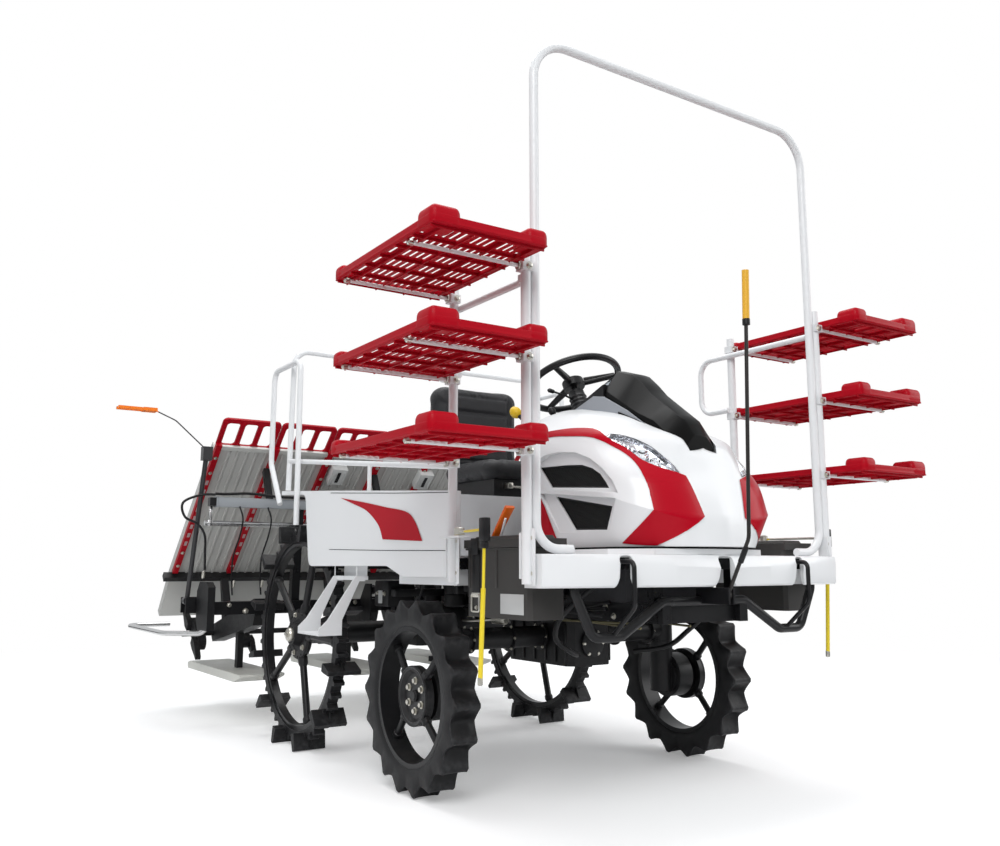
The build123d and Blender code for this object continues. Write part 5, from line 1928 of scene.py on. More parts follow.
@dataclass(frozen=True)
class Films:
    """Thin coloured films and fine dark gaps on the white body panels.

    Attributes:
        lift: height of a film over its panel.
        steps: columns between two given points of a film's edge.
        rows: lines across a film.
        gap: width of a panel gap.
        stripe_top: upper edge of the hood's stripe on the right side, from the hood's back
            round its nose to its foot.
        stripe_bottom: its lower edge, point for point.
        flash_front: front edge of the hood's small flash.
        flash_back: its back edge.
        sweep_top: upper edge of the body's sweep.
        sweep_bottom: its lower edge.
    """

    lift: float = 0.0020
    steps: int = 14
    rows: int = 41
    gap: float = 0.0022
    stripe_top: tuple[Point, ...] = (
        (-299, -245, 1213), (-283, -354, 1218), (-273, -434, 1217), (-269, -527, 1204),
        (-268, -586, 1170), (-263, -626, 1148), (-248, -665, 1124), (-227, -717, 1078),
        (-188, -758, 1053), (-120, -789, 1032), (-104, -815, 970), (-89, -836, 907),
        (-219, -761, 819),
    )
    stripe_bottom: tuple[Point, ...] = (
        (-309, -258, 1190), (-299, -348, 1193), (-293, -433, 1185), (-288, -515, 1175),
        (-283, -577, 1157), (-272, -622, 1134), (-258, -664, 1106), (-250, -705, 1070),
        (-257, -757, 1020), (-264, -785, 990), (-268, -796, 960), (-262, -800, 924),
        (-277, -668, 827),
    )
    flash_front: tuple[Point, ...] = ((-314, -255, 1047), (-309, -312, 957), (-298, -366, 843))
    flash_back: tuple[Point, ...] = ((-308, -247, 984), (-303, -264, 893), (-299, -293, 845))
    sweep_top: tuple[Point, ...] = (
        (-703, 512, 1021), (-689, 306, 991), (-679, 160, 967), (-670, 23, 945),
        (-665, -37, 911), (-662, -89, 840),
    )
    sweep_bottom: tuple[Point, ...] = (
        (-703, 512, 1021), (-696, 406, 992), (-689, 312, 965), (-685, 251, 933),
        (-682, 206, 898), (-680, 179, 852),
    )

    def film(self, name: str, edges: tuple[Array, Array], skin: Skin, finish: Finish) -> None:
        """Lays a film between two edges, and its twin on the machine's other side.

        Args:
            name: the film's name, to which the side is added.
            edges: its two edges on the right side, as many points each.
            skin: the surface that it lies on.
            finish: its finish.
        """
        for side in Side:
            turn = np.array((-side.value, 1.0, 1.0))
            grid = skin.lay(between(edges[0] * turn, edges[1] * turn, self.rows), self.lift)
            shell = Shell()
            shell.grid(grid)
            label = f"{name}_{side.name.lower()}"
            piece(label, shell, finish, "machine", outward=False)

    def seam(self, shell: Shell, points: Sequence[Point], skin: Skin) -> None:
        """Adds a panel gap: a dark strip along points, of the gap's width, on both sides.

        Args:
            shell: where it goes.
            points: its line on the right side, in millimetres from the front axle.
            skin: the surface that it lies on.
        """
        for side in Side:
            turn = np.array((-side.value, 1.0, 1.0))
            path = spread(real(points), 8 * len(points)) * turn
            slope = np.gradient(path, axis=0)
            wide = np.cross(slope, (1.0, 0.0, 0.0))
            wide *= self.gap / 2 / np.linalg.norm(wide, axis=1, keepdims=True)
            shell.grid(skin.lay(between(path - wide, path + wide, 2), self.lift * 0.6))

    def build(self) -> None:
        """Lays the hood's stripe and flash, the body's sweep and the panel gaps."""
        hood = Skin(Bonnet().block().mesh("hood_skin"))
        body = Skin(bpy.data.objects["body_shell"].data)
        curved = 10
        edges = []
        for points in (self.stripe_top, self.stripe_bottom):
            soft = smooth_path(real(points[:curved]), self.steps)
            stiff = [
                spread(real(points[i : i + 2]), 3 * self.steps + 1)[1:]
                for i in range(curved - 1, len(points) - 1)
            ]
            edges.append(np.vstack((soft, *stiff)))
        self.film("hood_stripe", (edges[0], edges[1]), hood, STRIPE_RED)
        flash = tuple(spread(real(p), 40) for p in (self.flash_front, self.flash_back))
        self.film("hood_flash", (flash[0], flash[1]), hood, STRIPE_RED)
        sweep = tuple(
            smooth_path(real(p), self.steps) for p in (self.sweep_top, self.sweep_bottom)
        )
        self.film("body_sweep", (sweep[0], sweep[1]), body, STRIPE_RED)
        gaps = Shell()
        self.seam(gaps, ((-650, -262, 806), (-679, 160, 812), (-709, 600, 822)), body)
        self.seam(gaps, ((-650, -262, 994), (-675, 100, 1014), (-709, 600, 1046)), body)
        piece("body_gaps", gaps, SHADOW_GAP, "machine", outward=False)


@dataclass(frozen=True)
class Lamps:
    """Headlamps: a clear cover over a bright bowl with round reflectors, bulbs and small lights.

    Attributes:
        outline: the cover's edge on its plane, in millimetres, its first axis up and back.
        middle: the plane's origin on the right side, counted from the front axle.
        first: the plane's first axis on the right side.
        normal: the plane's normal on the right side.
        cover: thickness of the cover.
        depth: how far the bowl reaches behind the cover's edge.
    """

    outline: tuple[tuple[float, float], ...] = (
        (-142, 5), (-91, 29), (-30, 36), (3, 27), (40, 15), (87, 7), (126, 5),
        (118, -19), (86, -25), (28, -29), (-25, -29), (-79, -16), (-119, -6),
    )
    middle: Point = (-214.5, -689.9, 1114.7)
    first: Point = (-0.517, 0.728, 0.450)
    normal: Point = (-0.529, -0.685, 0.500)
    cover: float = 0.0025
    depth: float = 0.024

    def axes(self) -> tuple[Array, Array, Array]:
        """Finds the plane's axes on the right side.

        Returns:
            Three unit axes: two on the plane, and its normal.
        """
        w = unit(self.normal)
        u = unit(np.asarray(self.first) - np.dot(self.first, w) * w)
        return u, np.cross(w, u), w

    def disc(self, share: Array, size: float) -> Array:
        """Spreads rings over the lamp's face: the outline scaled by each share.

        Args:
            share: scale of each ring, 0 at the middle.
            size: scale of the whole face.

        Returns:
            Points (rings, n, 3) on the lamp's plane in the row frame.
        """
        edge = np.asarray(self.outline + self.outline[:1], float)
        ring = spread(np.c_[edge, np.zeros(len(edge))], 79)[:-1, :2] / 1000
        u, v, _ = self.axes()
        flat = ring[:, :1] * u + ring[:, 1:] * v
        return real(self.middle) + size * share[:, None, None] * flat[None]

    def cast(self, skin: Skin, grid: Array, sink: float) -> Array:
        """Drops a grid along the lamp's normal on the skin, and sinks it below by a depth.

        Args:
            skin: the surface.
            grid: points (rows, columns, 3).
            sink: the depth in metres.

        Returns:
            The moved grid.
        """
        w = self.axes()[2]
        out = grid.copy()
        for index in np.ndindex(grid.shape[:2]):
            hit = skin.tree.ray_cast(Vector(grid[index] + 0.1 * w), Vector(-w))[0]
            if hit is not None:
                out[index] = hit
        return out - sink * w

    def inside(self, rim: Array) -> tuple[Shell, Shell]:
        """Makes what lies behind the right cover.

        Args:
            rim: the bowl's edge (n, 3) in the row frame.

        Returns:
            The bowl with two reflectors and five small ones, which have mark 1, and the bulbs.
        """
        u, v, w = self.axes()
        centre = rim.mean(axis=0)
        rings = [rim, rim + (centre - rim) * 0.025 - 0.001 * w]
        for share, sunk in ((0.05, 0.9), (0.12, 1.0), (0.5, 1.0), (0.98, 1.0)):
            rings.append(rim + (centre - rim) * share - self.depth * sunk * w)
        bowl = Shell()
        bowl.grid(np.stack(rings), loop=True)
        bulbs = Shell()
        arc = np.linspace(0, math.pi / 2, 7)[:-1]
        bulb = [(0.005, 0.001), *((0.005 * math.cos(a), 0.006 + 0.008 * math.sin(a)) for a in arc)]
        for along_u, along_v, radius in ((-0.052, 0.010, 0.017), (-0.006, 0.004, 0.020)):
            seat = centre + along_u * u + along_v * v - (self.depth - 0.002) * w
            profile = [(radius * a, 0.014 * a * a) for a in np.linspace(0.08, 1.0, 9)]
            profile += [(radius + 0.0015, 0.014), (radius + 0.0015, 0.002)]
            bowl.closed(turned(profile, seat, w, 28), 1)
            bulbs.closed(turned(bulb, seat, w, 16))
        for index in range(5):
            seat = centre + (0.034 + 0.015 * index) * u - 0.004 * v - (self.depth - 0.003) * w
            bowl.closed(turned(((0.0055, 0), (0.0055, 0.008), (0.004, 0.009)), seat, w, 12), 1)
            bulbs.closed(turned(((0.0032, 0.009), (0.0026, 0.0115)), seat, w, 10))
        return bowl, bulbs

    def build(self) -> None:
        """Makes the covers, which stand for the CAD lamps, and what lies behind them."""
        skin = Skin(Bonnet().block().mesh("lamp_skin"))
        outer = self.cast(skin, self.disc(np.linspace(0.02, 1.0, 9), 0.975), 0.0004)
        inner = outer - self.cover * self.axes()[2]
        covers = Shell()
        covers.closed(np.vstack((outer, inner[::-1])))
        rim = self.cast(skin, self.disc(np.array((1.0,)), 0.985), 0.0006)[0]
        bowl, bulbs = self.inside(rim)
        made = piece("headlamp_covers", covers.paired(), LENS, "machine")
        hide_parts("headlamps")
        piece("lamp_bowls", bowl.paired(), (LAMP_BOWL, REFLECTOR), "machine")
        piece("lamp_bulbs", bulbs.paired(), BULB, "machine")


@dataclass(frozen=True)
class HoodTrim:
    """Silver-grey fins beside the visor, the visor's rear screen and the hood's fixings.

    Attributes:
        fin_x: distance of a fin's inner face from the middle.
        fin_thickness: thickness of a fin.
        fin: outline of a fin in the side view, y counted from the front axle.
        slit: outline of the dark vent along the fin's lower edge.
    """

    fin_x: float = 0.1056
    fin_thickness: float = 0.004
    fin: tuple[tuple[float, float], ...] = (
        (-224, 1322), (-334, 1357), (-392, 1346), (-513, 1281), (-640, 1196), (-528, 1246),
        (-442, 1280), (-330, 1306),
    )
    slit: tuple[tuple[float, float], ...] = (
        (-470, 1282), (-560, 1243), (-672, 1181), (-560, 1219), (-470, 1262),
    )

    def leaf(
        self, shell: Shell, outline: Sequence[tuple[float, float]], x: float, thick: float
    ) -> None:
        """Adds a flat piece whose face lies at x, its outline in the side view.

        Args:
            shell: where it goes.
            outline: its corners in millimetres from the front axle.
            x: the face's x in metres.
            thick: its thickness in metres.
        """
        flat = counter_clockwise(np.asarray(outline, float) / 1000 + np.array((AXLE_Y, 0.0)))
        axes = (np.array((0.0, 1.0, 0.0)), np.array((0.0, 0.0, 1.0)), np.array((1.0, 0.0, 0.0)))
        bevel = min(0.0008, abs(thick) / 3)
        levels = ((bevel, 0.0), (0.0, bevel), (0.0, thick - bevel), (bevel, thick))
        shell.closed(stack(flat, levels, (x, 0.0, 0.0), axes))

    def screen(self) -> None:
        """Makes the bowed screen behind the visor, its bow the root of 1 - 0.82 half squared."""
        half = np.linspace(-1, 1, 25)
        level = np.zeros(len(half))
        bow = np.sqrt(np.clip(1 - 0.82 * half**2, 0, 1))
        foot = np.stack((0.092 * half, level + AXLE_Y - 0.383, 1.372 + 0.06 * bow), axis=1)
        head = foot + np.stack((level, 0.062 - 0.01 * bow, -0.050 * bow + 0.004), axis=1)
        thick = np.array((0.0, -0.0012, -0.0022))
        shell = Shell()
        rows = between(foot, head, 6)
        shell.closed(np.stack([np.vstack((row, (row + thick)[::-1])) for row in rows]))
        piece("visor_screen", shell, SCREEN_BLUE, "machine")

    def build(self) -> None:
        """Makes the fins, the vents, the screen and the fixings."""
        fins = Shell()
        slits = Shell()
        for side in Side:
            start = self.fin_x if side is Side.LEFT else -self.fin_x - self.fin_thickness
            self.leaf(fins, self.fin, start, self.fin_thickness)
            dark = start + (self.fin_thickness if side is Side.LEFT else -0.003)
            self.leaf(slits, self.slit, dark, 0.003)
        piece("hood_fins", fins, SCREEN_GREY, "machine")
        piece("hood_vents", slits, VISOR, "machine")
        self.screen()
        fixings = Shell()
        for side in Side:
            x = side.value
            spots = real(((x * 322, -230, 1128), (x * 318, -240, 862)))
            fixings.bolts(spots, (x, 0, 0), 0.010, 0.004)
        piece("hood_fixings", fixings, ZINC, "machine")


@dataclass(frozen=True)
class FrontWheel:
    """Front tyre with scooped lugs, and its hub bolts, boss and spoke sleeves.

    Attributes:
        lugs: lugs round the tyre.
        tip: radius at the lugs' tips.
        shoulder: depth between the lugs along the tyre's two edges.
        hollow: depth between them along its middle.
        half: half the width over the lugs.
        scoop: how hollow the flanks are; 1 would be straight.
        plateau: share of half a pitch that a tip's flat takes.
        per_lug: columns round the tyre for each lug.
        bolt_circle: radius of the six hub bolts.
    """

    lugs: int = 18
    tip: float = 0.3248
    shoulder: float = 0.026
    hollow: float = 0.050
    half: float = 0.0498
    scoop: float = 1.5
    plateau: float = 0.10
    per_lug: int = 18
    bolt_circle: float = 0.050

    def tyre(self, middle: Array) -> Array:
        """Builds the tyre as one ring of closed sections.

        The share s of a lug's height is (1 - p) to the power scoop, where p goes from 0 on a
        lug's flat tip to 1 halfway to the next. The depth between lugs grows from the tyre's
        edges to its middle as 1 - u to the fourth, so that each pocket is scooped both ways and
        a ridge joins the lugs along the edges. The tip itself sags a little in the middle.

        Args:
            middle: the wheel's middle in the row frame.

        Returns:
            Points (columns round the tyre, section, 3).
        """
        angle = np.linspace(0, 2 * math.pi, self.lugs * self.per_lug + 1)
        phase = angle / (2 * math.pi) * self.lugs - 0.5
        away = 2 * np.abs(phase - np.round(phase))
        p = np.clip((away - self.plateau) / (1 - self.plateau), 0, 1)[:, None]
        s = (1 - p) ** self.scoop
        half = np.array((0.25, 0.5, 0.72, 0.88, 0.96, 1.0))
        u = np.concatenate((-half[::-1], (0.0,), half))[None]
        dome = 1 - np.abs(u) ** 4
        depth = self.shoulder + (self.hollow - self.shoulder) * dome
        corner = 0.010 * np.clip((np.abs(u) - 0.88) / 0.12, 0, 1) ** 2
        radius = self.tip - depth * (1 - s) - 0.004 * dome * s - corner
        across = u * (self.half * (0.93 + 0.07 * np.sqrt(s)))
        side = np.array(((0.252, 0.045), (0.240, 0.0435), (0.2325, 0.038)))
        wall_r = np.broadcast_to(side[:, 0], (len(angle), 3))
        wall_x = np.broadcast_to(side[:, 1], (len(angle), 3))
        r = np.hstack((wall_r[:, ::-1], radius, wall_r))
        x = np.hstack((-wall_x[:, ::-1], across, wall_x))
        a = angle[:, None] - math.pi / 2
        return middle + np.stack((x, r * np.cos(a), r * np.sin(a)), axis=2)

    def hub(self, side: Side, middle: Array) -> None:
        """Makes the hub's bolts, its boss and lip, and the sleeves of the four spokes.

        Args:
            side: the wheel's side.
            middle: the wheel's middle in the row frame.
        """
        label = side.name.lower()
        body = f"front_wheel_{label}"
        axis = np.array((side.value, 0.0, 0.0))
        face = middle + axis * 0.0125
        bolts = Shell()
        spots = wheel_ring(math.pi / 6 + np.arange(6) * math.pi / 3)
        bolts.bolts(face + self.bolt_circle * spots, axis, 0.018, 0.011)
        piece(f"front_hub_bolts_{label}", bolts, ZINC, body)
        dark = Shell()
        boss = ((0.020, 0), (0.020, 0.006), (0.017, 0.009), (0.004, 0.0095))
        dark.closed(turned(boss, face, axis, 20))
        lip = (
            (0.0985, 0.0), (0.1005, 0.004), (0.1005, 0.012), (0.096, 0.0155), (0.090, 0.0135),
            (0.088, 0.004),
        )
        dark.grid(turned(lip, face, axis, 48), loop=True)
        for turn in np.radians((45, 135, 225, 315)):
            ray = np.array((0.0, math.cos(turn), math.sin(turn)))
            near = middle + 0.092 * ray + axis * 0.011
            run = middle + 0.216 * ray - near
            for share, size in ((0.02, 0.017), (0.84, 0.0165)):
                sleeve = ((0.0125, -0.002), (size, 0), (size, 0.018), (0.0125, 0.024))
                dark.closed(turned(sleeve, near + run * share, run, 18))
        piece(f"front_rim_sleeves_{label}", dark, RIM_BLACK, body)

    def build(self) -> None:
        """Makes both wheels' pieces."""
        for side in Side:
            label = side.name.lower()
            low, high = (np.array(corner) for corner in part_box(f"front_tyre_{label}"))
            middle = (low + high) / 2
            body = f"front_wheel_{label}"
            shell = Shell()
            shell.grid(self.tyre(middle), loop=True)
            finishes = NodeFinishes()
            rubber = finishes.wheel(f"front_tyre_{label}", *finishes.front_pale)
            made = piece(f"front_tyre_lugged_{label}", shell, rubber, body, 50.0)
            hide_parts(f"front_tyre_{label}")
            self.hub(side, middle)


@dataclass(frozen=True)
class RearWheel:
    """Hub casting with its holes, axle end, paddle ribs and spoke sleeves of a rear wheel.

    Attributes:
        paddles: paddles round the wheel.
        root: radius where the ribs start.
        holes: small holes round the hub.
        spokes: spokes of the wheel.
        first_spoke: degrees from +Y to the first of them.
    """

    paddles: int = 12
    root: float = 0.424
    holes: int = 15
    spokes: int = 5
    first_spoke: float = 38

    def ribs(self, middle: Array) -> Shell:
        """Makes a tapered rib on both faces of each paddle.

        Args:
            middle: the wheel's middle in the row frame.

        Returns:
            The ribs.
        """
        web = np.array(((0.0, 0.0), (0.030, 0.0), (0.006, 0.046), (0.0, 0.050)))
        levels = ((0.001, -0.004), (0.0, -0.003), (0.0, 0.003), (0.001, 0.004))
        made = Shell()
        for index in range(self.paddles):
            turn = math.pi / self.paddles * (2 * index + 1) - math.pi / 2
            ray = np.array((0.0, math.cos(turn), math.sin(turn)))
            flank = np.array((0.0, -math.sin(turn), math.cos(turn)))
            for facing in (-1, 1):
                foot = middle + ray * self.root + flank * facing * 0.006
                axes = (flank * facing, ray, np.cross(flank * facing, ray))
                made.closed(stack(web, levels, foot, axes))
        return made

    def hub(self, middle: Array, axis: Array) -> Shell:
        """Makes the hub casting and the sleeves at both ends of the spokes.

        Args:
            middle: the wheel's middle in the row frame.
            axis: the way out from the machine.

        Returns:
            The casting.
        """
        profile = (
            (0.046, -0.040), (0.060, -0.032), (0.078, -0.006), (0.104, 0.004), (0.108, 0.010),
            (0.104, 0.0165), (0.072, 0.0175), (0.066, 0.013), (0.052, 0.013), (0.047, 0.030),
            (0.044, 0.047), (0.036, 0.0475),
        )
        made = Shell()
        made.grid(turned(profile, middle, axis, 48), loop=True)
        for index in range(self.spokes):
            turn = math.radians(self.first_spoke + 72 * index)
            ray = np.array((0.0, math.cos(turn), math.sin(turn)))
            for start, size, long in ((0.098, 0.021, 0.040), (0.352, 0.0195, 0.026)):
                sleeve = ((0.0155, -0.004), (size, 0.002), (size, long * 0.7), (0.0155, long))
                made.closed(turned(sleeve, middle + start * ray, ray, 18))
        return made

    def axle_end(self, middle: Array, axis: Array) -> Shell:
        """Makes the hub's bolts, the axle's cap and the pin across it.

        Args:
            middle: the wheel's middle in the row frame.
            axis: the way out from the machine.

        Returns:
            The bright parts.
        """
        made = Shell()
        angle = np.arange(self.spokes) * 2 * math.pi / self.spokes
        angle = angle + math.radians(self.first_spoke + 36)
        made.bolts(middle + axis * 0.0175 + 0.084 * wheel_ring(angle), axis, 0.017, 0.010)
        cap = (
            (0.030, 0.0), (0.030, 0.010), (0.026, 0.016), (0.012, 0.018), (0.011, 0.024),
            (0.004, 0.026),
        )
        made.closed(turned(cap, middle + axis * 0.046, axis, 24))
        ends = np.array(((0.0, -0.046, 0.0), (0.0, 0.046, 0.0)))
        made.tube(middle + axis * 0.056 + ends, 0.004)
        return made

    def dots(self, middle: Array, axis: Array) -> Shell:
        """Makes the ring of small holes round the hub, each drawn as painted shade.

        Args:
            middle: the wheel's middle in the row frame.
            axis: the way out from the machine.

        Returns:
            A thin dark disc for each hole: painted shade for its dark inside.
        """
        made = Shell()
        angle = np.arange(self.holes) * 2 * math.pi / self.holes
        # Painted shade: a flat dark disc stands for the shaded inside of each hole.
        dot = ((0.0045, 0), (0.0045, 0.0006), (0.0005, 0.0006))
        for spot in middle + axis * 0.0172 + 0.0955 * wheel_ring(angle):
            made.closed(turned(dot, spot, axis, 12))
        return made

    def build(self) -> None:
        """Makes both wheels' pieces."""
        for side in Side:
            label = side.name.lower()
            low, high = (np.array(corner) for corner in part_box(f"rear_tyre_{label}"))
            middle = (low + high) / 2
            body = f"rear_wheel_{label}"
            axis = np.array((side.value, 0.0, 0.0))
            for name, shell, finish, slot in (
                ("rear_paddle_ribs", self.ribs(middle), RIM_BLACK, "rim_black"),
                ("rear_hub_casting", self.hub(middle, axis), CASTING, "rim_black"),
                ("rear_axle_end", self.axle_end(middle, axis), ZINC, "guard_steel"),
                ("rear_hub_holes", self.dots(middle, axis), SHADOW_GAP, "rim_black"),
            ):
                piece(f"{name}_{label}", shell, finish, body)


@dataclass(frozen=True)
class RackTrim:
    """Red trays with slotted floors and corner stops, and the racks' caps, collars and plates.

    Attributes:
        tiers: heights of the tray rods.
        inner: distance of a tray's inner edge from the middle.
        outer: distance of its outer edge.
        front: a tray's front edge, counted from the front axle.
        back: a tray's back edge.
        rods: where the two rods of a tier run.
        floor: height of a tray's underside over its rods' middle.
        rim: section of a tray's rolled rim: (distance in from its outline, height).
        stops: each rounded corner stop: middle (x, y), widths and height.
    """

    tiers: tuple[float, ...] = (1085, 1360, 1635)
    inner: float = 692
    outer: float = 1072
    front: float = -862
    back: float = -232
    rods: tuple[float, float] = (-700, -286)
    floor: float = 6.3
    rim: tuple[tuple[float, float], ...] = (
        (5, 0), (1, 5), (2.5, 14), (0, 22), (1, 25), (4, 26), (8, 25), (9.5, 20), (10, 7), (9, 1),
        (5, 0),
    )
    stops: tuple[tuple[tuple[float, float], tuple[float, float], float], ...] = (
        ((1025, -815), (92, 92), 54), ((729, -816), (72, 90), 50), ((1040, -262), (62, 58), 44),
        ((722, -262), (58, 58), 34),
    )

    def floor_bars(self, shell: Shell, middle: float, under: float) -> None:
        """Adds one tray's slotted floor: long and cross bars over thin upright ribs.

        Args:
            shell: where it goes.
            middle: x of the tray's middle.
            under: height of the tray's underside.
        """
        width = self.outer - self.inner
        for x in middle + np.arange(-width / 2 + 14, width / 2 - 8, 22.0):
            bar(shell, (x - 6, self.front + 6, under + 2), (x + 6, self.back - 6, under + 6), 0.001)
        left, right = middle - width / 2 + 6, middle + width / 2 - 6
        centre = (self.front + self.back) / 2
        rows = np.linspace(self.front + 20, self.back - 20, 7)
        for y in rows:
            half = 17 if abs(y - centre) < 5 or y in (rows[0], rows[-1]) else 11
            bar(shell, (left, y - half, under + 1.6), (right, y + half, under + 6.4), 0.001)
            if min(abs(y - rod) for rod in self.rods) > 16:
                bar(shell, (left, y - 2, under - 7), (right, y + 2, under + 3), 0.001)
        for x in (middle - 150, middle - 50, middle + 50, middle + 150):
            for start, end in (
                (self.front + 20, self.rods[0] - 14),
                (self.rods[0] + 14, self.rods[1] - 14),
                (self.rods[1] + 14, self.back - 14),
            ):
                bar(shell, (x - 2, start, under - 9), (x + 2, end, under + 3), 0.001)

    def trays(self, side: Side) -> None:
        """Makes one side's trays: slotted floors, rims and rounded corner stops.

        Args:
            side: the side of the machine.
        """
        shell = Shell()
        g = side.value
        middle = g * (self.inner + self.outer) / 2
        centre = (self.front + self.back) / 2
        wall = rounded_rectangle(self.outer - self.inner, self.back - self.front, 24, 5)
        for tier in self.tiers:
            under = tier + self.floor
            rings = [
                np.insert(pulled_in(wall, inset) + (middle, centre), 2, under + z, axis=1)
                for inset, z in self.rim
            ]
            shell.grid(real(np.stack(rings)), loop=True)
            self.floor_bars(shell, middle, under)
            for place, size, high in self.stops:
                self.stop(shell, (g * place[0], place[1], under), size, high)
        name = side.name.lower()
        made = piece(f"rack_tray_set_{name}", shell, TRAY_RED, "machine", 40.0)
        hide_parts(f"rack_trays_{name}")

    def stop(
        self, shell: Shell, place: Sequence[float], size: tuple[float, float], high: float
    ) -> None:
        """Adds one rounded stop that rises from a tray's corner.

        Args:
            shell: where it goes.
            place: middle of its foot.
            size: its width across and along the machine.
            high: height of its top over the tray's underside.
        """
        outline = rounded_rectangle(size[0] / 1000, size[1] / 1000, 0.018, 5)
        levels = [(0.004, 0.001), (0.0, 0.006), (0.0, 0.6 * high / 1000)]
        for share in (0.2, 0.4, 0.6, 0.8, 0.92, 1.0):
            turn = share * math.pi / 2
            levels.append((0.014 * (1 - math.cos(turn)), (0.6 + 0.4 * math.sin(turn)) * high / 1000))
        shell.closed(stack(outline, levels, real(place), WORLD_AXES))

    def fixings(self, side: Side) -> None:
        """Makes the rod caps, collars, bolts and foot plates of one side.

        Args:
            side: the side of the machine.
        """
        shell = Shell()
        out = np.array((side.value, 0.0, 0.0))
        for tier in self.tiers:
            for rod in self.rods:
                end = real((side.value * 1052, rod, tier))
                cap = ((0.0062, -0.012), (0.0085, -0.010), (0.0085, 0.004), (0.006, 0.0065))
                shell.closed(turned(cap, end, out, 16))
                root = real((side.value * 684, rod, tier))
                collar = ((0.0062, 0.0), (0.0125, 0.001), (0.0125, 0.008), (0.0062, 0.009))
                shell.closed(turned(collar, root, out, 18))
                for face in (-1, 1):
                    spot = real((side.value * 662, rod + face * 19, tier))
                    shell.bolts(spot, (0, face, 0), 0.016, 0.009)
        for rod in self.rods:
            for height in (735, 835):
                spot = real((side.value * 652.4, rod - 12, height))
                shell.bolts(spot, out, 0.014, 0.006)
        piece(f"rack_fixings_{side.name.lower()}", shell, ZINC, "machine")
        plates = Shell()
        for rod in self.rods:
            side_bar(plates, side.value, (652.6, rod - 30, 700), (655.6, rod + 4, 862), 0.001)
            side_bar(plates, side.value, (646.5, rod + 16, 720), (676, rod + 19, 850), 0.001)
        piece(f"post_plates_{side.name.lower()}", plates, WHITE_TUBE, "machine")

    def build(self) -> None:
        """Makes the trays and the fixings of both sides."""
        for side in Side:
            self.trays(side)
            self.fixings(side)


@dataclass(frozen=True)
class BoxTrim:
    """Strap, buckle, blank plate and ribs of the side boxes, and the orange handle behind.

    Attributes:
        face: distance of a box's outer face from the middle.
        strap: the strap's reach along the box, counted from the front axle.
    """

    face: float = 622
    strap: tuple[float, float] = (-392, -350)

    def holder(self, sign: int, label: str) -> None:
        """Makes one box's strap and buckle.

        Args:
            sign: the side's sign of x.
            label: the side's name.
        """
        start, end = self.strap
        straps = Shell()
        for near, far, low, high, bevel in (
            (0.2, 3.2, 664, 806, 0.001), (6, 11, 792, 842, 0.002), (-50, 10, 839, 843, 0.001)
        ):
            side_bar(
                straps, sign, (self.face + near, start, low), (self.face + far, end, high), bevel
            )
        piece(f"box_strap_{label}", straps, STRAP, "machine")
        metal = Shell()
        flat = rounded_rectangle(44, 52, 6, 4) + ((start + end) / 2, 642)
        ring = np.insert(flat, 0, sign * (self.face + 5), axis=1)
        metal.tube(real(np.vstack((ring, ring[:2]))), 0.0032, 8)
        side_bar(metal, sign, (622.4, start - 2, 660), (627, end + 2, 674), 0.001)
        metal.bolts(real((sign * (self.face + 0.4), -371, 628)), (sign, 0, 0), 0.010, 0.005)
        piece(f"box_buckle_{label}", metal, ZINC, "machine")

    def dress(self, sign: int, label: str) -> None:
        """Makes one box's blank plate and ribs.

        Args:
            sign: the side's sign of x.
            label: the side's name.
        """
        plate = Shell()
        side_bar(plate, sign, (self.face + 0.2, -628, 615), (self.face + 1.2, -506, 674), 0.0004)
        piece(f"box_plate_{label}", plate, PLATE, "machine")
        ribs = Shell()
        for y in (-640, -484, -328):
            side_bar(ribs, sign, (self.face - 2, y - 5, 690), (self.face + 3, y + 5, 808), 0.002)
        side_bar(ribs, sign, (500, -658, 806), (627, -309, 811.5), 0.002)
        piece(f"box_ribs_{label}", ribs, BOX_PLASTIC, "machine")

    def build(self) -> None:
        """Makes both boxes' trim and the orange handle."""
        for side in Side:
            self.holder(side.value, side.name.lower())
            self.dress(side.value, side.name.lower())
        grip = Shell()
        path = smooth_path(real(((-575, -404, 846), (-575, -440, 886), (-575, -487, 938))), 6)
        section = rounded_rectangle(0.012, 0.036, 0.0055, 4)
        size = np.linspace(0.8, 1.0, len(path))[:, None, None]
        grip.closed(along(path, section[None] * size))
        piece("orange_handle", grip, ORANGE, "machine")
        stem = Shell()
        line = real(((-585, -450, 847), (-590, -470, 868), (-600, -500, 900)))
        stem.tube(smooth_path(line), 0.004)
        piece("handle_stem", stem, WHITE_TUBE, "machine")


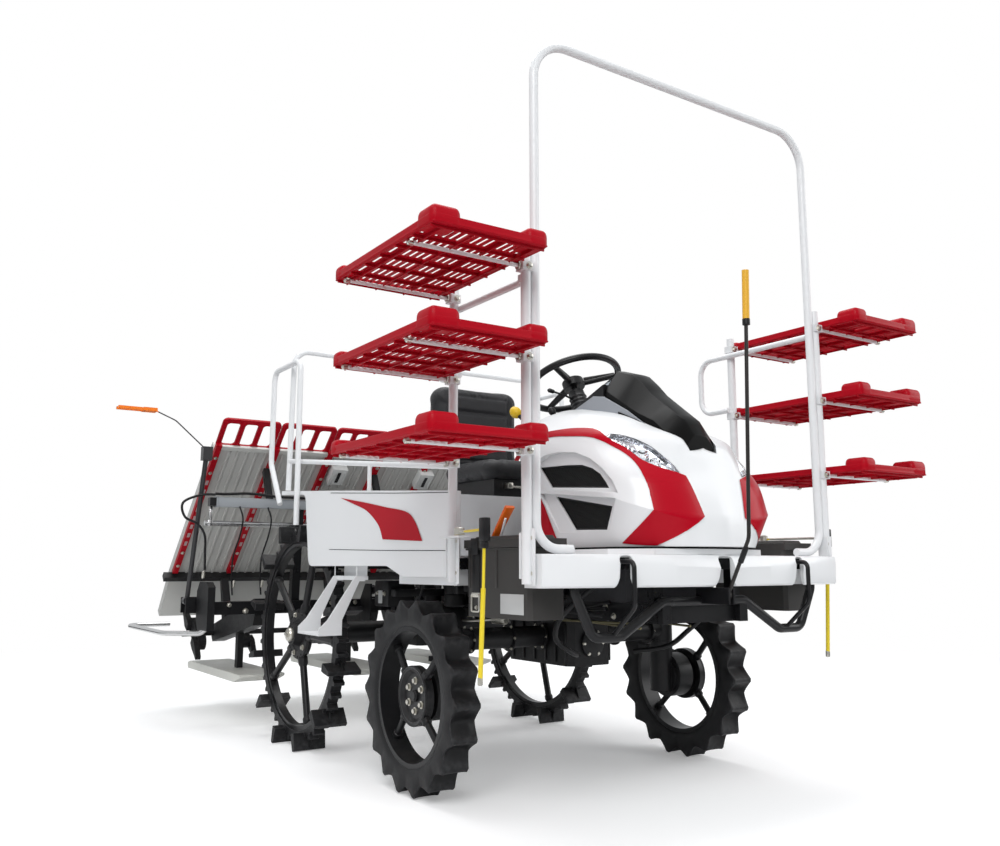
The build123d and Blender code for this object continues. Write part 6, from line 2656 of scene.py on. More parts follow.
@dataclass(frozen=True)
class MarkerTrim:
    """Sleeves, steel arms and end caps of the side markers, and the pole's collars."""

    def build(self) -> None:
        """Makes the trim of both side markers and of the centre pole."""
        for side in Side:
            g = side.value
            body = f"side_marker_{side.name.lower()}"
            sleeve = Shell()
            bar(sleeve, (g * 760 - 12, -645, 826), (g * 760 + 12, -617, 893), 0.003)
            bar(sleeve, (g * 760 - 9, -640, 806), (g * 760 + 9, -618, 826), 0.003)
            piece(f"marker_sleeve_{side.name.lower()}", sleeve, COVER_PLASTIC, body)
            steel = Shell()
            arm = real(((g * 704, -402, 860), (g * 728, -515, 860), (g * 756, -622, 860)))
            steel.tube(arm, 0.0048)
            steel.closed(turned(
                ((0.0165, 0.0), (0.0165, 0.020), (0.012, 0.0225), (0.006, 0.024)),
                real((g * 696, -386, 852.2)), (0, 0, 1), 20,
            ))
            end = real((g * 760, -610, 432)) + np.array((0, 0, -0.001))
            cap = ((0.0045, -0.006), (0.0078, -0.004), (0.0078, 0.016))
            steel.closed(turned(cap, end, (0, 0, 1), 16))
            piece(f"marker_steel_{side.name.lower()}", steel, ZINC, body)
        collars = Shell()
        collars.closed(turned(
            ((0.0068, 0.0), (0.012, 0.002), (0.012, 0.020), (0.0068, 0.022)),
            real((-10, -962, 1494)), (0, -0.003, 1), 20,
        ))
        collars.closed(turned(
            ((0.0062, 0.0), (0.0088, 0.003), (0.0088, 0.050), (0.0062, 0.056)),
            real((-10, -900.6, 766)), (0, -0.472, 0.882), 18,
        ))
        piece("pole_collars", collars, COVER_PLASTIC, "centre_pole")


@dataclass(frozen=True)
class Cockpit:
    """Gauge, levers, mat, pedals, column boot, steering wheel's pad and seat rails.

    Attributes:
        gauge: the gauge's middle on the cowl.
        knob: the main lever's yellow knob.
        mat: the mat's reach: half width, front and back.
        hub: the steering wheel's hub.
        rake: degrees that the column leans from upright.
    """

    gauge: Point = (0, -172, 1311)
    knob: Point = (-230, -20, 1330)
    mat: tuple[float, float, float] = (300, -132, 132)
    hub: Point = (0, -80, 1455)
    rake: float = 25

    def dial(self) -> None:
        """Makes the gauge: bezel, blank face, needle and glass."""
        dial = Shell()
        axis = unit((0.0, 0.34, 0.94))
        seat = real(self.gauge)
        bezel = ((0.060, -0.006), (0.060, 0.012), (0.056, 0.017), (0.050, 0.016), (0.049, 0.006))
        face = ((0.0485, 0.0062), (0.0485, 0.0068), (0.002, 0.0068))
        pin = ((0.004, 0.007), (0.004, 0.010), (0.002, 0.0105))
        for profile, sides, mark in ((bezel, 40, 0), (face, 40, 1), (pin, 12, 0)):
            dial.closed(turned(profile, seat, axis, sides), mark)
        root = seat + axis * 0.0085
        needle = np.stack((root, root + np.array((0.026, 0.014, -0.005))))
        dial.tube(needle, np.array((0.0012, 0.0005)), 6, 2)
        piece("dash_gauge", dial, (COVER_PLASTIC, PLATE, ORANGE), "machine")
        glass = Shell()
        glass.closed(turned(((0.0488, 0.0118), (0.0488, 0.0132), (0.002, 0.0138)), seat, axis, 40))
        piece("dash_gauge_glass", glass, SMOKED, "machine")

    def levers(self) -> None:
        """Makes three levers with their knobs and pleated boots."""
        levers = Shell()
        knobs = Shell()
        boot = (
            (0.024, -0.004), (0.024, 0.004), (0.017, 0.008), (0.019, 0.013), (0.012, 0.017),
            (0.013, 0.022), (0.008, 0.028),
        )
        arc = np.linspace(-math.pi / 2 + 0.3, math.pi / 2, 12)
        for foot, bend, top, size, ball, mark in (
            ((-150, -160, 1180), (-205, -110, 1250), self.knob, 0.0075, 0.021, 0),
            ((146, -160, 1190), (176, -120, 1250), (196, -60, 1300), 0.006, 0.014, 1),
            ((-96, -150, 1262), (-112, -140, 1290), (-132, -118, 1330), 0.0045, 0.014, 1),
        ):
            path = smooth_path(real((foot, bend, top)), 8)
            levers.tube(path, size, 12)
            profile = [(ball * math.cos(a) + 0.0003, ball * 1.25 * math.sin(a)) for a in arc]
            knobs.closed(turned(profile, path[-1], path[-1] - path[-2], 20), mark)
            levers.closed(turned(boot, path[0], path[1] - path[0], 20))
        piece("levers", levers, COVER_PLASTIC, "machine")
        piece("lever_knobs", knobs, (YELLOW, WHEEL_GRIP), "machine")

    def floor_mat(self) -> None:
        """Makes the ribbed rubber mat."""
        mat = Shell()
        half, front, back = self.mat
        bar(mat, (-half, front, 790.2), (half, back, 793), 0.001)
        for y in np.arange(front + 14, back - 6, 13.0):
            bar(mat, (-half + 14, y - 2.4, 792.6), (half - 14, y + 2.4, 795), 0.0008)
        piece("floor_mat", mat, MAT, "machine")

    def pedals(self) -> None:
        """Makes two pedals: a plate with three ribs on a bent arm."""
        pedals = Shell()
        axes = (np.array((1.0, 0, 0)), unit((0, 0.5, 0.86)), unit((0, 0.86, -0.5)))
        plate = rounded_rectangle(0.066, 0.046, 0.008, 4)
        rib = rounded_rectangle(0.056, 0.005, 0.0012, 2)
        levels = ((0.001, 0.0), (0.0, 0.002), (0.0, 0.006), (0.001, 0.008))
        for x, y, z in ((-215, -96, 866), (-130, -92, 858)):
            origin = real((x, y, z))
            pedals.closed(stack(plate, levels, origin, axes))
            for place in (-0.014, 0.0, 0.014):
                spot = origin + axes[1] * place + axes[2] * 0.0078
                pedals.closed(stack(rib, ((0.0005, 0), (0, 0.0018)), spot, axes))
            arm = real(((x, y, z), (x, y - 18, z - 24), (x, y - 42, 792)))
            pedals.tube(smooth_path(arm, 6), 0.006, 10)
        piece("pedals", pedals, CHASSIS, "machine")

    def column(self, top: Array, up: Array) -> None:
        """Makes the column's pleated boot and its two stalks.

        Args:
            top: the steering wheel's hub.
            up: the way up along the column.
        """
        column = Shell()
        boot = [(0.0318 + 0.003 * (i % 2), -0.125 + 0.008 * i) for i in range(9)]
        column.closed(turned([(0.0306, -0.13), *boot, (0.0306, -0.05)], top, up, 28))
        knob = ((0.004, -0.004), (0.0075, 0.0), (0.0085, 0.02), (0.004, 0.026))
        for g in (-1, 1):
            root = top - up * 0.075
            tip = root + np.array((g * 0.12, 0.0, 0.02))
            start = root + np.array((g * 0.028, 0, 0))
            column.tube(np.stack((start, (root + tip) / 2, tip)), 0.004, 10)
            column.closed(turned(knob, tip, tip - root, 14))
        piece("column_boot", column, WHEEL_GRIP, "machine")

    def wheel_pad(self, top: Array, up: Array) -> None:
        """Makes the steering wheel's horn pad and its three spokes' covers.

        Args:
            top: the wheel's hub.
            up: the wheel's axis.
        """
        horn = Shell()
        pad = ((0.042, 0.0105), (0.042, 0.013), (0.034, 0.019), (0.012, 0.0215))
        horn.closed(turned(pad, top - up * 0.002, up, 32))
        right = np.array((1.0, 0, 0))
        forward = np.cross(up, right)
        section = rounded_rectangle(0.011, 0.026, 0.005, 3)
        width = np.linspace(1.15, 0.8, 5)[:, None, None]
        for turn in np.radians((90, 210, 330)):
            ray = math.cos(turn) * right + math.sin(turn) * forward
            start = top + 0.045 * ray + up * 0.003
            end = top + 0.168 * ray + up * 0.004
            path = np.stack([start + (end - start) * s for s in np.linspace(0, 1, 5)])
            horn.closed(along(path, section[None] * width))
        piece("steering_wheel_pad", horn, WHEEL_GRIP, "steering_wheel")

    def seat_rails(self) -> None:
        """Makes the seat's slide rails and its release bar."""
        rails = Shell()
        for x in (-118, 104):
            bar(rails, (x, 214, 1103), (x + 14, 520, 1104.5), 0.0005)
            bar(rails, (x - 4, 186, 1064), (x + 18, 219.5, 1086), 0.002)
        rails.tube(real(((-100, 205, 1072), (0, 196, 1070), (100, 205, 1072))), 0.005, 10)
        piece("seat_rails", rails, ZINC, "machine")

    def build(self) -> None:
        """Makes the operator's place."""
        self.dial()
        self.levers()
        self.floor_mat()
        self.pedals()
        rake = math.radians(self.rake)
        up = np.array((0.0, math.sin(rake), math.cos(rake)))
        self.column(real(self.hub), up)
        self.wheel_pad(real(self.hub), up)
        self.seat_rails()


@dataclass(frozen=True)
class TableSlope:
    """Places on the seedling table, counted across, down the slope and off its underside.

    Attributes:
        angle: degrees that the table falls towards the back.
        top: the underside's upper edge in the middle, in millimetres from the front axle.
        bevel: width of the bevels of blocks laid on it, in metres.
    """

    angle: float = 42
    top: Point = (0.0, 1465.0, 1446.0)
    bevel: float = 0.0012

    def axes(self) -> tuple[Array, Array, Array]:
        """Finds the directions across, down the slope and away from the seedlings.

        Returns:
            Three unit axes.
        """
        run, fall = math.cos(math.radians(self.angle)), math.sin(math.radians(self.angle))
        return np.array((1.0, 0.0, 0.0)), np.array((0.0, run, -fall)), np.array((0.0, -fall, -run))

    def spot(self, across: float, down: float, off: float) -> Array:
        """Finds a place on the table.

        Args:
            across: its x in millimetres.
            down: its distance down the slope from the upper edge.
            off: its distance off the underside, negative away from the seedlings.

        Returns:
            The place in metres in the row frame.
        """
        u, v, w = self.axes()
        return real(self.top) + u * across / 1000 + v * down / 1000 - w * off / 1000

    def block(
        self,
        shell: Shell,
        x: tuple[float, float],
        down: tuple[float, float],
        off: tuple[float, float],
        mark: int = 0,
    ) -> None:
        """Adds a bevelled block square to the table, in millimetres.

        Args:
            shell: where it goes.
            x: its reach across the machine.
            down: its reach down the slope.
            off: its reach off the underside, negative away from the seedlings.
            mark: index of the material.
        """
        size = np.array((x[1] - x[0], down[1] - down[0], off[1] - off[0])) / 1000
        foot = self.spot(sum(x) / 2, sum(down) / 2, off[1])
        bevelled(shell, size, self.bevel, foot, self.axes(), mark)


@dataclass(frozen=True)
class PlanterTrim:
    """Ribs, rail slots, motor boxes, light cross rails, cables and bolts of the planting unit.

    Attributes:
        half: half the table's width.
        ribs: spacing of the ribs under the table.
        rails: number of red rails under the table.
        top: where the ribs start down the slope.
        foot: where they end.
        cable: radius of the thick cable.
        drops: x of each thin cable.
    """

    half: float = 880
    ribs: float = 46
    rails: int = 7
    top: float = 190
    foot: float = 1092
    cable: float = 0.0065
    drops: tuple[float, ...] = (-760, -620, 420, 640)

    def table(self) -> None:
        """Makes what rides on the sliding table."""
        slope = TableSlope()
        edge = self.half - 14
        places = [-edge + i * 2 * edge / (self.rails - 1) for i in range(self.rails)]
        ribs = Shell()
        for x in np.arange(-self.half + 30, self.half - 20, self.ribs):
            if min(abs(x - rail) for rail in places) > 24:
                slope.block(ribs, (x - 6, x + 6), (self.top, self.foot), (-5.5, -0.3))
                slope.block(ribs, (x + 9, x + 12), (self.top, self.foot), (-3, -0.3))
        slope.block(ribs, (-self.half + 4, self.half - 4), (self.top - 30, self.top - 6), (-16, -0.4))
        piece("table_ribs", ribs, ALUMINIUM, "seedling_table")
        slots = Shell()
        bolts = Shell()
        for x in places:
            # Thin pale films under each rail: painted light for the background seen through its slots.
            for start in np.arange(380, 860, 62):
                slope.block(slots, (x - 7, x + 7), (start, start + 30), (-24.9, -24.1))
            for at in (230, 330, 900, 1000):
                bolts.bolts(slope.spot(x, at, -24.2), slope.axes()[2], 0.013, 0.006)
        piece("rail_slots", slots, RAIL_SLOT_PAINTED_LIGHT, "seedling_table")
        piece("rail_bolts", bolts, ZINC, "seedling_table")
        boxes = Shell()
        for x in (-215, 300):
            slope.block(boxes, (x - 42, x + 42), (232, 338), (-52, -0.6), 0)
            slope.block(boxes, (x - 34, x + 34), (338, 352), (-40, -6), 0)
            slope.block(boxes, (x - 9, x + 9), (252, 322), (-54, -51.4), 1)
            for edge in (-30, -22, 22, 30):
                slope.block(boxes, (x + edge - 2, x + edge + 2), (246, 328), (-54.5, -51), 0)
        piece("motor_boxes", boxes, (MOTOR_WHITE, COVER_PLASTIC), "seedling_table")

    def rails_across(self) -> None:
        """Makes the light cross rail and the bright guide tube with its brackets."""
        light = Shell()
        bar(light, (-862, 1551.5, 1037), (862, 1598.5, 1083), 0.003)
        for x in (-870, 862):
            bar(light, (x, 1549, 1034), (x + 8, 1601, 1086), 0.002)
        piece("cross_rail_cover", light, RAIL_GREY, "planting_unit")
        bright = Shell()
        bright.tube(real([(x, 1612, 960) for x in (-905, 0, 905)]), 0.013, 18)
        for x in (-884, -300, 300, 884):
            bar(bright, (x - 9, 1590, 946), (x + 9, 1634, 975), 0.002)
            bar(bright, (x - 6, 1584, 960), (x + 6, 1600, 1040), 0.002)
        piece("guide_tube", bright, BRIGHT, "planting_unit")

    def cables(self) -> None:
        """Makes the thick cable, wavy by a sum of sines, its loop and four thin cables."""
        cables = Shell()
        x = np.linspace(-880, 560, 40)
        height = 1094 + 7 * np.sin(x / 130 + 1) + 3 * np.sin(x / 41)
        wave = np.c_[x, 1540 + 3 * np.sin(x / 70), height]
        cables.tube(real(wave), self.cable, 12)
        loop = smooth_path(real((
            (-880, 1541, 1093), (-948, 1556, 1088), (-1024, 1560, 1050), (-1012, 1562, 985),
            (-950, 1566, 952), (-914, 1570, 900), (-906, 1580, 820), (-900, 1592, 740),
        )), 8)
        cables.tube(loop, self.cable * 0.9, 12)
        for start in self.drops:
            drop = smooth_path(real((
                (start, 1546, 1040), (start + 14, 1534, 980), (start + 4, 1540, 900),
                (start - 16, 1566, 800), (start - 10, 1592, 700), (start, 1604, 620),
            )), 6)
            cables.tube(drop, 0.0042, 10)
        piece("planter_cables", cables, HOSE, "planting_unit")

    def fixings(self) -> None:
        """Makes the cables' end sleeves and the bolts along the beam."""
        ends = Shell()
        sleeve = ((0.0045, 0), (0.0075, 0.004), (0.0075, 0.030), (0.0045, 0.036))
        for x, z in ((-906, 700), *((start, 655) for start in self.drops)):
            ends.closed(turned(sleeve, real((x, 1596, z)), (0, -0.3, 0.95), 12))
        for x in np.arange(-780, 800, 130):
            ends.bolts(real((x, 1579.8, 575)), (0, -1, 0), 0.016, 0.010)
        for g in (-1, 1):
            spots = real(((g * 700, 1579.8, 545), (g * 200, 1579.8, 545)))
            ends.bolts(spots, (0, -1, 0), 0.020, 0.012)
        piece("planter_fixings", ends, ZINC, "planting_unit")

    def build(self) -> None:
        """Makes all of the planting unit's trim."""
        self.table()
        self.rails_across()
        self.cables()
        self.fixings()


@dataclass(frozen=True)
class Underside:
    """Hoses, pipes, rods, filters and fixings between the wheels and under the deck.

    Attributes:
        coils: turns of the coil spring.
    """

    coils: int = 11

    def hoses(self) -> None:
        """Makes the dark hoses and the bright pipes along the chassis."""
        dark = Shell()
        bright = Shell()
        for g in (-1, 1):
            for step in range(3):
                x = g * (206 + 15 * step)
                path = smooth_path(real((
                    (x, -520, 640 - 20 * step), (x + g * 26, -300, 612),
                    (x + g * 8, -60, 596 + 14 * step), (x + g * 30, 210, 604),
                    (x - g * 4, 480, 590 + 22 * step), (x, 760, 640), (x - g * 60, 900, 655),
                )), 8)
                dark.tube(path, 0.0055 + 0.0015 * step, 10)
            for step in range(2):
                x = g * (130 - 18 * step)
                path = smooth_path(real((
                    (x, -560, 572 - 16 * step), (x, -200, 566), (x + g * 12, 250, 560), (x, 640, 556),
                    (x - g * 20, 880, 600),
                )), 6)
                bright.tube(path, 0.004, 10)
            loop = smooth_path(real((
                (g * 260, -520, 700), (g * 330, -430, 600), (g * 300, -352, 520), (g * 220, -330, 470),
                (g * 130, -250, 450),
            )), 8)
            dark.tube(loop, 0.009, 12)
            cable = smooth_path(real((
                (g * 470, 240, 744), (g * 440, 330, 640), (g * 470, 430, 560), (g * 420, 560, 520),
                (g * 300, 700, 500),
            )), 8)
            dark.tube(cable, 0.0045, 10)
        piece("chassis_hoses", dark, HOSE, "machine")
        piece("chassis_pipes", bright, PASSIVATED, "machine")

    def filters(self, dark: Shell, g: int) -> None:
        """Adds one side's filters and covers.

        Args:
            dark: where they go.
            g: the side's sign of x.
        """
        for y, z, radius, height in (
            (300, 600, 0.042, 0.11), (470, 560, 0.034, 0.09), (150, 640, 0.030, 0.10)
        ):
            profile = (
                (radius * 0.8, 0.0), (radius, 0.006), (radius, height * 0.42),
                (radius * 0.92, height * 0.45), (radius, height * 0.48),
                (radius, height - 0.008), (radius * 0.55, height),
            )
            dark.closed(turned(profile, real((g * 300, y, z)), (0, 0, 1), 28))
        for low, high in (
            ((214, 60, 660), (330, 190, 738)), ((228, 230, 650), (330, 270, 742)),
            ((240, 380, 640), (520, 420, 668)), ((400, 440, 600), (520, 560, 700)),
            ((214, -300, 655), (318, -110, 700)),
        ):
            side_bar(dark, g, low, high, 0.006)

    def exhaust(self, dark: Shell, g: int) -> None:
        """Adds one side's exhaust, fan and pulley discs, and upright ribs.

        Args:
            dark: where they go.
            g: the side's sign of x.
        """
        muffler = (
            (0.028, 0.0), (0.050, 0.008), (0.056, 0.022), (0.056, 0.200), (0.050, 0.214),
            (0.022, 0.222), (0.018, 0.290),
        )
        dark.closed(turned(muffler, real((g * 282, 300, 548)), (0.1 * g, 1, 0.1), 30))
        for y, z, radius in ((90, 640, 0.062), (232, 588, 0.046), (610, 600, 0.055)):
            disc = (
                (radius * 0.3, 0.0), (radius, 0.004), (radius, 0.016), (radius * 0.86, 0.020),
                (radius * 0.80, 0.010), (radius * 0.34, 0.012), (radius * 0.30, 0.030),
                (radius * 0.10, 0.032),
            )
            dark.closed(turned(disc, real((g * 214, y, z)), (g, 0, 0), 32))
        for y in (-20, 20, 330, 370, 410, 650, 690):
            side_bar(dark, g, (192, y, 560), (240, y + 10, 690), 0.003)

    def fixings(self, metal: Shell, g: int) -> None:
        """Adds one side's bolts, its long rod and a coil spring.

        Args:
            metal: where they go.
            g: the side's sign of x.
        """
        for y in range(-520, 801, 165):
            spots = real(((g * 190.2, y, 596), (g * 190.2, y + 40, 624)))
            metal.bolts(spots, (g, 0, 0), 0.015, 0.009)
        spots = real((
            (g * 330.2, 100, 700), (g * 330.2, 160, 700), (g * 330.2, 250, 690),
            (g * 520.2, 470, 650), (g * 520.2, 530, 650),
        ))
        metal.bolts(spots, (g, 0, 0), 0.014, 0.008)
        rod = real(((g * 250, 90, 560), (g * 262, 300, 548), (g * 250, 560, 566)))
        metal.tube(smooth_path(rod, 4), 0.005, 10)
        whole = 2 * math.pi * self.coils
        turn = np.linspace(0, whole, 200)
        coil = np.c_[g * 286 + 11 * np.cos(turn), -40 + turn / whole * 90, 560 + 11 * np.sin(turn)]
        metal.tube(real(coil), 0.0016, 6)

    def units(self) -> None:
        """Makes what hangs on the chassis, the orange clip and the blank label."""
        dark = Shell()
        metal = Shell()
        for g in (-1, 1):
            self.filters(dark, g)
            self.exhaust(dark, g)
            self.fixings(metal, g)
        piece("chassis_units", dark, CASTING, "machine")
        piece("chassis_fixings", metal, ZINC, "machine")
        clips = Shell()
        bar(clips, (-333, 118, 672), (-330.4, 140, 684), 0.0006)
        piece("orange_clip", clips, ORANGE, "machine")
        label = Shell()
        bar(label, (-523, 486, 612), (-520.3, 520, 662), 0.0006)
        piece("blank_label", label, PLATE, "machine")

    def axle(self) -> None:
        """Makes the flanges, ribs, cover and bolts of the front axle case."""
        dark = Shell()
        metal = Shell()
        angle = np.arange(6) * math.pi / 3
        for g in (-1, 1):
            for x in (110, 250, 420):
                flange = real((g * x, 0, 500))
                profile = ((0.030, -0.004), (0.050, -0.003), (0.050, 0.003), (0.030, 0.004))
                dark.closed(turned(profile, flange, (g, 0, 0), 30))
                spots = flange + 0.044 * wheel_ring(angle)
                metal.bolts(spots + np.array((g * 0.003, 0, 0)), (g, 0, 0), 0.009, 0.005)
            for y in (-150, -90, -30, 40, 110, 180):
                side_bar(dark, g, (98, y, 412), (106, y + 8, 552), 0.002)
        dark.closed(turned(
            ((0.050, 0.0), (0.050, 0.010), (0.040, 0.014), (0.012, 0.016)),
            real((0, -170, 480)), (0, -1, 0), 32,
        ))
        ring = np.stack((np.cos(angle), 0 * angle, np.sin(angle)), axis=1)
        metal.bolts(real((0, -180, 480)) + 0.042 * ring, (0, -1, 0), 0.011, 0.006)
        piece("axle_case_ribs", dark, CASTING, "machine")
        piece("axle_case_bolts", metal, ZINC, "machine")

    def build(self) -> None:
        """Makes the hoses, the units and the axle case's trim."""
        self.hoses()
        self.units()
        self.axle()


# Stage


@dataclass(frozen=True)
class Studio:
    """Floor, world, lamps and camera.

    Attributes:
        lens: focal length on a 36 mm sensor.
        eye: the camera's place, y counted from the front axle.
        pitch: degrees from straight down.
        turn: degrees round Z.
        sky: strength of the world's light on the object.
        gloss: share of white that glossy rays see in the world.
        floor_half: half the floor's side.
        floor_glow: light that the floor gives off near the object, towards the camera.
        floor_near: distance where the floor starts to turn into the background.
        floor_far: distance where it has.
    """

    lens: float = 33.557
    eye: Point = (-2.2026, -2.8801, 0.7538)
    pitch: float = 98.774
    turn: float = -33.618
    sky: float = 0.60
    gloss: float = 0.30
    floor_half: float = 30.0
    floor_glow: float = 0.22
    floor_near: float = 2.6
    floor_far: float = 6.0

    def camera(self) -> None:
        """Puts the camera at the photograph's angle."""
        data = bpy.data.cameras.new("camera")
        data.lens = self.lens
        data.sensor_width = 36.0
        data.sensor_fit = "HORIZONTAL"
        data.clip_end = 200.0
        seat = bpy.data.objects.new("camera", data)
        x, y, z = self.eye
        seat.location = (x, y + AXLE_Y, z)
        seat.rotation_euler = Euler((math.radians(self.pitch), 0.0, math.radians(self.turn)))
        bpy.context.scene.collection.objects.link(seat)
        bpy.context.scene.camera = seat

    def world(self) -> None:
        """Lights the object evenly, and shows white to the camera, to gloss and through glass."""
        world = bpy.data.worlds.new("studio")
        world.use_nodes = True
        tree = world.node_tree
        tree.nodes.clear()
        g = Graph(tree)
        light = g.node("ShaderNodeLightPath")
        seen = g.math("ADD", light.outputs["Is Camera Ray"], light.outputs["Is Transmission Ray"])
        shine = g.math("MULTIPLY", light.outputs["Is Glossy Ray"], self.gloss)
        seen = g.math("ADD", seen, shine, clamp=True)
        soft = g.node("ShaderNodeBackground", Color=(0.94, 0.97, 1.0), Strength=self.sky)
        white = g.node("ShaderNodeBackground", Color=(1.0, 1.0, 1.0), Strength=1.0)
        mix = g.node("ShaderNodeMixShader", Fac=seen)
        tree.links.new(soft.outputs[0], mix.inputs[1])
        tree.links.new(white.outputs[0], mix.inputs[2])
        out = g.node("ShaderNodeOutputWorld")
        tree.links.new(mix.outputs[0], out.inputs["Surface"])
        bpy.context.scene.world = world

    def lamp(self, name: str, place: Point, aim: Point, size: float, power: float) -> None:
        """Adds a square soft lamp that looks at a point.

        Args:
            name: the lamp's name.
            place: where it stands.
            aim: the point.
            size: its side in metres.
            power: its power in watts.
        """
        data = bpy.data.lights.new(name, "AREA")
        data.size = size
        data.energy = power
        made = bpy.data.objects.new(name, data)
        made.location = place
        made.rotation_euler = (Vector(aim) - Vector(place)).to_track_quat("-Z", "Y").to_euler()
        bpy.context.scene.collection.objects.link(made)

    def floor(self) -> None:
        """Lays a pale floor that keeps the object's shadow and fades to the background."""
        size = self.floor_half
        line = np.linspace(-size, size, 9)
        x, y = np.meshgrid(line, line)
        shell = Shell()
        shell.grid(np.stack((x, y, np.full_like(x, -0.001)), axis=2)[:, ::-1])
        made = bpy.data.objects.new("floor", shell.mesh("floor"))
        bpy.context.scene.collection.objects.link(made)
        paint = Finish("floor_paint", (0.92, 0.92, 0.92), 0.9, drift=0.0, spread=0.0, depth=0.0)
        made.data.materials.append(paint.material())
        nodes = made.data.materials[0].node_tree
        g = Graph(nodes)
        shader = next(n for n in nodes.nodes if n.type == "BSDF_PRINCIPLED")
        shader.inputs["Specular IOR Level"].default_value = 0.0
        shader.inputs["Emission Color"].default_value = (1.0, 1.0, 1.0, 1.0)
        place = g.node("ShaderNodeTexCoord").outputs["Object"]
        reach = g.node("ShaderNodeVectorMath", {"operation": "LENGTH"}, Vector=place)
        far = g.ramp(reach.outputs["Value"], self.floor_near, self.floor_far)
        glow = g.math("MULTIPLY_ADD", far, 1.0 - self.floor_glow, self.floor_glow)
        seen = g.node("ShaderNodeLightPath").outputs["Is Camera Ray"]
        nodes.links.new(g.math("MULTIPLY", glow, seen), shader.inputs["Emission Strength"])
        paint_link = shader.inputs["Base Color"].links[0].from_socket
        fade = g.blend(far, paint_link, (0.0, 0.0, 0.0))
        nodes.links.new(fade, shader.inputs["Base Color"])

    def build(self) -> None:
        """Sets the whole stage."""
        bpy.context.scene.view_settings.view_transform = "Standard"
        self.camera()
        self.world()
        self.floor()
        self.lamp("key", (-4.5, -6.0, 5.5), (0.0, 0.0, 0.9), 4.0, 330.0)
        self.lamp("fill", (6.0, -4.0, 3.5), (0.0, 0.0, 0.9), 4.0, 120.0)
        self.lamp("top", (0.0, 1.0, 7.0), (0.0, 0.0, 1.0), 5.0, 260.0)


# Seat


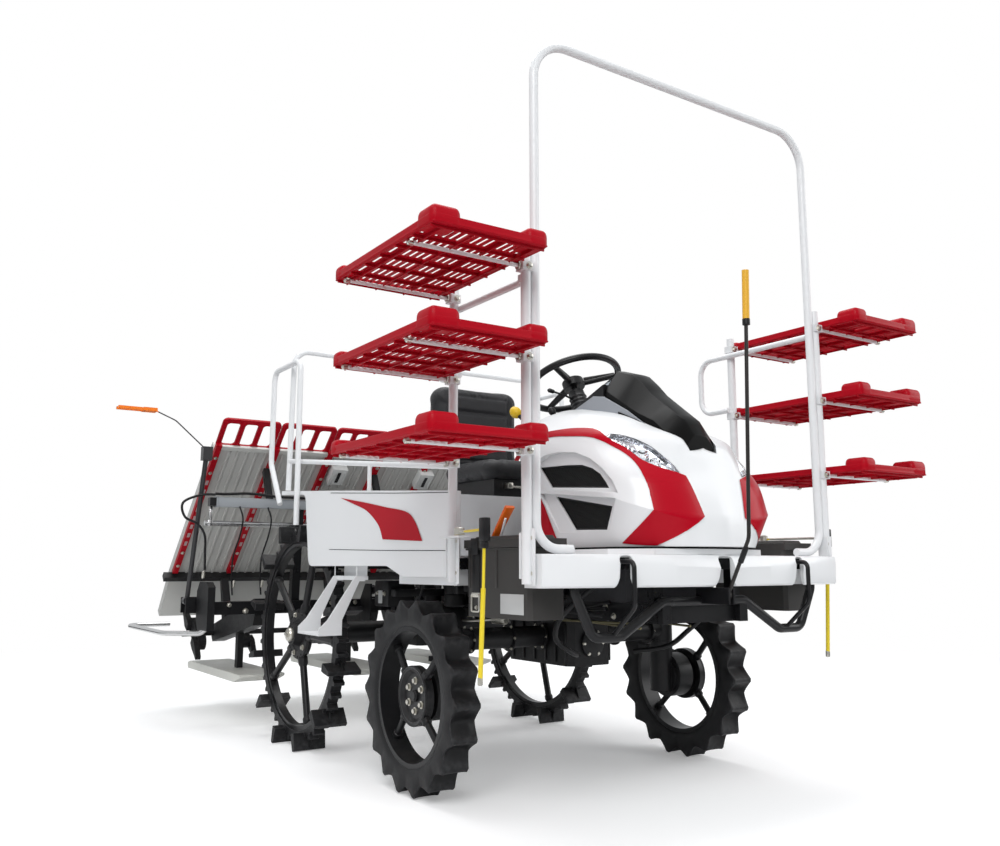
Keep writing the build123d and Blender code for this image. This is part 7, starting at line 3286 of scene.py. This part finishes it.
@dataclass(frozen=True)
class Seat:
    """Cushion and back, each a stuffed vinyl pad with sewn channels and side bolsters.

    Attributes:
        voxel: cell of the remesh.
        pressure: stuffing pressure of the cloth.
        cap: how far a point may move.
        channel: spacing of the sewn channels.
        groove: depth of a channel's seam.
        bolster: width of the plain roll along each side.
    """

    voxel: float = 0.006
    pressure: float = 4.0
    cap: float = 0.012
    channel: float = 0.072
    groove: float = 0.010
    bolster: float = 0.075

    def block(self, name: str, low: Array, high: Array, tall: int) -> bpy.types.Object:
        """Builds a pad's starting form.

        Args:
            name: the piece's name.
            low: lowest corner.
            high: highest corner.
            tall: axis that the pad is thin along, 1 for a back and 2 for a cushion.

        Returns:
            An object whose mesh is a pile of rounded rectangles, smaller at the two faces.
        """
        size = high - low
        middle = (low + high) / 2
        flat = [axis for axis in range(3) if axis != tall]
        axes = [np.eye(3)[axis] for axis in (*flat, tall)]
        if tall == 1:
            axes = [axes[0], axes[1], np.array((0.0, -1.0, 0.0))]
        outline = rounded_rectangle(size[flat[0]], size[flat[1]], 0.06, 6)
        half = size[tall] / 2
        levels = (
            (0.022, -half),
            (0.008, -half * 0.82),
            (0.002, -half * 0.4),
            (0.0, 0.0),
            (0.002, half * 0.4),
            (0.008, half * 0.78),
            (0.022, half * 0.97),
        )
        shell = Shell()
        shell.closed(stack(outline, levels, middle, tuple(axes)))
        made = bpy.data.objects.new(name, shell.mesh(name))
        bpy.context.scene.collection.objects.link(made)
        return made

    def stuff(self, pad: bpy.types.Object) -> None:
        """Remeshes a pad and swells it with Cloth, its moves capped; nothing is random.

        Args:
            pad: the pad, its starting form.
        """
        bpy.context.view_layer.objects.active = pad
        pad.select_set(True)
        remesh = pad.modifiers.new("remesh", "REMESH")
        remesh.mode = "VOXEL"
        remesh.voxel_size = self.voxel
        bpy.ops.object.modifier_apply(modifier=remesh.name)
        count = len(pad.data.vertices) * 3
        before = np.zeros(count)
        pad.data.vertices.foreach_get("co", before)
        cloth = pad.modifiers.new("cloth", "CLOTH")
        cloth.settings.use_pressure = True
        cloth.settings.uniform_pressure_force = self.pressure
        cloth.settings.effector_weights.gravity = 0.0
        cloth.point_cache.frame_start = 1
        cloth.point_cache.frame_end = 20
        for step in range(1, 21):
            bpy.context.scene.frame_set(step)
        bpy.ops.object.modifier_apply(modifier=cloth.name)
        bpy.context.scene.frame_set(1)
        after = np.zeros(count)
        pad.data.vertices.foreach_get("co", after)
        move = (after - before).reshape(-1, 3)
        length = np.linalg.norm(move, axis=1, keepdims=True)
        move *= np.minimum(1.0, self.cap / np.maximum(length, 1e-9))
        pad.data.vertices.foreach_set("co", (before + move.ravel()))
        pad.select_set(False)

    def sew(self, pad: bpy.types.Object, low: Array, high: Array, tall: int) -> None:
        """Presses the seams into a pad's front face.

        Depth is a sum of narrow bell curves: across the seat's width at each channel between
        the bolsters, and along two lines where the bolsters meet the channels. The middle of
        the face is also dished a little.

        Args:
            pad: the pad.
            low: lowest corner of its space.
            high: highest corner of its space.
            tall: axis that the pad is thin along.
        """
        long = 2 if tall == 1 else 1
        points = np.zeros(len(pad.data.vertices) * 3)
        pad.data.vertices.foreach_get("co", points)
        points = points.reshape(-1, 3)
        middle = (low + high) / 2
        half = (high - low) / 2
        x = points[:, 0] - middle[0]
        run = points[:, long] - middle[long]
        out = points[:, tall] - middle[tall]
        facing = -1.0 if tall == 1 else 1.0
        front = np.clip(out * facing / half[tall], 0.0, 1.0)
        edge = half[0] - self.bolster
        inside = 1 / (1 + np.exp((np.abs(x) - edge) / 0.006))
        ends = 1 / (1 + np.exp((np.abs(run) - half[long] + 0.05) / 0.008))
        phase = (run / self.channel) - np.round(run / self.channel)
        seam = np.exp(-((phase * self.channel) ** 2) / (2 * 0.0055**2)) * inside * ends
        side = np.exp(-((np.abs(x) - edge) ** 2) / (2 * 0.006**2)) * ends
        dish = 0.5 * np.cos(np.clip(x / edge, -1, 1) * math.pi / 2) * ends
        depth = self.groove * np.maximum(np.maximum(seam, side), 0.0) + 0.008 * dish
        points[:, tall] -= facing * depth * front
        pad.data.vertices.foreach_set("co", points.ravel())
        pad.data.update()

    def pad(self, node: str, tall: int) -> None:
        """Makes the pad that stands for one CAD node.

        Args:
            node: the node's name.
            tall: axis that the pad is thin along.
        """
        low, high = (np.array(corner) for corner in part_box(node))
        shrink = np.full(3, 0.010)
        made = self.block(f"{node}_pad", low + shrink, high - shrink, tall)
        self.stuff(made)
        self.sew(made, low, high, tall)
        smooth = made.modifiers.new("smooth", "SUBSURF")
        smooth.levels = smooth.render_levels = 1
        made.data.polygons.foreach_set("use_smooth", [True] * len(made.data.polygons))
        made.data.materials.append(VINYL.material())
        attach(made, "machine")
        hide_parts(node)
        LOG.info("%s: %d faces", made.name, len(made.data.polygons))

    def build(self) -> None:
        """Makes both pads."""
        self.pad("seat_cushion", 2)
        self.pad("seat_back", 1)


def main() -> None:
    """Dresses the nodes, then builds each sub-assembly in order."""
    logging.basicConfig(level=logging.INFO, format="%(message)s")
    Studio().build()
    NodeFinishes().apply()
    Bonnet().build()
    Deck().build()
    Flanks().build()
    Lamps().build()
    Films().build()
    HoodTrim().build()
    FrontWheel().build()
    RearWheel().build()
    RackTrim().build()
    BoxTrim().build()
    MarkerTrim().build()
    Cockpit().build()
    PlanterTrim().build()
    Underside().build()
    Seat().build()


if __name__ == "__main__":
    main()
